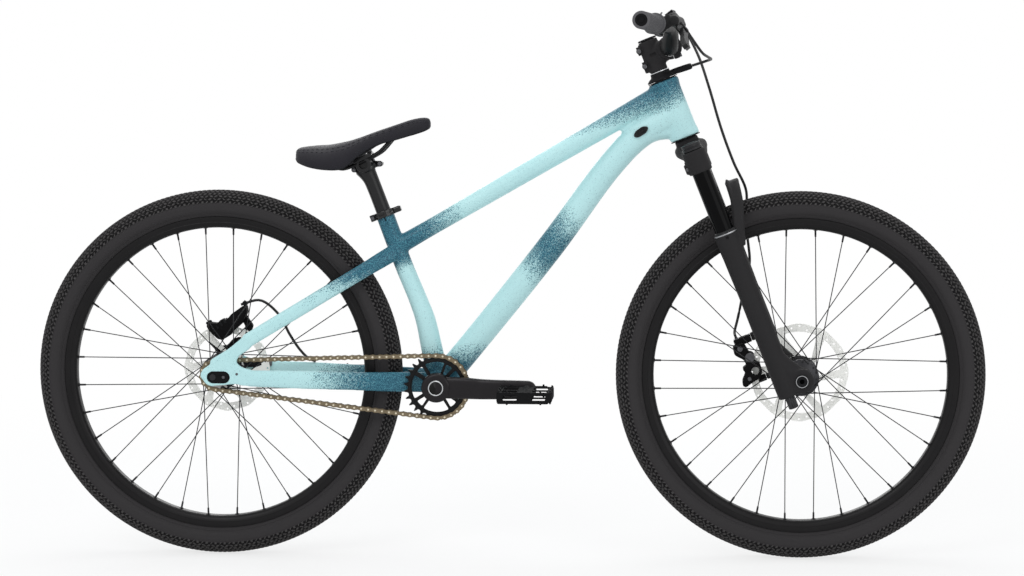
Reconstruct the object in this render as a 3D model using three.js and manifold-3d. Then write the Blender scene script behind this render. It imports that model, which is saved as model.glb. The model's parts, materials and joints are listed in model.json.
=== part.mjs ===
// A dirt jump bicycle: 26 inch wheels, one gear, a suspension fork and two disc brakes.
// Millimetres. +X is forward, +Y is the rider's left and +Z is up. The origin is on the
// ground, midway between the wheels. The chain side is the rider's right.
import * as THREE from 'three';
import { mergeVertices } from 'three/addons/utils/BufferGeometryUtils.js';
import Module from 'manifold-3d';

const wasm = await Module();
wasm.setup();

// Driving dimensions of the whole bicycle
const wheelbase = 1057;
const rimOuterRadius = 285;
const rimDepth = 20;
const tyreHeight = 49;
const tyreWidth = 58;
const bracketDrop = 19;
const tyreToBracket = 68.1;
const headAngle = 68.4;
const seatAngle = 69.2;
const tyreToRace = 143;
const forkOffset = 35.6;
const headTubeLength = 109.5;
const clearance = 0.3;
const overrun = 40;
const forkTravel = 100;
const tyreRadius = rimOuterRadius + tyreHeight;
const chainstayLength = tyreRadius + tyreToBracket;
const forkLength = tyreRadius + tyreToRace;

// Wheels
const rimInnerRadius = rimOuterRadius - rimDepth;
const rimWidth = 30;
const rimWall = 2.4;
const spokeCount = 32;
const spokeRadius = 1;
const flangeRadius = 33;
const spokeHoleEdge = 4;
const spokeHoleRadius = flangeRadius - spokeHoleEdge;
const flangeThickness = 4;
const spokeLead = 67.5;
const hubCoreRadius = 15;
const rotorThickness = 1.8;
const rotorSpigotRadius = 18;
const rearRotorRadius = 80;
const frontRotorRadius = 90;
const rotorTrack = 15;

// Rear end of the frame
const rearFlangeRight = 22;
const rearFlangeLeft = 33;
const rotorToFlange = 19;
const rotorToDropout = 15.5;
const rearRotorPlane = rearFlangeLeft + rotorToFlange;
const rearSpacing = 2 * (rearRotorPlane + rotorToDropout);
const dropoutThickness = 8;
const slotLength = 42;
const slotHeight = 22;
const rearAxleRadius = 6;
const axleShoulderRadius = 11;
const axleShoulderLength = 5;

// Front end
const frontSpacing = 100;
const frontAxleRadius = 7.5;
const frontRotorPlane = 35.5;
const frontFlangeRight = 35;
const frontFlangeLeft = 21;
const steererRadius = 14.3;
const steererWall = 2.8;
const bearingRadius = 22;
const headTubeWall = 4;
const headTubeRadius = bearingRadius + headTubeWall;
const bearingHeight = 12;
const bearingFlange = 1.6;
const legOutset = 16;
const legHalfSpacing = frontSpacing / 2 + legOutset;
const legAdvance = 5;
const stanchionRadius = 17;
const legWall = 3.5;
const legRadius = stanchionRadius + legWall;
const crownClampWall = 4.5;
const crownClampRadius = stanchionRadius + crownClampWall;
const crownClampHeight = 41;
const crownDepth = 66;
const exposedStanchion = 114.5;
const legFloorThickness = 20.7;
const lugRadius = 22;
const lugLength = 34;
const stanchionWallGap = 5;
const archReach = 41;
const archDepth = 26;
const archThickness = 13;

// Drivetrain
const chainPitch = 12.7;
const ringTeeth = 28;
const cogTeeth = 13;
const rollerRadius = 3.9;
const sprocketThickness = 2.4;
const chainInnerWidth = 4.4;
const chainPlate = 1.6;
const shellWidth = 68;
const cupRadius = 20;
const shellWall = 3.5;
const cupFlange = 5;
const cupDepth = 22;
const shellRadius = cupRadius + shellWall;
const chainToShell = 11;
const chainline = shellWidth / 2 + chainToShell;
const spindleRadius = 14;
const spindleWall = 2.2;
const crankLength = 166.7;
const crankOutset = 37;
const crankOuterFace = chainline + crankOutset;
const crankThickness = 15;
const crankHeight = 32;
const pedalLength = 98;
const pedalWidth = 92;
const pedalThickness = 17;
const pedalAxleRadius = 4.6;

// Seat
const seatTubeTopHeight = 303;
const seatTubeRadius = 16.5;
const seatpostRadius = 13.6;
const seatpostInsert = 85;
const seatpostHeight = 104;
const seatBoreDepth = 128;
const collarHeight = 12;
const collarWall = 3.4;
const saddleLength = 243;
const saddleWidth = 138;
const saddleHeight = 64;
const railRadius = 3.5;
const railHalfSpacing = 22;

// Cockpit
const stemClampRadius = 18;
const barRadius = 15.9;
const stemGap = 2.8;
const stemLength = steererRadius + barRadius + stemGap;
const barEndRadius = 11.1;
const barClampRadius = 22;
const barClampWidth = 48;
const barHalfWidth = 385;
const barStraight = 255;
const barBendStart = 36;
const barBendEnd = barHalfWidth - barStraight;
const barBendRise = 33;
const barBendForward = 12.4;
const barSweepBack = 35.3;
const barSweepUp = 22.4;
const gripLength = 130;
const gripRadius = 15;
const gripFlangeRadius = 18;
const leverTilt = 16.4;
const leverToGrip = 40;
const leverClampAt = barHalfWidth - gripLength - leverToGrip;
const leverLength = 114;
const leverThickness = 9;
const reservoirInner = -65;
const pinchGap = 2.4;
const capHeight = 4;
const snoutReach = 58;
const snoutRadius = 5.6;

// Brakes
const caliperLength = 96;
const caliperWidth = 28;
const caliperRise = 34.8;
const caliperArm = 13;
const rotorSlot = 4;
const rearCaliperLength = 60;
const rearCaliperTilt = 38;
const hoseRadius = 2.5;
const hoseSides = 8;

// Small helpers
const at = (x, y, z) => new THREE.Vector3(x, y, z);
const rad = THREE.MathUtils.degToRad;
const lerp = THREE.MathUtils.lerp;

// A closed three.js geometry as a solid, with its faces turned outward.
function solid(geometry) {
  const bare = new THREE.BufferGeometry();
  bare.setAttribute('position', geometry.getAttribute('position').clone());
  if (geometry.index) bare.setIndex(geometry.index.clone());
  const welded = mergeVertices(bare);
  const place = welded.getAttribute('position').array;
  const corners = welded.index.array;
  const kept = [];
  let volume = 0;
  const a = new THREE.Vector3();
  const b = new THREE.Vector3();
  const c = new THREE.Vector3();
  for (let i = 0; i < corners.length; i += 3) {
    const [p, q, r] = [corners[i], corners[i + 1], corners[i + 2]];
    if (p === q || q === r || r === p) continue;
    kept.push([p, q, r]);
    a.fromArray(place, p * 3);
    b.fromArray(place, q * 3);
    c.fromArray(place, r * 3);
    volume += a.dot(b.cross(c));
  }
  const turned = volume < 0 ? kept.map(([p, q, r]) => [p, r, q]) : kept;
  return new wasm.Manifold(new wasm.Mesh({
    numProp: 3,
    vertProperties: new Float32Array(place),
    triVerts: new Uint32Array(turned.flat()),
  }));
}

const join = (...solids) => wasm.Manifold.union(solids);
const cut = (body, ...tools) => tools.reduce((left, tool) => left.subtract(tool), body);

function geometryOf(body) {
  const { vertProperties, triVerts } = body.getMesh();
  const geometry = new THREE.BufferGeometry();
  geometry.setAttribute('position', new THREE.BufferAttribute(vertProperties, 3));
  geometry.setIndex(new THREE.BufferAttribute(triVerts, 1));
  geometry.computeVertexNormals();
  return geometry;
}

function addPiece(group, name, body, color, roughness, metalness = 0) {
  const material = new THREE.MeshStandardMaterial({ color, roughness, metalness });
  const mesh = new THREE.Mesh(geometryOf(body), material);
  mesh.name = name;
  group.add(mesh);
}

// A closed skin over rings of points: an open run gets two end faces, a loop none.
function skin(rings, loop = false) {
  const sides = rings[0].length;
  const points = rings.flat();
  const faces = [];
  const last = loop ? rings.length : rings.length - 1;
  for (let i = 0; i < last; i += 1) {
    const low = i * sides;
    const high = ((i + 1) % rings.length) * sides;
    for (let j = 0; j < sides; j += 1) {
      const k = (j + 1) % sides;
      faces.push(low + j, low + k, high + k, low + j, high + k, high + j);
    }
  }
  if (!loop) {
    const end = (rings.length - 1) * sides;
    for (let j = 1; j < sides - 1; j += 1) {
      faces.push(0, j + 1, j, end, end + j, end + j + 1);
    }
  }
  const geometry = new THREE.BufferGeometry().setFromPoints(points);
  geometry.setIndex(faces);
  return solid(geometry);
}

// Rings of a section carried along stations {at, wide, tall}; wide lies along `across`.
// A section is an ellipse, or a rectangle where corners is 4 and `boxed` is set.
function ringsAlong(stations, sides, { across = at(0, 1, 0), boxed = false, loop = false,
  squareness = 1 } = {}) {
  const count = stations.length;
  return stations.map((station, i) => {
    const before = stations[loop ? (i + count - 1) % count : Math.max(i - 1, 0)].at;
    const after = stations[loop ? (i + 1) % count : Math.min(i + 1, count - 1)].at;
    const along = after.clone().sub(before).normalize();
    const side = across.clone().addScaledVector(along, -across.dot(along)).normalize();
    const up = along.clone().cross(side);
    const ring = [];
    for (let j = 0; j < sides; j += 1) {
      const turn = (2 * Math.PI * (j + (boxed ? 0.5 : 0))) / sides;
      const stretch = boxed ? Math.SQRT2 : 1;
      const shape = (v) => Math.sign(v) * Math.abs(v) ** squareness * stretch;
      ring.push(station.at.clone()
        .addScaledVector(side, (shape(Math.cos(turn)) * station.wide) / 2)
        .addScaledVector(up, (shape(Math.sin(turn)) * station.tall) / 2));
    }
    return ring;
  });
}

const bar = (stations, sides, options = {}) => skin(ringsAlong(stations, sides, options), options.loop);

// Stations along a smooth line through a few hand-placed ones.
function smooth(stations, count) {
  const curve = new THREE.CatmullRomCurve3(stations.map((station) => station.at), false, 'centripetal');
  return Array.from({ length: count + 1 }, (_, i) => {
    const u = i / count;
    const place = u * (stations.length - 1);
    const low = Math.min(Math.floor(place), stations.length - 2);
    const blend = place - low;
    return {
      at: curve.getPoint(u),
      wide: lerp(stations[low].wide, stations[low + 1].wide, blend),
      tall: lerp(stations[low].tall, stations[low + 1].tall, blend),
    };
  });
}

const knot = (x, y, z, wide, tall = wide) => ({ at: at(x, y, z), wide, tall });

// A round bar between two points.
function rod(from, to, radius, sides = 12, endRadius = radius) {
  const across = Math.abs(to.clone().sub(from).normalize().y) > 0.9 ? at(1, 0, 0) : at(0, 1, 0);
  const stations = [
    { at: from, wide: 2 * radius, tall: 2 * radius },
    { at: to, wide: 2 * endRadius, tall: 2 * endRadius },
  ];
  return bar(stations, sides, { across });
}

// A turned shape about a line parallel to Y through (x, z): profile points are [radius, y].
function turned(profile, sides, x = 0, z = 0) {
  const points = profile.map(([radius, y]) => new THREE.Vector2(radius, y));
  points.push(points[0].clone());
  return solid(new THREE.LatheGeometry(points, sides).translate(x, 0, z));
}

// The same about the Z axis: profile points are [radius, z].
function turnedUp(profile, sides, x = 0, y = 0) {
  const points = profile.map(([radius, z]) => new THREE.Vector2(radius, z));
  points.push(points[0].clone());
  return solid(new THREE.LatheGeometry(points, sides).rotateX(Math.PI / 2).translate(x, y, 0));
}

const drum = (radius, y0, y1, sides, x = 0,
  z = 0) => turned([[0, y0], [radius, y0], [radius, y1], [0, y1]], sides, x, z);
const column = (radius, z0, z1, sides, x = 0, y = 0) => (
  turnedUp([[0, z0], [radius, z0], [radius, z1], [0, z1]], sides, x, y));

// A flat shape in the X-Z plane, from y0 to y1, with holes right through it.
function plate(outline, y0, y1, holes = []) {
  const shape = new THREE.Shape(outline.map(([x, z]) => new THREE.Vector2(x, z)));
  const geometry = new THREE.ExtrudeGeometry(shape, { depth: y1 - y0, bevelEnabled: false });
  const body = solid(geometry.rotateX(Math.PI / 2).translate(0, y1, 0));
  return cut(body, ...holes.map((hole) => plate(hole, y0 - overrun, y1 + overrun)));
}

function block(x0, x1, y0, y1, z0, z1) {
  const geometry = new THREE.BoxGeometry(x1 - x0, y1 - y0, z1 - z0);
  return solid(geometry.translate((x0 + x1) / 2, (y0 + y1) / 2, (z0 + z1) / 2));
}

// The corner radius of a faceted hole whose flats clear a shaft of this radius.
const holeFor = (radius, sides) => (radius + clearance) / Math.cos(Math.PI / sides);

// Points on an arc, from one angle in degrees to another.
function arc(x, z, radius, from, to, steps) {
  return Array.from({ length: steps + 1 }, (_, i) => {
    const turn = rad(lerp(from, to, i / steps));
    return [x + radius * Math.cos(turn), z + radius * Math.sin(turn)];
  });
}

const ring = (x, z, radius, steps) => arc(x, z, radius, 0, 360 - 360 / steps, steps - 1);

// A slot with round ends, lying along X.
function stadium(x, z, length, height, steps = 6) {
  const reach = (length - height) / 2;
  return [...arc(x + reach, z, height / 2, -90, 90, steps),
    ...arc(x - reach, z, height / 2, 90, 270, steps)];
}

// A hose along hand-placed points.
function hose(points, steps) {
  const shape = new THREE.Shape();
  shape.setFromPoints(ring(0, 0, hoseRadius, hoseSides).map(([x, y]) => new THREE.Vector2(x, y)));
  const path = new THREE.CatmullRomCurve3(points, false, 'centripetal');
  return solid(new THREE.ExtrudeGeometry(shape, { extrudePath: path, steps, bevelEnabled: false }));
}

// Places worked out from the driving dimensions
const rearX = -wheelbase / 2;
const frontX = wheelbase / 2;
const axleHeight = tyreRadius;
const bracketHeight = tyreRadius - bracketDrop;
const bracketX = rearX + Math.sqrt(chainstayLength ** 2 - bracketDrop ** 2);
const steerUp = at(-Math.cos(rad(headAngle)), 0, Math.sin(rad(headAngle)));
const steerFore = at(Math.sin(rad(headAngle)), 0, Math.cos(rad(headAngle)));
const headLow = at(frontX, 0, axleHeight).addScaledVector(steerUp, forkLength).addScaledVector(steerFore,
  -forkOffset);
const onHead = (fore, side, up) => headLow.clone()
  .addScaledVector(steerFore, fore).addScaledVector(steerUp, up).setY(side);
const seatUp = at(-Math.cos(rad(seatAngle)), 0, Math.sin(rad(seatAngle)));
const seatTubeSetback = 96.5;
const seatTop = at(bracketX - seatTubeSetback, 0, bracketHeight + seatTubeTopHeight);
const onSeat = (fore, side, up) => seatTop.clone()
  .addScaledVector(at(seatUp.z, 0, -seatUp.x), fore).addScaledVector(seatUp, up).setY(side);

const bike = new THREE.Group();
const steering = new THREE.Group();
steering.position.copy(headLow);
steering.rotation.y = -rad(90 - headAngle);
bike.add(steering);
const rearWheel = new THREE.Group();
rearWheel.position.set(rearX, 0, axleHeight);
bike.add(rearWheel);
const frontWheel = new THREE.Group();
frontWheel.position.set(frontX, 0, axleHeight);
bike.add(frontWheel);

const aqua = '#bfe6e8';
const teal = '#2f6a80';
const satinBlack = '#343233';
const rubber = '#2d2a2b';
const alloyBlack = '#26262a';
const steel = '#b9bbbd';

// Wheels
const wheelSides = 36;

function makeTyre() {
  const half = tyreWidth / 2;
  const bead = rimWidth / 2 - rimWall - clearance;
  const seat = rimOuterRadius - 2 * rimWall;
  const above = rimOuterRadius + clearance;
  const rise = tyreRadius - above;
  const outShares = [[0.3, 0.98], [0.74, 0.93], [1, 0.42]];
  const right = [[seat, bead], [above, bead],
    ...outShares.map(([up, out]) => [above + rise * up, half * out])];
  return turned([...right, ...right.map(([r, y]) => [r, -y]).reverse()], wheelSides);
}

function makeRim() {
  const half = rimWidth / 2;
  const bed = rimOuterRadius - 3 * rimWall;
  const depth = rimOuterRadius - rimInnerRadius;
  const profile = [
    [rimInnerRadius, half * 0.5], [rimInnerRadius + depth * 0.18,
      half * 0.82], [rimInnerRadius + depth * 0.5, half * 0.98],
    [rimOuterRadius, half], [rimOuterRadius, half - rimWall], [bed, half - rimWall]];
  return turned([...profile, ...profile.map(([r, y]) => [r, -y]).reverse()], wheelSides);
}

// A hub shell with its 32 laced spokes: each spoke runs from the flange to the rim at an
// angle of `spokeLead` to its rim hole, so it crosses three others on its side.
function makeHub(shell, flangeRight, flangeLeft, axleRadius) {
  const parts = [turned(shell, 12)];
  [-flangeRight, flangeLeft].forEach((y) => {
    parts.push(drum(flangeRadius, y - flangeThickness / 2, y + flangeThickness / 2, 12));
  });
  const rimEnd = rimInnerRadius * Math.cos(Math.PI / wheelSides) - 2 * clearance;
  for (let i = 0; i < spokeCount; i += 1) {
    const rimTurn = rad(90 + (i + 0.5) * (360 / spokeCount));
    const onLeft = i % 2 === 0;
    const lead = rad(i % 4 < 2 ? spokeLead : -spokeLead);
    const flangeY = onLeft ? flangeLeft : -flangeRight;
    const inset = (i % 4 < 2 ? 1 : -1) * (flangeThickness / 2);
    const from = at(spokeHoleRadius * Math.cos(rimTurn + lead), flangeY + inset,
      spokeHoleRadius * Math.sin(rimTurn + lead));
    const to = at(rimEnd * Math.cos(rimTurn), 0, rimEnd * Math.sin(rimTurn));
    parts.push(rod(from, to, spokeRadius, 3));
  }
  return cut(join(...parts), drum(holeFor(axleRadius, 12), -rearSpacing, rearSpacing, 12));
}

function makeRotor(radius, y) {
  const arms = 6;
  const outer = ring(0, 0, radius, 24);
  const holes = [ring(0, 0, holeFor(rotorSpigotRadius, 12), 12)];
  const innerR = rotorSpigotRadius * 1.75;
  const trackR = radius - rotorTrack;
  for (let i = 0; i < arms; i += 1) {
    const start = (360 / arms) * i;
    holes.push([...arc(0, 0, trackR, start + 6, start + 52, 2),
      ...arc(0, 0, innerR, start + 26, start - 14, 1)]);
  }
  return plate(outer, y - rotorThickness / 2, y + rotorThickness / 2, holes);
}

const hubEndRear = rearSpacing / 2 - axleShoulderLength - 3 * clearance;
const rotorSeatRear = rearRotorPlane - rotorThickness / 2 - clearance;
const rearShell = [
  [0, -(chainline - 3 * chainPlate - rearFlangeRight / 4)], [hubCoreRadius * 1.3,
    -(chainline - 3 * chainPlate - rearFlangeRight / 4)],
  [hubCoreRadius * 1.3, -rearFlangeRight], [hubCoreRadius, -rearFlangeRight * 0.6],
  [hubCoreRadius, rearFlangeLeft * 0.6], [rotorSpigotRadius * 1.25,
    rearFlangeLeft], [rotorSpigotRadius * 1.25, rotorSeatRear],
  [rotorSpigotRadius, rotorSeatRear], [rotorSpigotRadius, rearRotorPlane + rotorThickness],
  [axleShoulderRadius, rearRotorPlane + rotorThickness], [axleShoulderRadius, hubEndRear], [0, hubEndRear]];
const hubEndFront = frontSpacing / 2 - 2 * clearance;
const rotorSeatFront = frontRotorPlane - rotorThickness / 2 - clearance;
const frontShell = [
  [0, -hubEndFront], [axleShoulderRadius, -hubEndFront], [hubCoreRadius, -frontFlangeRight],
  [hubCoreRadius, frontFlangeLeft], [rotorSpigotRadius * 1.25, frontFlangeLeft], [rotorSpigotRadius * 1.25,
    rotorSeatFront],
  [rotorSpigotRadius, rotorSeatFront], [rotorSpigotRadius, frontRotorPlane + rotorThickness],
  [axleShoulderRadius, frontRotorPlane + rotorThickness], [axleShoulderRadius, hubEndFront], [0,
    hubEndFront]];

[
  ['rear', rearWheel, rearShell, rearFlangeRight, rearFlangeLeft, rearAxleRadius, rearRotorRadius,
    rearRotorPlane],
  ['front', frontWheel, frontShell, frontFlangeRight, frontFlangeLeft, frontAxleRadius, frontRotorRadius,
    frontRotorPlane],
].forEach(([end, wheel, shell, right, left, axle, rotor, plane]) => {
  addPiece(wheel, `${end}_tyre`, makeTyre(), rubber, 0.9);
  addPiece(wheel, `${end}_rim`, makeRim(), '#1d1d1f', 0.45, 0.4);
  addPiece(wheel, `${end}_hub`, makeHub(shell, right, left, axle), alloyBlack, 0.35, 0.7);
  addPiece(wheel, `${end}_rotor`, makeRotor(rotor, plane), steel, 0.3, 0.9);
});

// Frame: tubes that stop short of each other where the welds are
const headTubeBore = holeFor(bearingRadius, 16);
const toHead = new THREE.Matrix4().makeRotationY(-rad(90 - headAngle)).setPosition(headLow);
const toSeat = new THREE.Matrix4().makeRotationY(-rad(90 - seatAngle)).setPosition(seatTop);
const toSteps = (matrix) => Array.from(matrix.elements);
const placeAtHead = (body) => body.transform(toSteps(toHead));
const placeAtSeat = (body) => body.transform(toSteps(toSeat));

const headTubeFlare = headTubeRadius * 0.06;
const headSkin = (grow) => turnedUp([
  [0, -grow], [headTubeRadius + headTubeFlare + grow, -grow],
  [headTubeRadius + headTubeFlare + grow, headTubeLength * 0.08], [headTubeRadius + grow,
    headTubeLength * 0.16],
  [headTubeRadius + grow, headTubeLength * 0.84], [headTubeRadius + headTubeFlare + grow,
    headTubeLength * 0.92],
  [headTubeRadius + headTubeFlare + grow, headTubeLength + grow], [0, headTubeLength + grow]], 20);
const headTube = cut(placeAtHead(headSkin(0)),
  placeAtHead(column(headTubeBore, -overrun, headTubeLength + overrun, 16)));

// The seat tube is straight round the seatpost and bows forward down to the bracket shell
const seatStraight = 90.8;
const seatBend = onSeat(0, 0, -seatStraight);
// Back, up and size
const seatBowShares = [[0, 0, 1.18], [0.195, 0.261, 1.18], [0.393, 0.5335, 1.1], [0.592, 0.6975, 1.02],
  [1, 1, 1]];
function seatSkin(grow) {
  const bow = seatBowShares.map(([back, up, size]) => knot(
    lerp(bracketX, seatBend.x, back), 0, lerp(bracketHeight, seatBend.z,
      up), 2 * (seatTubeRadius * size + grow)));
  const top = knot(seatTop.x, 0, seatTop.z, 2 * (seatTubeRadius + grow));
  return bar(smooth([...bow, top], 8), 12);
}
const shellHalf = shellWidth / 2;
const bracketShell = (grow) => drum(shellRadius + grow, -shellHalf - grow, shellHalf + grow, 16, bracketX,
  bracketHeight);
const cupBore = holeFor(cupRadius, 12);
const cupReach = shellHalf + cupFlange + 2 * clearance;
const cupRoom = drum(shellRadius + clearance, -cupReach, cupReach, 16, bracketX, bracketHeight);
const seatSlotWidth = 2.4;
const seatTube = cut(join(seatSkin(0), bracketShell(0)),
  drum(cupBore, -overrun - shellHalf, overrun + shellHalf, 12, bracketX, bracketHeight),
  placeAtSeat(column(holeFor(seatpostRadius, 16), -seatBoreDepth, overrun, 16)),
  placeAtSeat(block(-seatSlotWidth / 2, seatSlotWidth / 2, -overrun, 0, -collarHeight * 2, overrun)),
  placeAtSeat(drum(seatSlotWidth, -overrun, 0, 10, 0, -collarHeight * 2)));

const topTubeDrop = 20;
const topTubeSeatDrop = 57;
const topTubeRear = 30;
const topTubeFront = 38;
// Along, tall and wide
const topTubeShares = [[0, 1.12, 1.06], [0.12, 1, 1], [0.35, 1, 1], [0.7, 1, 1], [0.88, 1.02, 1],
  [1, 1.06, 1]];
const topTubeStart = onSeat(0, 0, -topTubeSeatDrop);
const topTubeEnd = onHead(0, 0, headTubeLength - topTubeDrop);
function topSkin(grow) {
  const [a, b] = [topTubeStart, topTubeEnd];
  const stations = topTubeShares.map(([along, tallShare, wideShare]) => {
    const size = lerp(topTubeRear, topTubeFront, along);
    return knot(...a.clone().lerp(b, along).toArray(), size * wideShare + 2 * grow,
      size * tallShare + 2 * grow);
  });
  return bar(smooth(stations, 6), 12);
}
const flangeEdge = headTubeRadius + headTubeFlare;
const headCutter = placeAtHead(join(headSkin(clearance), column(flangeEdge + clearance, -overrun, 0, 20),
  column(flangeEdge + clearance, headTubeLength, headTubeLength + overrun, 20)));
const topTube = cut(topSkin(0), headCutter, seatSkin(clearance));

const downTubeTall = 49;
const downTubeWide = 46;
const tubeSpread = 56.65;
const downHeadDrop = topTubeDrop + tubeSpread;
const downTubeEnd = onHead(0, 0, headTubeLength - downHeadDrop);
// Along, out of the straight line, and size
const downTubeShares = [
  [0, 0, 1], [0.15, 0.006, 0.98], [0.5, 0.028, 1], [0.78, 0.056, 0.96], [0.9, 0.052, 1], [1, 0.022, 1.16]];
function downSkin(grow) {
  const start = at(bracketX, 0, bracketHeight);
  const span = downTubeEnd.clone().sub(start);
  const rise = at(-span.z, 0, span.x).normalize();
  const stations = downTubeShares.map(([along, out, size]) => ({
    at: start.clone().addScaledVector(span, along).addScaledVector(rise, span.length() * out),
    wide: downTubeWide * size + 2 * grow,
    tall: downTubeTall * size + 2 * grow,
  }));
  return bar(smooth(stations, 8), 12);
}
const portLength = 25;
const portHeight = 12;
const portBack = 80;
const portRise = 10;
const portSlant = 35;
const portCentre = [headLow.x - portBack, headLow.z + portRise];
const portTurn = new THREE.Matrix4().makeRotationY(-rad(portSlant)).setPosition(at(portCentre[0], 0,
  portCentre[1]));
const portAt = (grow) => plate(stadium(0, 0, portLength + 2 * grow, portHeight + 2 * grow),
  -downTubeWide * 0.56, -downTubeWide * 0.3)
  .transform(toSteps(portTurn));
const downTube = cut(downSkin(0), headCutter, topSkin(clearance), seatSkin(clearance),
  bracketShell(clearance), portAt(clearance));

// Chain stays end in the dropout plates, which hold the long axle slots
const dropoutInner = rearSpacing / 2;
const stayTall = 38;
const stayWide = 14;
// Back, out, tall and wide
const stayShares = [
  [0.036, 0, 1, 1], [0.19, 0.192, 0.975, 0.93], [0.286, 0.354, 0.95, 0.93], [0.429, 0.492, 0.895, 1],
  [0.714, 0.738, 0.87, 1.07], [1, 0.969, 0.79, 1]];
const stayRoot = shellWidth * 0.368;
const stayEnd = rearX + slotLength * 1.53;
function staySkin(side) {
  const stations = stayShares.map(([back, out, tall, wide]) => knot(
    lerp(bracketX, stayEnd, back), side * lerp(stayRoot, dropoutInner + dropoutThickness / 2, out),
    lerp(bracketHeight + bracketDrop * 0.25, axleHeight - bracketDrop * 0.12,
      back), stayWide * wide, stayTall * tall));
  return bar(smooth(stations, 7), 8, { squareness: 0.8 });
}
const slotCentre = [rearX + slotLength * 0.25, axleHeight];
const plateOutline = [
  ...arc(slotCentre[0] - slotLength * 0.3, axleHeight, slotHeight * 0.74, 200, 270, 3),
  [rearX + slotLength * 1.2, axleHeight - slotHeight * 0.74], [rearX + slotLength * 1.75,
    axleHeight - slotHeight * 0.62],
  [rearX + slotLength * 1.75, axleHeight + slotHeight * 0.6], [rearX + slotLength * 1.32,
    axleHeight + slotHeight * 0.75],
  [rearX + slotLength * 1.0, axleHeight + slotHeight * 1.15], [rearX + slotLength * 1.1,
    axleHeight + slotHeight * 1.7],
  [rearX + slotLength * 1.55, axleHeight + slotHeight * 2.35], [rearX + slotLength * 1.2,
    axleHeight + slotHeight * 3.45],
  [rearX - slotLength * 0.22, axleHeight + slotHeight * 1.28],
  ...arc(slotCentre[0] - slotLength * 0.3, axleHeight, slotHeight * 0.95, 130, 180, 3)];
function makeChainstay(side) {
  const inner = Math.min(side * dropoutInner, side * (dropoutInner + dropoutThickness));
  const slot = stadium(slotCentre[0], slotCentre[1], slotLength, slotHeight);
  const dropout = plate(plateOutline, inner, inner + dropoutThickness, [slot]);
  return cut(join(staySkin(side), dropout), seatSkin(clearance), cupRoom, downSkin(clearance));
}
const seatstayTop = onSeat(-seatTubeRadius * 0.35, 0, -topTubeSeatDrop * 1.12);
const seatstayFoot = at(rearX + slotLength * 1.45, 0, axleHeight + slotHeight * 2.95);
const seatstayTall = 26;
// Down, out, wide and tall
const seatstayShares = [
  [0, 0.16, 1.43, 1.15], [0.1, 0.4, 1.14, 1.12], [0.2, 0.55, 1, 1.04], [0.35, 0.64, 1, 1.02],
  [0.65, 0.84, 1, 1], [1, 1, 0.86, 1]];
function makeSeatstay(side) {
  const stations = seatstayShares.map(([down, out, wide, tall]) => {
    const place = seatstayTop.clone().lerp(seatstayFoot, down);
    const offset = side * (dropoutInner + dropoutThickness / 2) * out;
    return { at: place.setY(offset), wide: stayWide * wide, tall: seatstayTall * tall };
  });
  const inner = side > 0 ? dropoutInner : -dropoutInner - dropoutThickness;
  const dropout = plate(plateOutline, inner - clearance, inner + dropoutThickness + clearance);
  return cut(bar(smooth(stations, 7), 8, { squareness: 0.85 }), seatSkin(clearance), topSkin(clearance),
    dropout);
}

addPiece(bike, 'head_tube', headTube, teal, 0.3, 0.1);
addPiece(bike, 'top_tube', topTube, aqua, 0.3, 0.1);
addPiece(bike, 'down_tube', downTube, aqua, 0.3, 0.1);
addPiece(bike, 'seat_tube', seatTube, aqua, 0.3, 0.1);
[['right', -1], ['left', 1]].forEach(([hand, side]) => {
  addPiece(bike, `chainstay_${hand}`, makeChainstay(side), aqua, 0.3, 0.1);
  addPiece(bike, `seatstay_${hand}`, makeSeatstay(side), aqua, 0.3, 0.1);
});
addPiece(bike, 'hose_port_grommet', portAt(0), rubber, 0.8);

// Rear axle, its shoulders and the sliders that hold it in the slots
const shoulderOuter = dropoutInner - clearance;
const shoulderInner = shoulderOuter - axleShoulderLength;
const sliderProud = 1.2;
const sliderOuter = dropoutInner + dropoutThickness + sliderProud;
const rearAxle = join(drum(rearAxleRadius, -sliderOuter, sliderOuter, 12, rearX, axleHeight),
  ...[-1, 1].map((side) => drum(axleShoulderRadius, Math.min(side * shoulderInner, side * shoulderOuter),
    Math.max(side * shoulderInner, side * shoulderOuter), 12, rearX, axleHeight)));
addPiece(bike, 'rear_axle', rearAxle, '#2b2b2d', 0.35, 0.7);
const sliderLength = slotLength * 0.94;
const sliderX = slotCentre[0];
function makeSlider(side) {
  const [inner, outer] = [dropoutInner + clearance, sliderOuter];
  const outline = stadium(sliderX, axleHeight, sliderLength - 2 * clearance, slotHeight - 2 * clearance);
  const axleHole = ring(rearX, axleHeight, holeFor(rearAxleRadius, 12), 12);
  const dishAt = [rearX + slotLength * 0.46, axleHeight];
  const body = plate(outline, Math.min(side * inner, side * outer), Math.max(side * inner, side * outer),
    [axleHole]);
  const dish = drum(slotHeight * 0.22, Math.min(side * sliderOuter * 0.97, side * overrun * 3),
    Math.max(side * sliderOuter * 0.97, side * overrun * 3), 10, dishAt[0], dishAt[1]);
  return cut(body, dish);
}
addPiece(bike, 'axle_slider_right', makeSlider(-1), '#222226', 0.5, 0.4);
addPiece(bike, 'axle_slider_left', makeSlider(1), '#222226', 0.5, 0.4);

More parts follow.
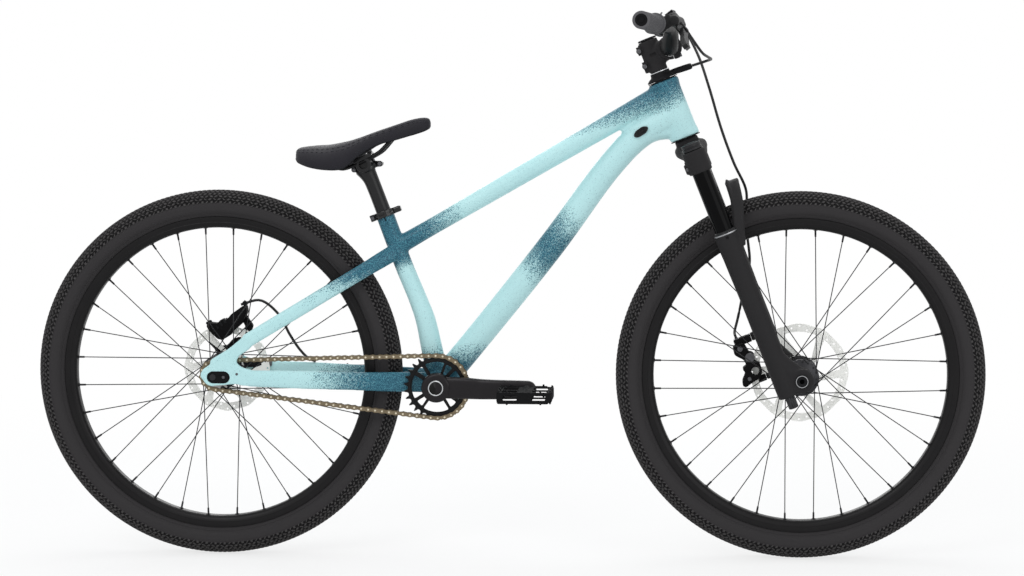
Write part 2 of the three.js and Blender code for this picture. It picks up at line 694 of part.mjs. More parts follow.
// Headset bearings, set in the head tube's ends
const bearingBore = holeFor(steererRadius, 16);
const bearingProfile = (end, way) => [
  [bearingBore, end + way * (clearance + bearingFlange)], [flangeEdge,
    end + way * (clearance + bearingFlange)],
  [flangeEdge, end + way * clearance], [bearingRadius, end + way * clearance],
  [bearingRadius, end - way * bearingHeight], [bearingBore, end - way * bearingHeight]];
addPiece(bike, 'headset_bearing_upper', placeAtHead(turnedUp(bearingProfile(headTubeLength, 1), 16)),
  alloyBlack, 0.4, 0.6);
addPiece(bike, 'headset_bearing_lower', placeAtHead(turnedUp(bearingProfile(0, -1), 16)), alloyBlack, 0.4,
  0.6);

// Bottom bracket cups
const spindleBore = holeFor(spindleRadius, 12);
function makeCup(side) {
  const [face, lip] = [shellHalf + clearance, shellHalf + clearance + cupFlange];
  const profile = [[spindleBore, side * (shellHalf - cupDepth)], [cupRadius, side * (shellHalf - cupDepth)],
    [cupRadius, side * face], [shellRadius, side * face], [shellRadius, side * lip], [spindleBore,
      side * lip]];
  return turned(profile, 12, bracketX, bracketHeight);
}
addPiece(bike, 'bottom_bracket_cup_right', makeCup(-1), '#1b1b1d', 0.4, 0.5);
addPiece(bike, 'bottom_bracket_cup_left', makeCup(1), '#1b1b1d', 0.4, 0.5);

// Sprockets: flat-floored valleys that clear the rollers
const pitchRadiusOf = (teeth) => chainPitch / (2 * Math.sin(Math.PI / teeth));
const ringPitchRadius = pitchRadiusOf(ringTeeth);
const cogPitchRadius = pitchRadiusOf(cogTeeth);
const toothRise = 2.8;
function toothed(teeth, firstValley, x, z) {
  const pitchRadius = pitchRadiusOf(teeth);
  const floor = pitchRadius - rollerRadius - 2 * clearance;
  const tip = pitchRadius + toothRise;
  const half = rollerRadius + 1.5 * clearance;
  const points = [];
  for (let i = 0; i < teeth; i += 1) {
    const turn = firstValley + (i * 2 * Math.PI) / teeth;
    [[floor, -half], [floor, half], [tip, (Math.PI * tip) / teeth]].forEach(([out, across]) => {
      const angle = turn + Math.atan2(across, out);
      const reach = Math.hypot(out, across);
      points.push([x + reach * Math.cos(angle), z + reach * Math.sin(angle)]);
    });
  }
  return points;
}

// The chain's line in link steps: round the ring's front, back along the bottom, round the
// cog and forward along the top. Its pins fall in the valleys of both sprockets.
const ringCentre = [bracketX, bracketHeight];
const cogCentre = [rearX, axleHeight];
const centreGap = Math.hypot(ringCentre[0] - cogCentre[0], ringCentre[1] - cogCentre[1]);
const centreTilt = Math.atan2(ringCentre[1] - cogCentre[1], ringCentre[0] - cogCentre[0]);
const wrapTilt = Math.asin((ringPitchRadius - cogPitchRadius) / centreGap);
const straightLinks = Math.sqrt(centreGap ** 2 - (ringPitchRadius - cogPitchRadius) ** 2) / chainPitch;
const ringWrap = Math.PI + 2 * wrapTilt;
const cogWrap = Math.PI - 2 * wrapTilt;
const ringLinks = (ringWrap * ringTeeth) / (2 * Math.PI);
const cogLinks = (cogWrap * cogTeeth) / (2 * Math.PI);
const totalSteps = 2 * straightLinks + ringLinks + cogLinks;
const linkCount = 2 * Math.round(totalSteps / 2);
const linkStep = totalSteps / linkCount;
function onChain(steps) {
  let s = steps;
  const topTurn = centreTilt + Math.PI / 2 + wrapTilt;
  const onCircle = (centre, radius, turn) => [centre[0] + radius * Math.cos(turn),
    centre[1] + radius * Math.sin(turn)];
  if (s <= ringLinks) return onCircle(ringCentre, ringPitchRadius, topTurn - (s * 2 * Math.PI) / ringTeeth);
  s -= ringLinks;
  const lowTurn = topTurn - ringWrap;
  const ringLow = onCircle(ringCentre, ringPitchRadius, lowTurn);
  const cogLow = onCircle(cogCentre, cogPitchRadius, lowTurn);
  const between = (a, b, share) => [lerp(a[0], b[0], share), lerp(a[1], b[1], share)];
  if (s <= straightLinks) return between(ringLow, cogLow, s / straightLinks);
  s -= straightLinks;
  if (s <= cogLinks) return onCircle(cogCentre, cogPitchRadius, lowTurn - (s * 2 * Math.PI) / cogTeeth);
  s -= cogLinks;
  const ringTop = onCircle(ringCentre, ringPitchRadius, topTurn);
  return between(onCircle(cogCentre, cogPitchRadius, topTurn), ringTop, s / straightLinks);
}
const valleyOf = (centre, steps) => {
  const [x, z] = onChain(steps);
  return Math.atan2(z - centre[1], x - centre[0]);
};
const firstOnCog = Math.ceil((ringLinks + straightLinks) / linkStep) * linkStep;
const plateTall = 8.6;
const plateWaist = 5.8;
function makeChain() {
  const parts = [];
  [-1, 1].forEach((side) => {
    const y = -chainline + side * (chainInnerWidth + chainPlate) / 2;
    const stations = Array.from({ length: 2 * linkCount }, (_, i) => {
      const [x, z] = onChain((i * linkStep) / 2);
      return knot(x, y, z, chainPlate, i % 2 === 0 ? plateTall : plateWaist);
    });
    parts.push(bar(stations, 4, { boxed: true, loop: true }));
  });
  const rollerHalf = chainInnerWidth / 2 + chainPlate / 4;
  for (let i = 0; i < linkCount; i += 1) {
    const [x, z] = onChain(i * linkStep);
    parts.push(drum(rollerRadius, -chainline - rollerHalf, -chainline + rollerHalf, 4, x, z));
  }
  return join(...parts);
}
addPiece(bike, 'chain', makeChain(), '#7a6852', 0.35, 0.8);

const ringInnerRadius = 15.6;
const sprocketHalf = sprocketThickness / 2;
const windowInner = ringPitchRadius * 0.42;
const windowOuter = ringPitchRadius * 0.8;
const windowShares = [[72, 118, 1], [50, 67, 0.97], [126, 142, 1], [152, 208, 1], [216, 232, 0.97],
  [238, 298, 1], [304, 322, 0.97],
  [22, 42, 1], [330, 344, 1]];
const ringHoles = windowShares.map(([from, to, share]) => [
  ...arc(...ringCentre, windowOuter * share, from, to, to - from > 30 ? 3 : 1),
  ...arc(...ringCentre, windowInner / share, to, from, to - from > 30 ? 2 : 1)]);
const chainring = plate(toothed(ringTeeth, valleyOf(ringCentre, 0), ...ringCentre),
  -chainline - sprocketHalf, -chainline + sprocketHalf,
  [ring(...ringCentre, holeFor(ringInnerRadius, 12), 12), ...ringHoles]);
addPiece(bike, 'chainring', chainring, '#222224', 0.4, 0.5);

const driverRadius = 17;
const driverInner = chainline - 3 * chainPlate - rearFlangeRight / 4 + clearance;
const driverBore = holeFor(rearAxleRadius, 12);
const rearCog = cut(
  join(plate(toothed(cogTeeth, valleyOf(cogCentre, firstOnCog), ...cogCentre), -chainline - sprocketHalf,
    -chainline + sprocketHalf),
    drum(driverRadius, -shoulderInner + clearance, -driverInner, 12, ...cogCentre)),
  drum(driverBore, -rearSpacing, 0, 12, ...cogCentre));
addPiece(bike, 'rear_cog', rearCog, '#8b8b8a', 0.35, 0.8);

// Cranks and pedals
const armInner = crankOuterFace - crankThickness;
const bossRadius = 25;
const bossInner = chainline + sprocketHalf + clearance;
const armRootOuter = bossInner + crankThickness * 1.25;
const cupFace = cupReach - clearance;
function makeCrank(side) {
  const way = side < 0 ? 1 : -1;
  const arm = [
    knot(bracketX, side * (bossInner + crankThickness * 0.55), bracketHeight, crankThickness * 1.05,
      crankHeight * 1.15),
    knot(bracketX + way * crankLength * 0.2, side * (bossInner + crankThickness * 0.7), bracketHeight,
      crankThickness, crankHeight * 1.1),
    knot(bracketX + way * crankLength * 0.5, side * (armInner + crankThickness * 0.35), bracketHeight,
      crankThickness, crankHeight * 0.98),
    knot(bracketX + way * crankLength * 0.85, side * (armInner + crankThickness / 2), bracketHeight,
      crankThickness, crankHeight * 0.86),
    knot(bracketX + way * (crankLength + crankHeight * 0.28), side * (armInner + crankThickness / 2),
      bracketHeight,
      crankThickness * 0.96, crankHeight * 0.8),
    knot(bracketX + way * (crankLength + crankHeight * 0.42), side * (armInner + crankThickness / 2),
      bracketHeight,
      crankThickness * 0.8, crankHeight * 0.5)];
  const solids = [
    bar(smooth(arm, 5), 8, { squareness: 0.72 }),
    drum(bossRadius, Math.min(side * bossInner, side * armRootOuter),
      Math.max(side * bossInner, side * armRootOuter), 14, ...ringCentre)];
  if (side < 0) {
    solids.push(drum(ringInnerRadius, -bossInner - crankThickness / 2, -cupFace - clearance, 12,
      ...ringCentre));
    solids.push(drum(spindleRadius, -armRootOuter - clearance, armRootOuter + clearance, 12,
      ...ringCentre));
  } else {
    solids.push(drum(bossRadius * 0.8, cupFace + clearance, bossInner + crankThickness / 2, 16,
      ...ringCentre));
  }
  const bore = side < 0 ? spindleRadius - spindleWall : spindleBore;
  const axleHole = holeFor(pedalAxleRadius, 8);
  return cut(join(...solids), drum(bore, -overrun * 3, overrun * 3, 12, ...ringCentre),
    drum(axleHole, -overrun * 3, overrun * 3, 8, bracketX + way * crankLength, bracketHeight));
}
addPiece(bike, 'crank_arm_right', makeCrank(-1), '#2a292b', 0.4, 0.5);
addPiece(bike, 'crank_arm_left', makeCrank(1), '#2a292b', 0.4, 0.5);

const pedalGap = 5;
const pedalInner = crankOuterFace + pedalGap;
const pedalOuter = pedalInner + pedalWidth;
function pedalOutline(x) {
  const [half, inner, outer] = [pedalLength / 2, pedalInner, pedalOuter];
  const shares = [[-0.86, 0], [0.86, 0], [1, 0.14], [1, 0.86], [0.86, 1], [-0.86, 1], [-1, 0.86],
    [-1, 0.14]];
  return shares.map(([along, out]) => [x + half * along, lerp(inner, outer, out)]);
}
const openingShares = [[-0.8, -0.24, 0.12, 0.46], [-0.8, -0.24, 0.54, 0.88], [0.24, 0.8, 0.12, 0.46],
  [0.24, 0.8, 0.54, 0.88]];
function makePedal(side) {
  const x = bracketX - side * crankLength;
  const holes = openingShares.map(([x0, x1, y0, y1]) => [
    [x + (pedalLength / 2) * x0, lerp(pedalInner, pedalOuter, y0)], [x + (pedalLength / 2) * x1,
      lerp(pedalInner, pedalOuter, y0)],
    [x + (pedalLength / 2) * x1, lerp(pedalInner, pedalOuter, y1)], [x + (pedalLength / 2) * x0,
      lerp(pedalInner, pedalOuter, y1)]]);
  const turn = new THREE.Matrix4().makeRotationX(side > 0 ? Math.PI / 2 : -Math.PI / 2).setPosition(0, 0,
    bracketHeight);
  const half = pedalThickness / 2;
  const body = plate(pedalOutline(x).map(([px, py]) => [px, -py]), -half, half,
    holes.map((hole) => hole.map(([px, py]) => [px, -py])));
  const turnedBody = body.transform(toSteps(turn));
  const reach = [Math.min(side * pedalInner, side * (pedalOuter - crankThickness / 3)),
    Math.max(side * pedalInner, side * (pedalOuter - crankThickness / 3))];
  const bore = drum(holeFor(pedalAxleRadius, 8), reach[0] - (side > 0 ? overrun : 0),
    reach[1] + (side > 0 ? 0 : overrun), 8, x, bracketHeight);
  return cut(turnedBody, bore);
}
function makePedalAxle(side) {
  const x = bracketX - side * crankLength;
  const [start, end] = [armInner + clearance, pedalOuter - crankThickness / 2];
  const collar = [crankOuterFace + clearance, pedalInner - clearance];
  const order = (a, b) => [Math.min(side * a, side * b), Math.max(side * a, side * b)];
  return join(drum(pedalAxleRadius, ...order(start, end), 8, x, bracketHeight),
    drum(pedalAxleRadius * 1.7, ...order(...collar), 8, x, bracketHeight));
}
addPiece(bike, 'pedal_axle_right', makePedalAxle(-1), '#6c6c6e', 0.35, 0.8);
addPiece(bike, 'pedal_axle_left', makePedalAxle(1), '#6c6c6e', 0.35, 0.8);
addPiece(bike, 'pedal_right', makePedal(-1), '#232325', 0.55, 0.2);
addPiece(bike, 'pedal_left', makePedal(1), '#232325', 0.55, 0.2);

// Seatpost, its collar, the rail clamp, the rails and the saddle
const headDrum = 15;
const headWidth = 2 * (railHalfSpacing + railRadius * 1.9);
const seatpostTop = onSeat(0, 0, seatpostHeight);
const railZ = seatpostTop.z + headDrum * 0.52;
const clampX = seatpostTop.x;
const railTilt = 25;
const saddleRear = clampX - saddleLength * 0.509;
const saddleTopRear = railZ + saddleHeight * 0.31;
const saddlePoint = (along, up) => [saddleRear + saddleLength * along, saddleTopRear + saddleHeight * up];
// Along, top, bottom, half width, all as shares of the saddle's length, height and width
const saddleShares = [
  [0, -0.1, -0.24, 0.3], [0.04, 0.04, -0.38, 0.72], [0.14, 0.09, -0.5, 0.96], [0.25, 0.12, -0.56, 1],
  [0.36, 0.2, -0.55, 0.9], [0.47, 0.32, -0.22, 0.66], [0.6, 0.5, 0.1, 0.42], [0.74, 0.68, 0.25, 0.31],
  [0.87, 0.84, 0.4, 0.27], [0.96, 0.88, 0.55, 0.23], [1, 0.76, 0.66, 0.12]];
const saddleSectionShares = [[0, 1], [0.55, 0.93], [0.9, 0.62], [1, 0.2], [0.86, 0], [0.6, 0.3], [0, 0.5]];
function saddleSkin() {
  return skin(saddleShares.map(([along, top, bottom, wide]) => {
    const [x, high] = saddlePoint(along, top);
    const low = saddlePoint(along, bottom)[1];
    const half = (saddleWidth / 2) * wide;
    const right = saddleSectionShares.map(([out, up]) => at(x, half * out, lerp(low, high, up)));
    return [...right, ...right.slice(1, -1).reverse().map((point) => point.clone().setY(-point.y))];
  }));
}
const railShares = [[-0.32, 1.35, 0.1], [-0.254, 1.22, -0.11], [-0.17, 1.06, -0.24], [-0.114, 1, -0.21],
  [0.079, 1, 0.136],
  [0.129, 0.92, 0.266], [0.215, 0.6, 0.62], [0.289, 0.3, 0.83], [0.314, 0, 0.875]];
function railRun(radius) {
  const side = railShares.map(([along, out, up]) => (
    at(clampX + saddleLength * along, railHalfSpacing * out, railZ + saddleHeight * up)));
  const path = [...side, ...side.slice(0, -1).reverse().map((point) => point.clone().setY(-point.y))];
  const run = path.map((point) => ({ at: point, wide: 2 * radius, tall: 2 * radius }));
  return bar(smooth(run, 18), 6, { across: at(0.4, 0, 1) });
}
const toRail = new THREE.Matrix4().makeRotationY(-rad(railTilt)).setPosition(at(clampX, 0, railZ));
const placeAtRail = (body) => body.transform(toSteps(toRail));
const railCutter = railRun(railRadius + clearance);
const saddle = cut(saddleSkin(), railCutter);
const postHead = cut(
  join(placeAtSeat(column(seatpostRadius, -seatpostInsert, seatpostHeight, 16)),
    drum(headDrum, -headWidth / 2, headWidth / 2, 16, clampX, seatpostTop.z)),
  railCutter, placeAtRail(block(-overrun, overrun, -headWidth, headWidth, clearance, overrun)));
const clampTall = railRadius * 2.4;
const clampHalf = headDrum * 1.2;
const boltHalf = headDrum * 0.3;
const railClamp = cut(placeAtRail(join(
  block(-clampHalf, clampHalf, -headWidth / 2, headWidth / 2, 2 * clearance, clampTall),
  ...[-1, 1].map((side) => block(side * clampHalf * 0.75 - boltHalf, side * clampHalf * 0.75 + boltHalf,
    -boltHalf, boltHalf,
    clampTall / 2, clampTall * 1.4)))), railCutter);
addPiece(bike, 'seatpost', postHead, alloyBlack, 0.35, 0.6);
addPiece(bike, 'rail_clamp', railClamp, alloyBlack, 0.4, 0.6);
addPiece(bike, 'saddle_rails', railRun(railRadius), '#3a3a3c', 0.3, 0.8);
addPiece(bike, 'saddle', saddle, '#2e2d31', 0.8);

const collarInner = seatTubeRadius + clearance;
const collarOuter = collarInner + collarWall;
const earLength = collarHeight * 0.9;
const seatCollar = placeAtSeat(cut(join(
  column(collarOuter, -collarHeight, 0, 20),
  block(-collarOuter - earLength * 0.6, 0, -collarHeight * 0.55, collarHeight * 0.55, -collarHeight, 0),
  block(0, collarOuter + earLength, -collarHeight * 0.45, collarHeight * 0.45, -collarHeight * 0.92,
    -collarHeight * 0.08)),
column(collarInner / Math.cos(Math.PI / 20), -overrun, overrun, 20),
block(-overrun, 0, -seatSlotWidth / 2, seatSlotWidth / 2, -overrun, overrun)));
addPiece(bike, 'seat_collar', seatCollar, '#1a1a1b', 0.35, 0.6);

// Fork, in the steering frame: z runs up the steering axis from the head tube's lower end
const clampTop = -crownClampHeight * 0.61;
const clampLow = clampTop - crownClampHeight;
const bothSides = (make) => [-1, 1].map((side) => make(side * legHalfSpacing));
const raceTop = -bearingFlange - 2 * clearance;
const stemLow = headTubeLength * 1.16;
const stemTop = stemLow + headTubeLength * 0.55;
const crownSpanShares = [[-0.93, 0, 0.62, 0.8], [-0.55, 0.01, 0.72, 0.72], [0, -0.04, 0.92, 0.7],
  [0.55, 0.01, 0.72, 0.72],
  [0.93, 0, 0.62, 0.8]];
const crownSag = crownClampHeight * 0.55;
const crownStations = crownSpanShares.map(([out, fore, deep, tall]) => knot(
  legAdvance + crownDepth * fore, legHalfSpacing * out, -crownSag - Math.abs(out) * crownClampHeight * 0.35,
  crownDepth * deep, crownClampHeight * tall));
const forkCrown = cut(
  join(bar(crownStations, 10, { across: at(1, 0, 0), squareness: 0.75 }),
    ...bothSides((y) => column(crownClampRadius, clampLow, clampTop, 14, legAdvance, y)),
    column(bearingRadius, -crownSag, raceTop, 16), column(steererRadius, -crownSag, stemTop - clearance,
      16)),
  ...bothSides((y) => column(holeFor(stanchionRadius, 14), clampLow * 2, overrun, 14, legAdvance, y)),
  column(steererRadius - steererWall, clampLow * 2, stemTop + overrun, 12));
addPiece(steering, 'fork_crown', forkCrown, satinBlack, 0.45, 0.2);
const stanchionTop = clampTop + crownClampHeight * 0.1;
const legTop = clampLow - exposedStanchion;
const legLow = -forkLength - lugRadius * 0.9;
const legFloor = legLow + legFloorThickness;
const stanchionLow = legFloor + forkTravel + 2 * clearance + stanchionWallGap;
[['right', -1], ['left', 1]].forEach(([hand, side]) => {
  const tube = column(stanchionRadius, stanchionLow, stanchionTop, 14, legAdvance, side * legHalfSpacing);
  addPiece(steering, `stanchion_${hand}`, tube, '#161617', 0.12, 0.5);
});

const lugHalf = lugLength / 2;
const lugCentre = frontSpacing / 2 + lugHalf;
const axleReach = lugCentre + lugHalf;
const hubRoom = drum(lugRadius * 1.4, -frontSpacing / 2, frontSpacing / 2, 10, forkOffset, -forkLength);
const headRoom = drum(lugRadius * 0.6, -axleReach - overrun, -axleReach, 12, forkOffset, -forkLength);
const archShares = [[0.4, 1, 0.07, 0.8, 1.6], [0.68, 0.92, -0.01, 0.86, 1.15],
  [0.95, 0.7, -0.085, 0.95, 1.1], [1.05, 0.36, -0.148, 1, 1.05],
  [1.06, 0, -0.162, 1, 1.05]];
const archHalf = archShares.map(([fore, out, down, deep, tall]) => knot(
  legAdvance + archReach * fore, legHalfSpacing * out, legTop - forkLength * down * 0.96, archDepth * deep,
  archThickness * tall));
const archRun = [...archHalf, ...archHalf.slice(0,
  -1).reverse().map((one) => ({ ...one, at: one.at.clone().setY(-one.at.y) }))];
const caliperAt = caliperRise - forkLength;
const bossUpShares = [0.5815, -0.2135];
const bossHeights = bossUpShares.map((up) => caliperAt + caliperLength * up);
const bossHalf = caliperLength * 0.087;
const bossBack = legAdvance - legRadius * 1.38;
const forkLowers = cut(
  join(...bothSides((y) => column(legRadius, legLow, legTop, 14, legAdvance, y)),
    ...bothSides((y) => rod(at(legAdvance, y, -forkLength * 0.9), at(forkOffset, y, -forkLength),
      legRadius * 0.97, 8, lugHalf)),
    ...[-1, 1].map((side) => drum(lugRadius, side * lugCentre - lugHalf, side * lugCentre + lugHalf, 12,
      forkOffset, -forkLength)),
    bar(smooth(archRun, 10), 8, { across: at(1, 0, 0), squareness: 0.8 }),
    ...bossHeights.map((height) => block(bossBack, legAdvance,
      legHalfSpacing - legRadius * 0.9, legHalfSpacing - legRadius * 0.2, height - bossHalf,
      height + bossHalf))),
  ...bothSides((y) => column(holeFor(stanchionRadius, 14), legFloor, overrun, 14, legAdvance, y)),
  drum(holeFor(frontAxleRadius, 12), -overrun * 3, overrun * 3, 12, forkOffset,
    -forkLength), hubRoom, headRoom);
addPiece(steering, 'fork_lowers', forkLowers, satinBlack, 0.45, 0.2);
const axleHeadDepth = frontAxleRadius * 0.55;
const frontAxle = cut(
  join(drum(frontAxleRadius, -axleReach - axleHeadDepth, axleReach, 12, forkOffset, -forkLength),
    drum(lugRadius * 0.52, -axleReach - clearance - axleHeadDepth, -axleReach - clearance, 12, forkOffset,
      -forkLength)),
  drum(frontAxleRadius * 0.7, -axleReach - overrun, -axleReach + lugHalf / 2, 8, forkOffset, -forkLength));
addPiece(steering, 'front_axle', frontAxle, '#8d8d8f', 0.3, 0.8);
const knobTop = legLow - clearance;
addPiece(steering, 'rebound_knob', column(legRadius * 0.44, knobTop - lugRadius, knobTop, 10, legAdvance,
  -legHalfSpacing),
  '#a02c2c', 0.4, 0.3);

// Headset cover with its hose snout, the stem and the handlebar
const coverLow = headTubeLength + bearingFlange + 2 * clearance;
const snoutRise = headTubeLength * 0.06;
const headsetCover = cut(
  join(turnedUp([[0, coverLow], [flangeEdge * 0.97, coverLow],
    [flangeEdge * 0.9, lerp(coverLow, stemLow, 0.3)],
    [stemClampRadius, lerp(coverLow, stemLow, 0.6)], [stemClampRadius * 0.93, stemLow - clearance], [0,
      stemLow - clearance]], 16),
  rod(at(stemClampRadius * 0.8, 0, coverLow + snoutRise), at(snoutReach, 0, coverLow + snoutRise * 0.6),
    snoutRadius, 10)),
  column(holeFor(steererRadius, 16), 0, stemTop, 16), column(flangeEdge * 1.1, 0, coverLow, 12));
addPiece(steering, 'headset_cover', headsetCover, '#1c1c1e', 0.4, 0.4);

const barCentre = at(stemLength, 0, stemLow + (stemTop - stemLow) * 0.56);
const stemHalf = barClampWidth / 2;
const barHole = drum(holeFor(barRadius, 16), -overrun, overrun, 16, barCentre.x, barCentre.z);
const clampDrum = drum(barClampRadius, -stemHalf, stemHalf, 16, barCentre.x, barCentre.z);
const splitX = barCentre.x + clearance;
const frontOfBar = block(splitX, barCentre.x + overrun, -overrun, overrun, -overrun, stemTop + overrun);
const boltRadius = stemClampRadius * 0.26;
const pinchX = -stemClampRadius * 1.15;
const pinchShares = [0.3, 0.78];
const pinchBolts = pinchShares.map((up) => drum(boltRadius, -stemHalf * 0.6, stemHalf * 0.6, 8, pinchX,
  lerp(stemLow, stemTop, up)));
const stemBody = cut(
  join(column(stemClampRadius, stemLow, stemTop, 20), clampDrum, ...pinchBolts,
    block(pinchX, 0, -stemHalf * 0.36, stemHalf * 0.36, lerp(stemLow, stemTop, 0.08),
      lerp(stemLow, stemTop, 0.95)),
    bar([knot(0, 0, lerp(stemLow, stemTop, 0.5), 2 * stemClampRadius, stemClampRadius * 2.5),
      knot(barCentre.x * 0.75, 0, barCentre.z, stemHalf * 2,
        barClampRadius * 1.7)], 8, { squareness: 0.7 })),
  column(holeFor(steererRadius, 16), 0, stemTop + overrun, 16), barHole, frontOfBar,
  block(-overrun, -steererRadius, -pinchGap / 2, pinchGap / 2, 0, stemTop + overrun));
addPiece(steering, 'stem', stemBody, '#1e1e20', 0.4, 0.5);
const faceplate = cut(clampDrum, barHole,
  block(-overrun, splitX + 2 * clearance, -overrun, overrun, 0, stemTop + overrun));
addPiece(steering, 'stem_faceplate', faceplate, '#1e1e20', 0.4, 0.5);
const topCap = join(column(stemClampRadius * 0.95, stemTop + clearance, stemTop + capHeight, 16),
  column(steererRadius - steererWall - 3 * clearance, stemTop - steererRadius, stemTop + clearance * 2,
    12));
addPiece(steering, 'stem_top_cap', topCap, '#1a1a1c', 0.35, 0.6);

const barEnd = at(barBendForward - barSweepBack, barHalfWidth, barBendRise + barSweepUp).add(barCentre);
const barElbow = at(barBendForward, barBendEnd, barBendRise).add(barCentre);
const barOut = barEnd.clone().sub(barElbow).normalize();
const onBar = (y) => barElbow.clone().addScaledVector(barOut, (y - barBendEnd) / barOut.y);
const bendSpan = (barBendEnd - barBendStart) * 0.45;
const barInner = barCentre.clone().setY(barBendStart);
const bend = new THREE.CubicBezierCurve3(barInner, at(0, bendSpan, 0).add(barInner),
  barElbow.clone().addScaledVector(barOut, -bendSpan), barElbow);
const bendStations = [0.2, 0.4, 0.6, 0.8,
  1].map((u) => ({ at: bend.getPoint(u), size: lerp(barRadius, barEndRadius, Math.min(u * 1.1, 1)) }));
const barPlug = gripLength * 0.03;
const barSideStations = [{ at: barInner, size: barRadius }, ...bendStations,
  { at: onBar(barHalfWidth - barPlug), size: barEndRadius }]
  .map(({ at: place, size }) => ({ at: place, wide: 2 * size, tall: 2 * size }));
const mirrored = (station) => ({ ...station, at: station.at.clone().setY(-station.at.y) });
const handlebar = bar([...barSideStations.slice().reverse(), ...barSideStations.map(mirrored)], 10,
  { across: at(1, 0, 0) });
addPiece(steering, 'handlebar', handlebar, '#1b1b1d', 0.4, 0.4);

const gripInner = barHalfWidth - gripLength;
const gripFlange = gripLength * 0.03;
const leftGrip = cut(
  join(rod(onBar(gripInner), onBar(barHalfWidth), gripRadius, 12),
    rod(onBar(gripInner), onBar(gripInner + gripFlange), gripFlangeRadius, 12)),
  rod(onBar(gripInner - overrun), onBar(barHalfWidth - barPlug + clearance), holeFor(barEndRadius, 10),
    10));
const bothHands = (piece) => [['right', piece.mirror([0, 1, 0])], ['left', piece]];
bothHands(leftGrip).forEach(([hand, body]) => addPiece(steering, `grip_${hand}`, body, '#77777b', 0.8));

// Brake levers: x runs out along the bar, z away from the lever and y rearward
const leverOut = barOut;
const leverDrop = at(Math.sin(rad(leverTilt)), 0, -Math.cos(rad(leverTilt)));
const leverBack = leverOut.clone().cross(leverDrop).normalize();
const leverUp = leverOut.clone().cross(leverBack).normalize();
const toLever = new THREE.Matrix4().makeBasis(leverOut, leverBack,
  leverUp).setPosition(onBar(leverClampAt));
const placeAtLever = (body) => body.transform(toSteps(toLever));
const [leverFore, pivotOut, pivotDrop] = [barClampRadius * 1.05, -barClampRadius * 0.91,
  -barClampRadius * 1.45];
const [ringHalf, reservoirRadius] = [barClampRadius * 0.32, barClampRadius * 0.45];
const [bladeHalf, earHalf] = [leverThickness / 2, leverThickness * 0.9];
const earGap = bladeHalf + clearance;
const bladeShares = [[-0.05, -0.06], [0.06, -0.08], [0.42, -0.17], [0.78, -0.27], [0.97, -0.36],
  [1.02, -0.35], [1.03, -0.3],
  [0.96, -0.27], [0.78, -0.18], [0.42, -0.08], [0.14, 0.025], [0.05, 0.05], [-0.05, 0.05]];
const pinRadius = leverThickness * 0.28;
const ontoLever = (along, up) => [pivotOut + along * leverLength, pivotDrop + up * leverLength];
const leftLever = placeAtLever(plate(bladeShares.map(([along, up]) => ontoLever(along, up)),
  -leverFore - bladeHalf, -leverFore + bladeHalf,
  [ring(pivotOut, pivotDrop, holeFor(pinRadius, 8), 8)]));
const leftBrakeBody = placeAtLever(cut(
  join(rod(at(-ringHalf, 0, 0), at(ringHalf, 0, 0), barEndRadius * 1.42, 12),
    rod(at(reservoirInner, -leverFore, -reservoirRadius), at(ringHalf, -leverFore, -reservoirRadius),
      reservoirRadius, 10),
    block(-ringHalf, ringHalf, -leverFore, -barEndRadius * 0.6, -reservoirRadius * 1.6,
      reservoirRadius * 0.6),
    block(pivotOut - ringHalf, pivotOut + ringHalf, -leverFore - earHalf, -leverFore + earHalf,
      pivotDrop - ringHalf, -reservoirRadius)),
  rod(at(-overrun, 0, 0), at(overrun, 0, 0), holeFor(barEndRadius, 10), 10),
  block(pivotOut - overrun / 2, pivotOut + overrun * 3, -leverFore - earGap, -leverFore + earGap,
    -overrun * 3, pivotDrop + leverLength * 0.08)));
const leftPin = placeAtLever(drum(pinRadius, -leverFore - earHalf + clearance,
  -leverFore + earHalf - clearance, 8, pivotOut, pivotDrop));
bothHands(join(leftBrakeBody, leftPin)).forEach(([hand, body]) => addPiece(steering, `brake_body_${hand}`,
  body, '#1f1f21', 0.4, 0.5));
bothHands(leftLever).forEach(([hand, body]) => addPiece(steering, `brake_lever_${hand}`, body, '#2a2a2c',
  0.35, 0.6));

// Disc brake calipers: a slotted body over the rotor, with arms to its mounts
const caliperShares = [[-0.7, 0.41], [-0.66, 0.355], [-0.57, 0.26], [-0.56, 0.13], [-0.66, 0.11],
  [-0.63, 0.01], [-0.68, -0.05],
  [-0.74, -0.11], [-0.77, -0.2], [-0.72, -0.25], [-0.55, -0.2], [-0.4, -0.18], [-0.32, -0.07], [-0.31,
    0.09], [-0.38, 0.18],
  [-0.42, 0.34], [-0.46, 0.56], [-0.68, 0.56]];
const onCaliper = (fore, up) => [legAdvance + fore * caliperLength, caliperAt + up * caliperLength];
const [padInner, padOuter] = [frontRotorPlane - caliperWidth / 2, frontRotorPlane + caliperWidth / 2];
const mountFace = bossBack - clearance;
const armRootShares = [0.62, 0.5];
const frontCaliper = cut(
  join(plate(caliperShares.map(([fore, up]) => onCaliper(fore, up)), padInner, padOuter),
    ...armRootShares.map((fore, i) => block(onCaliper(-fore, 0)[0], mountFace,
      frontRotorPlane + rotorSlot * 0.75,
      legHalfSpacing - legRadius * 0.25, bossHeights[i] - caliperArm / 2,
      bossHeights[i] + caliperArm / 2))),
  drum(frontRotorRadius + rotorSlot, frontRotorPlane - rotorSlot / 2, frontRotorPlane + rotorSlot / 2, 32,
    forkOffset, -forkLength),
  drum(caliperArm * 0.6, padInner - clearance, padOuter + clearance, 10, ...onCaliper(-0.445, -0.02)));
addPiece(steering, 'front_caliper', frontCaliper, '#1e1e20', 0.4, 0.5);
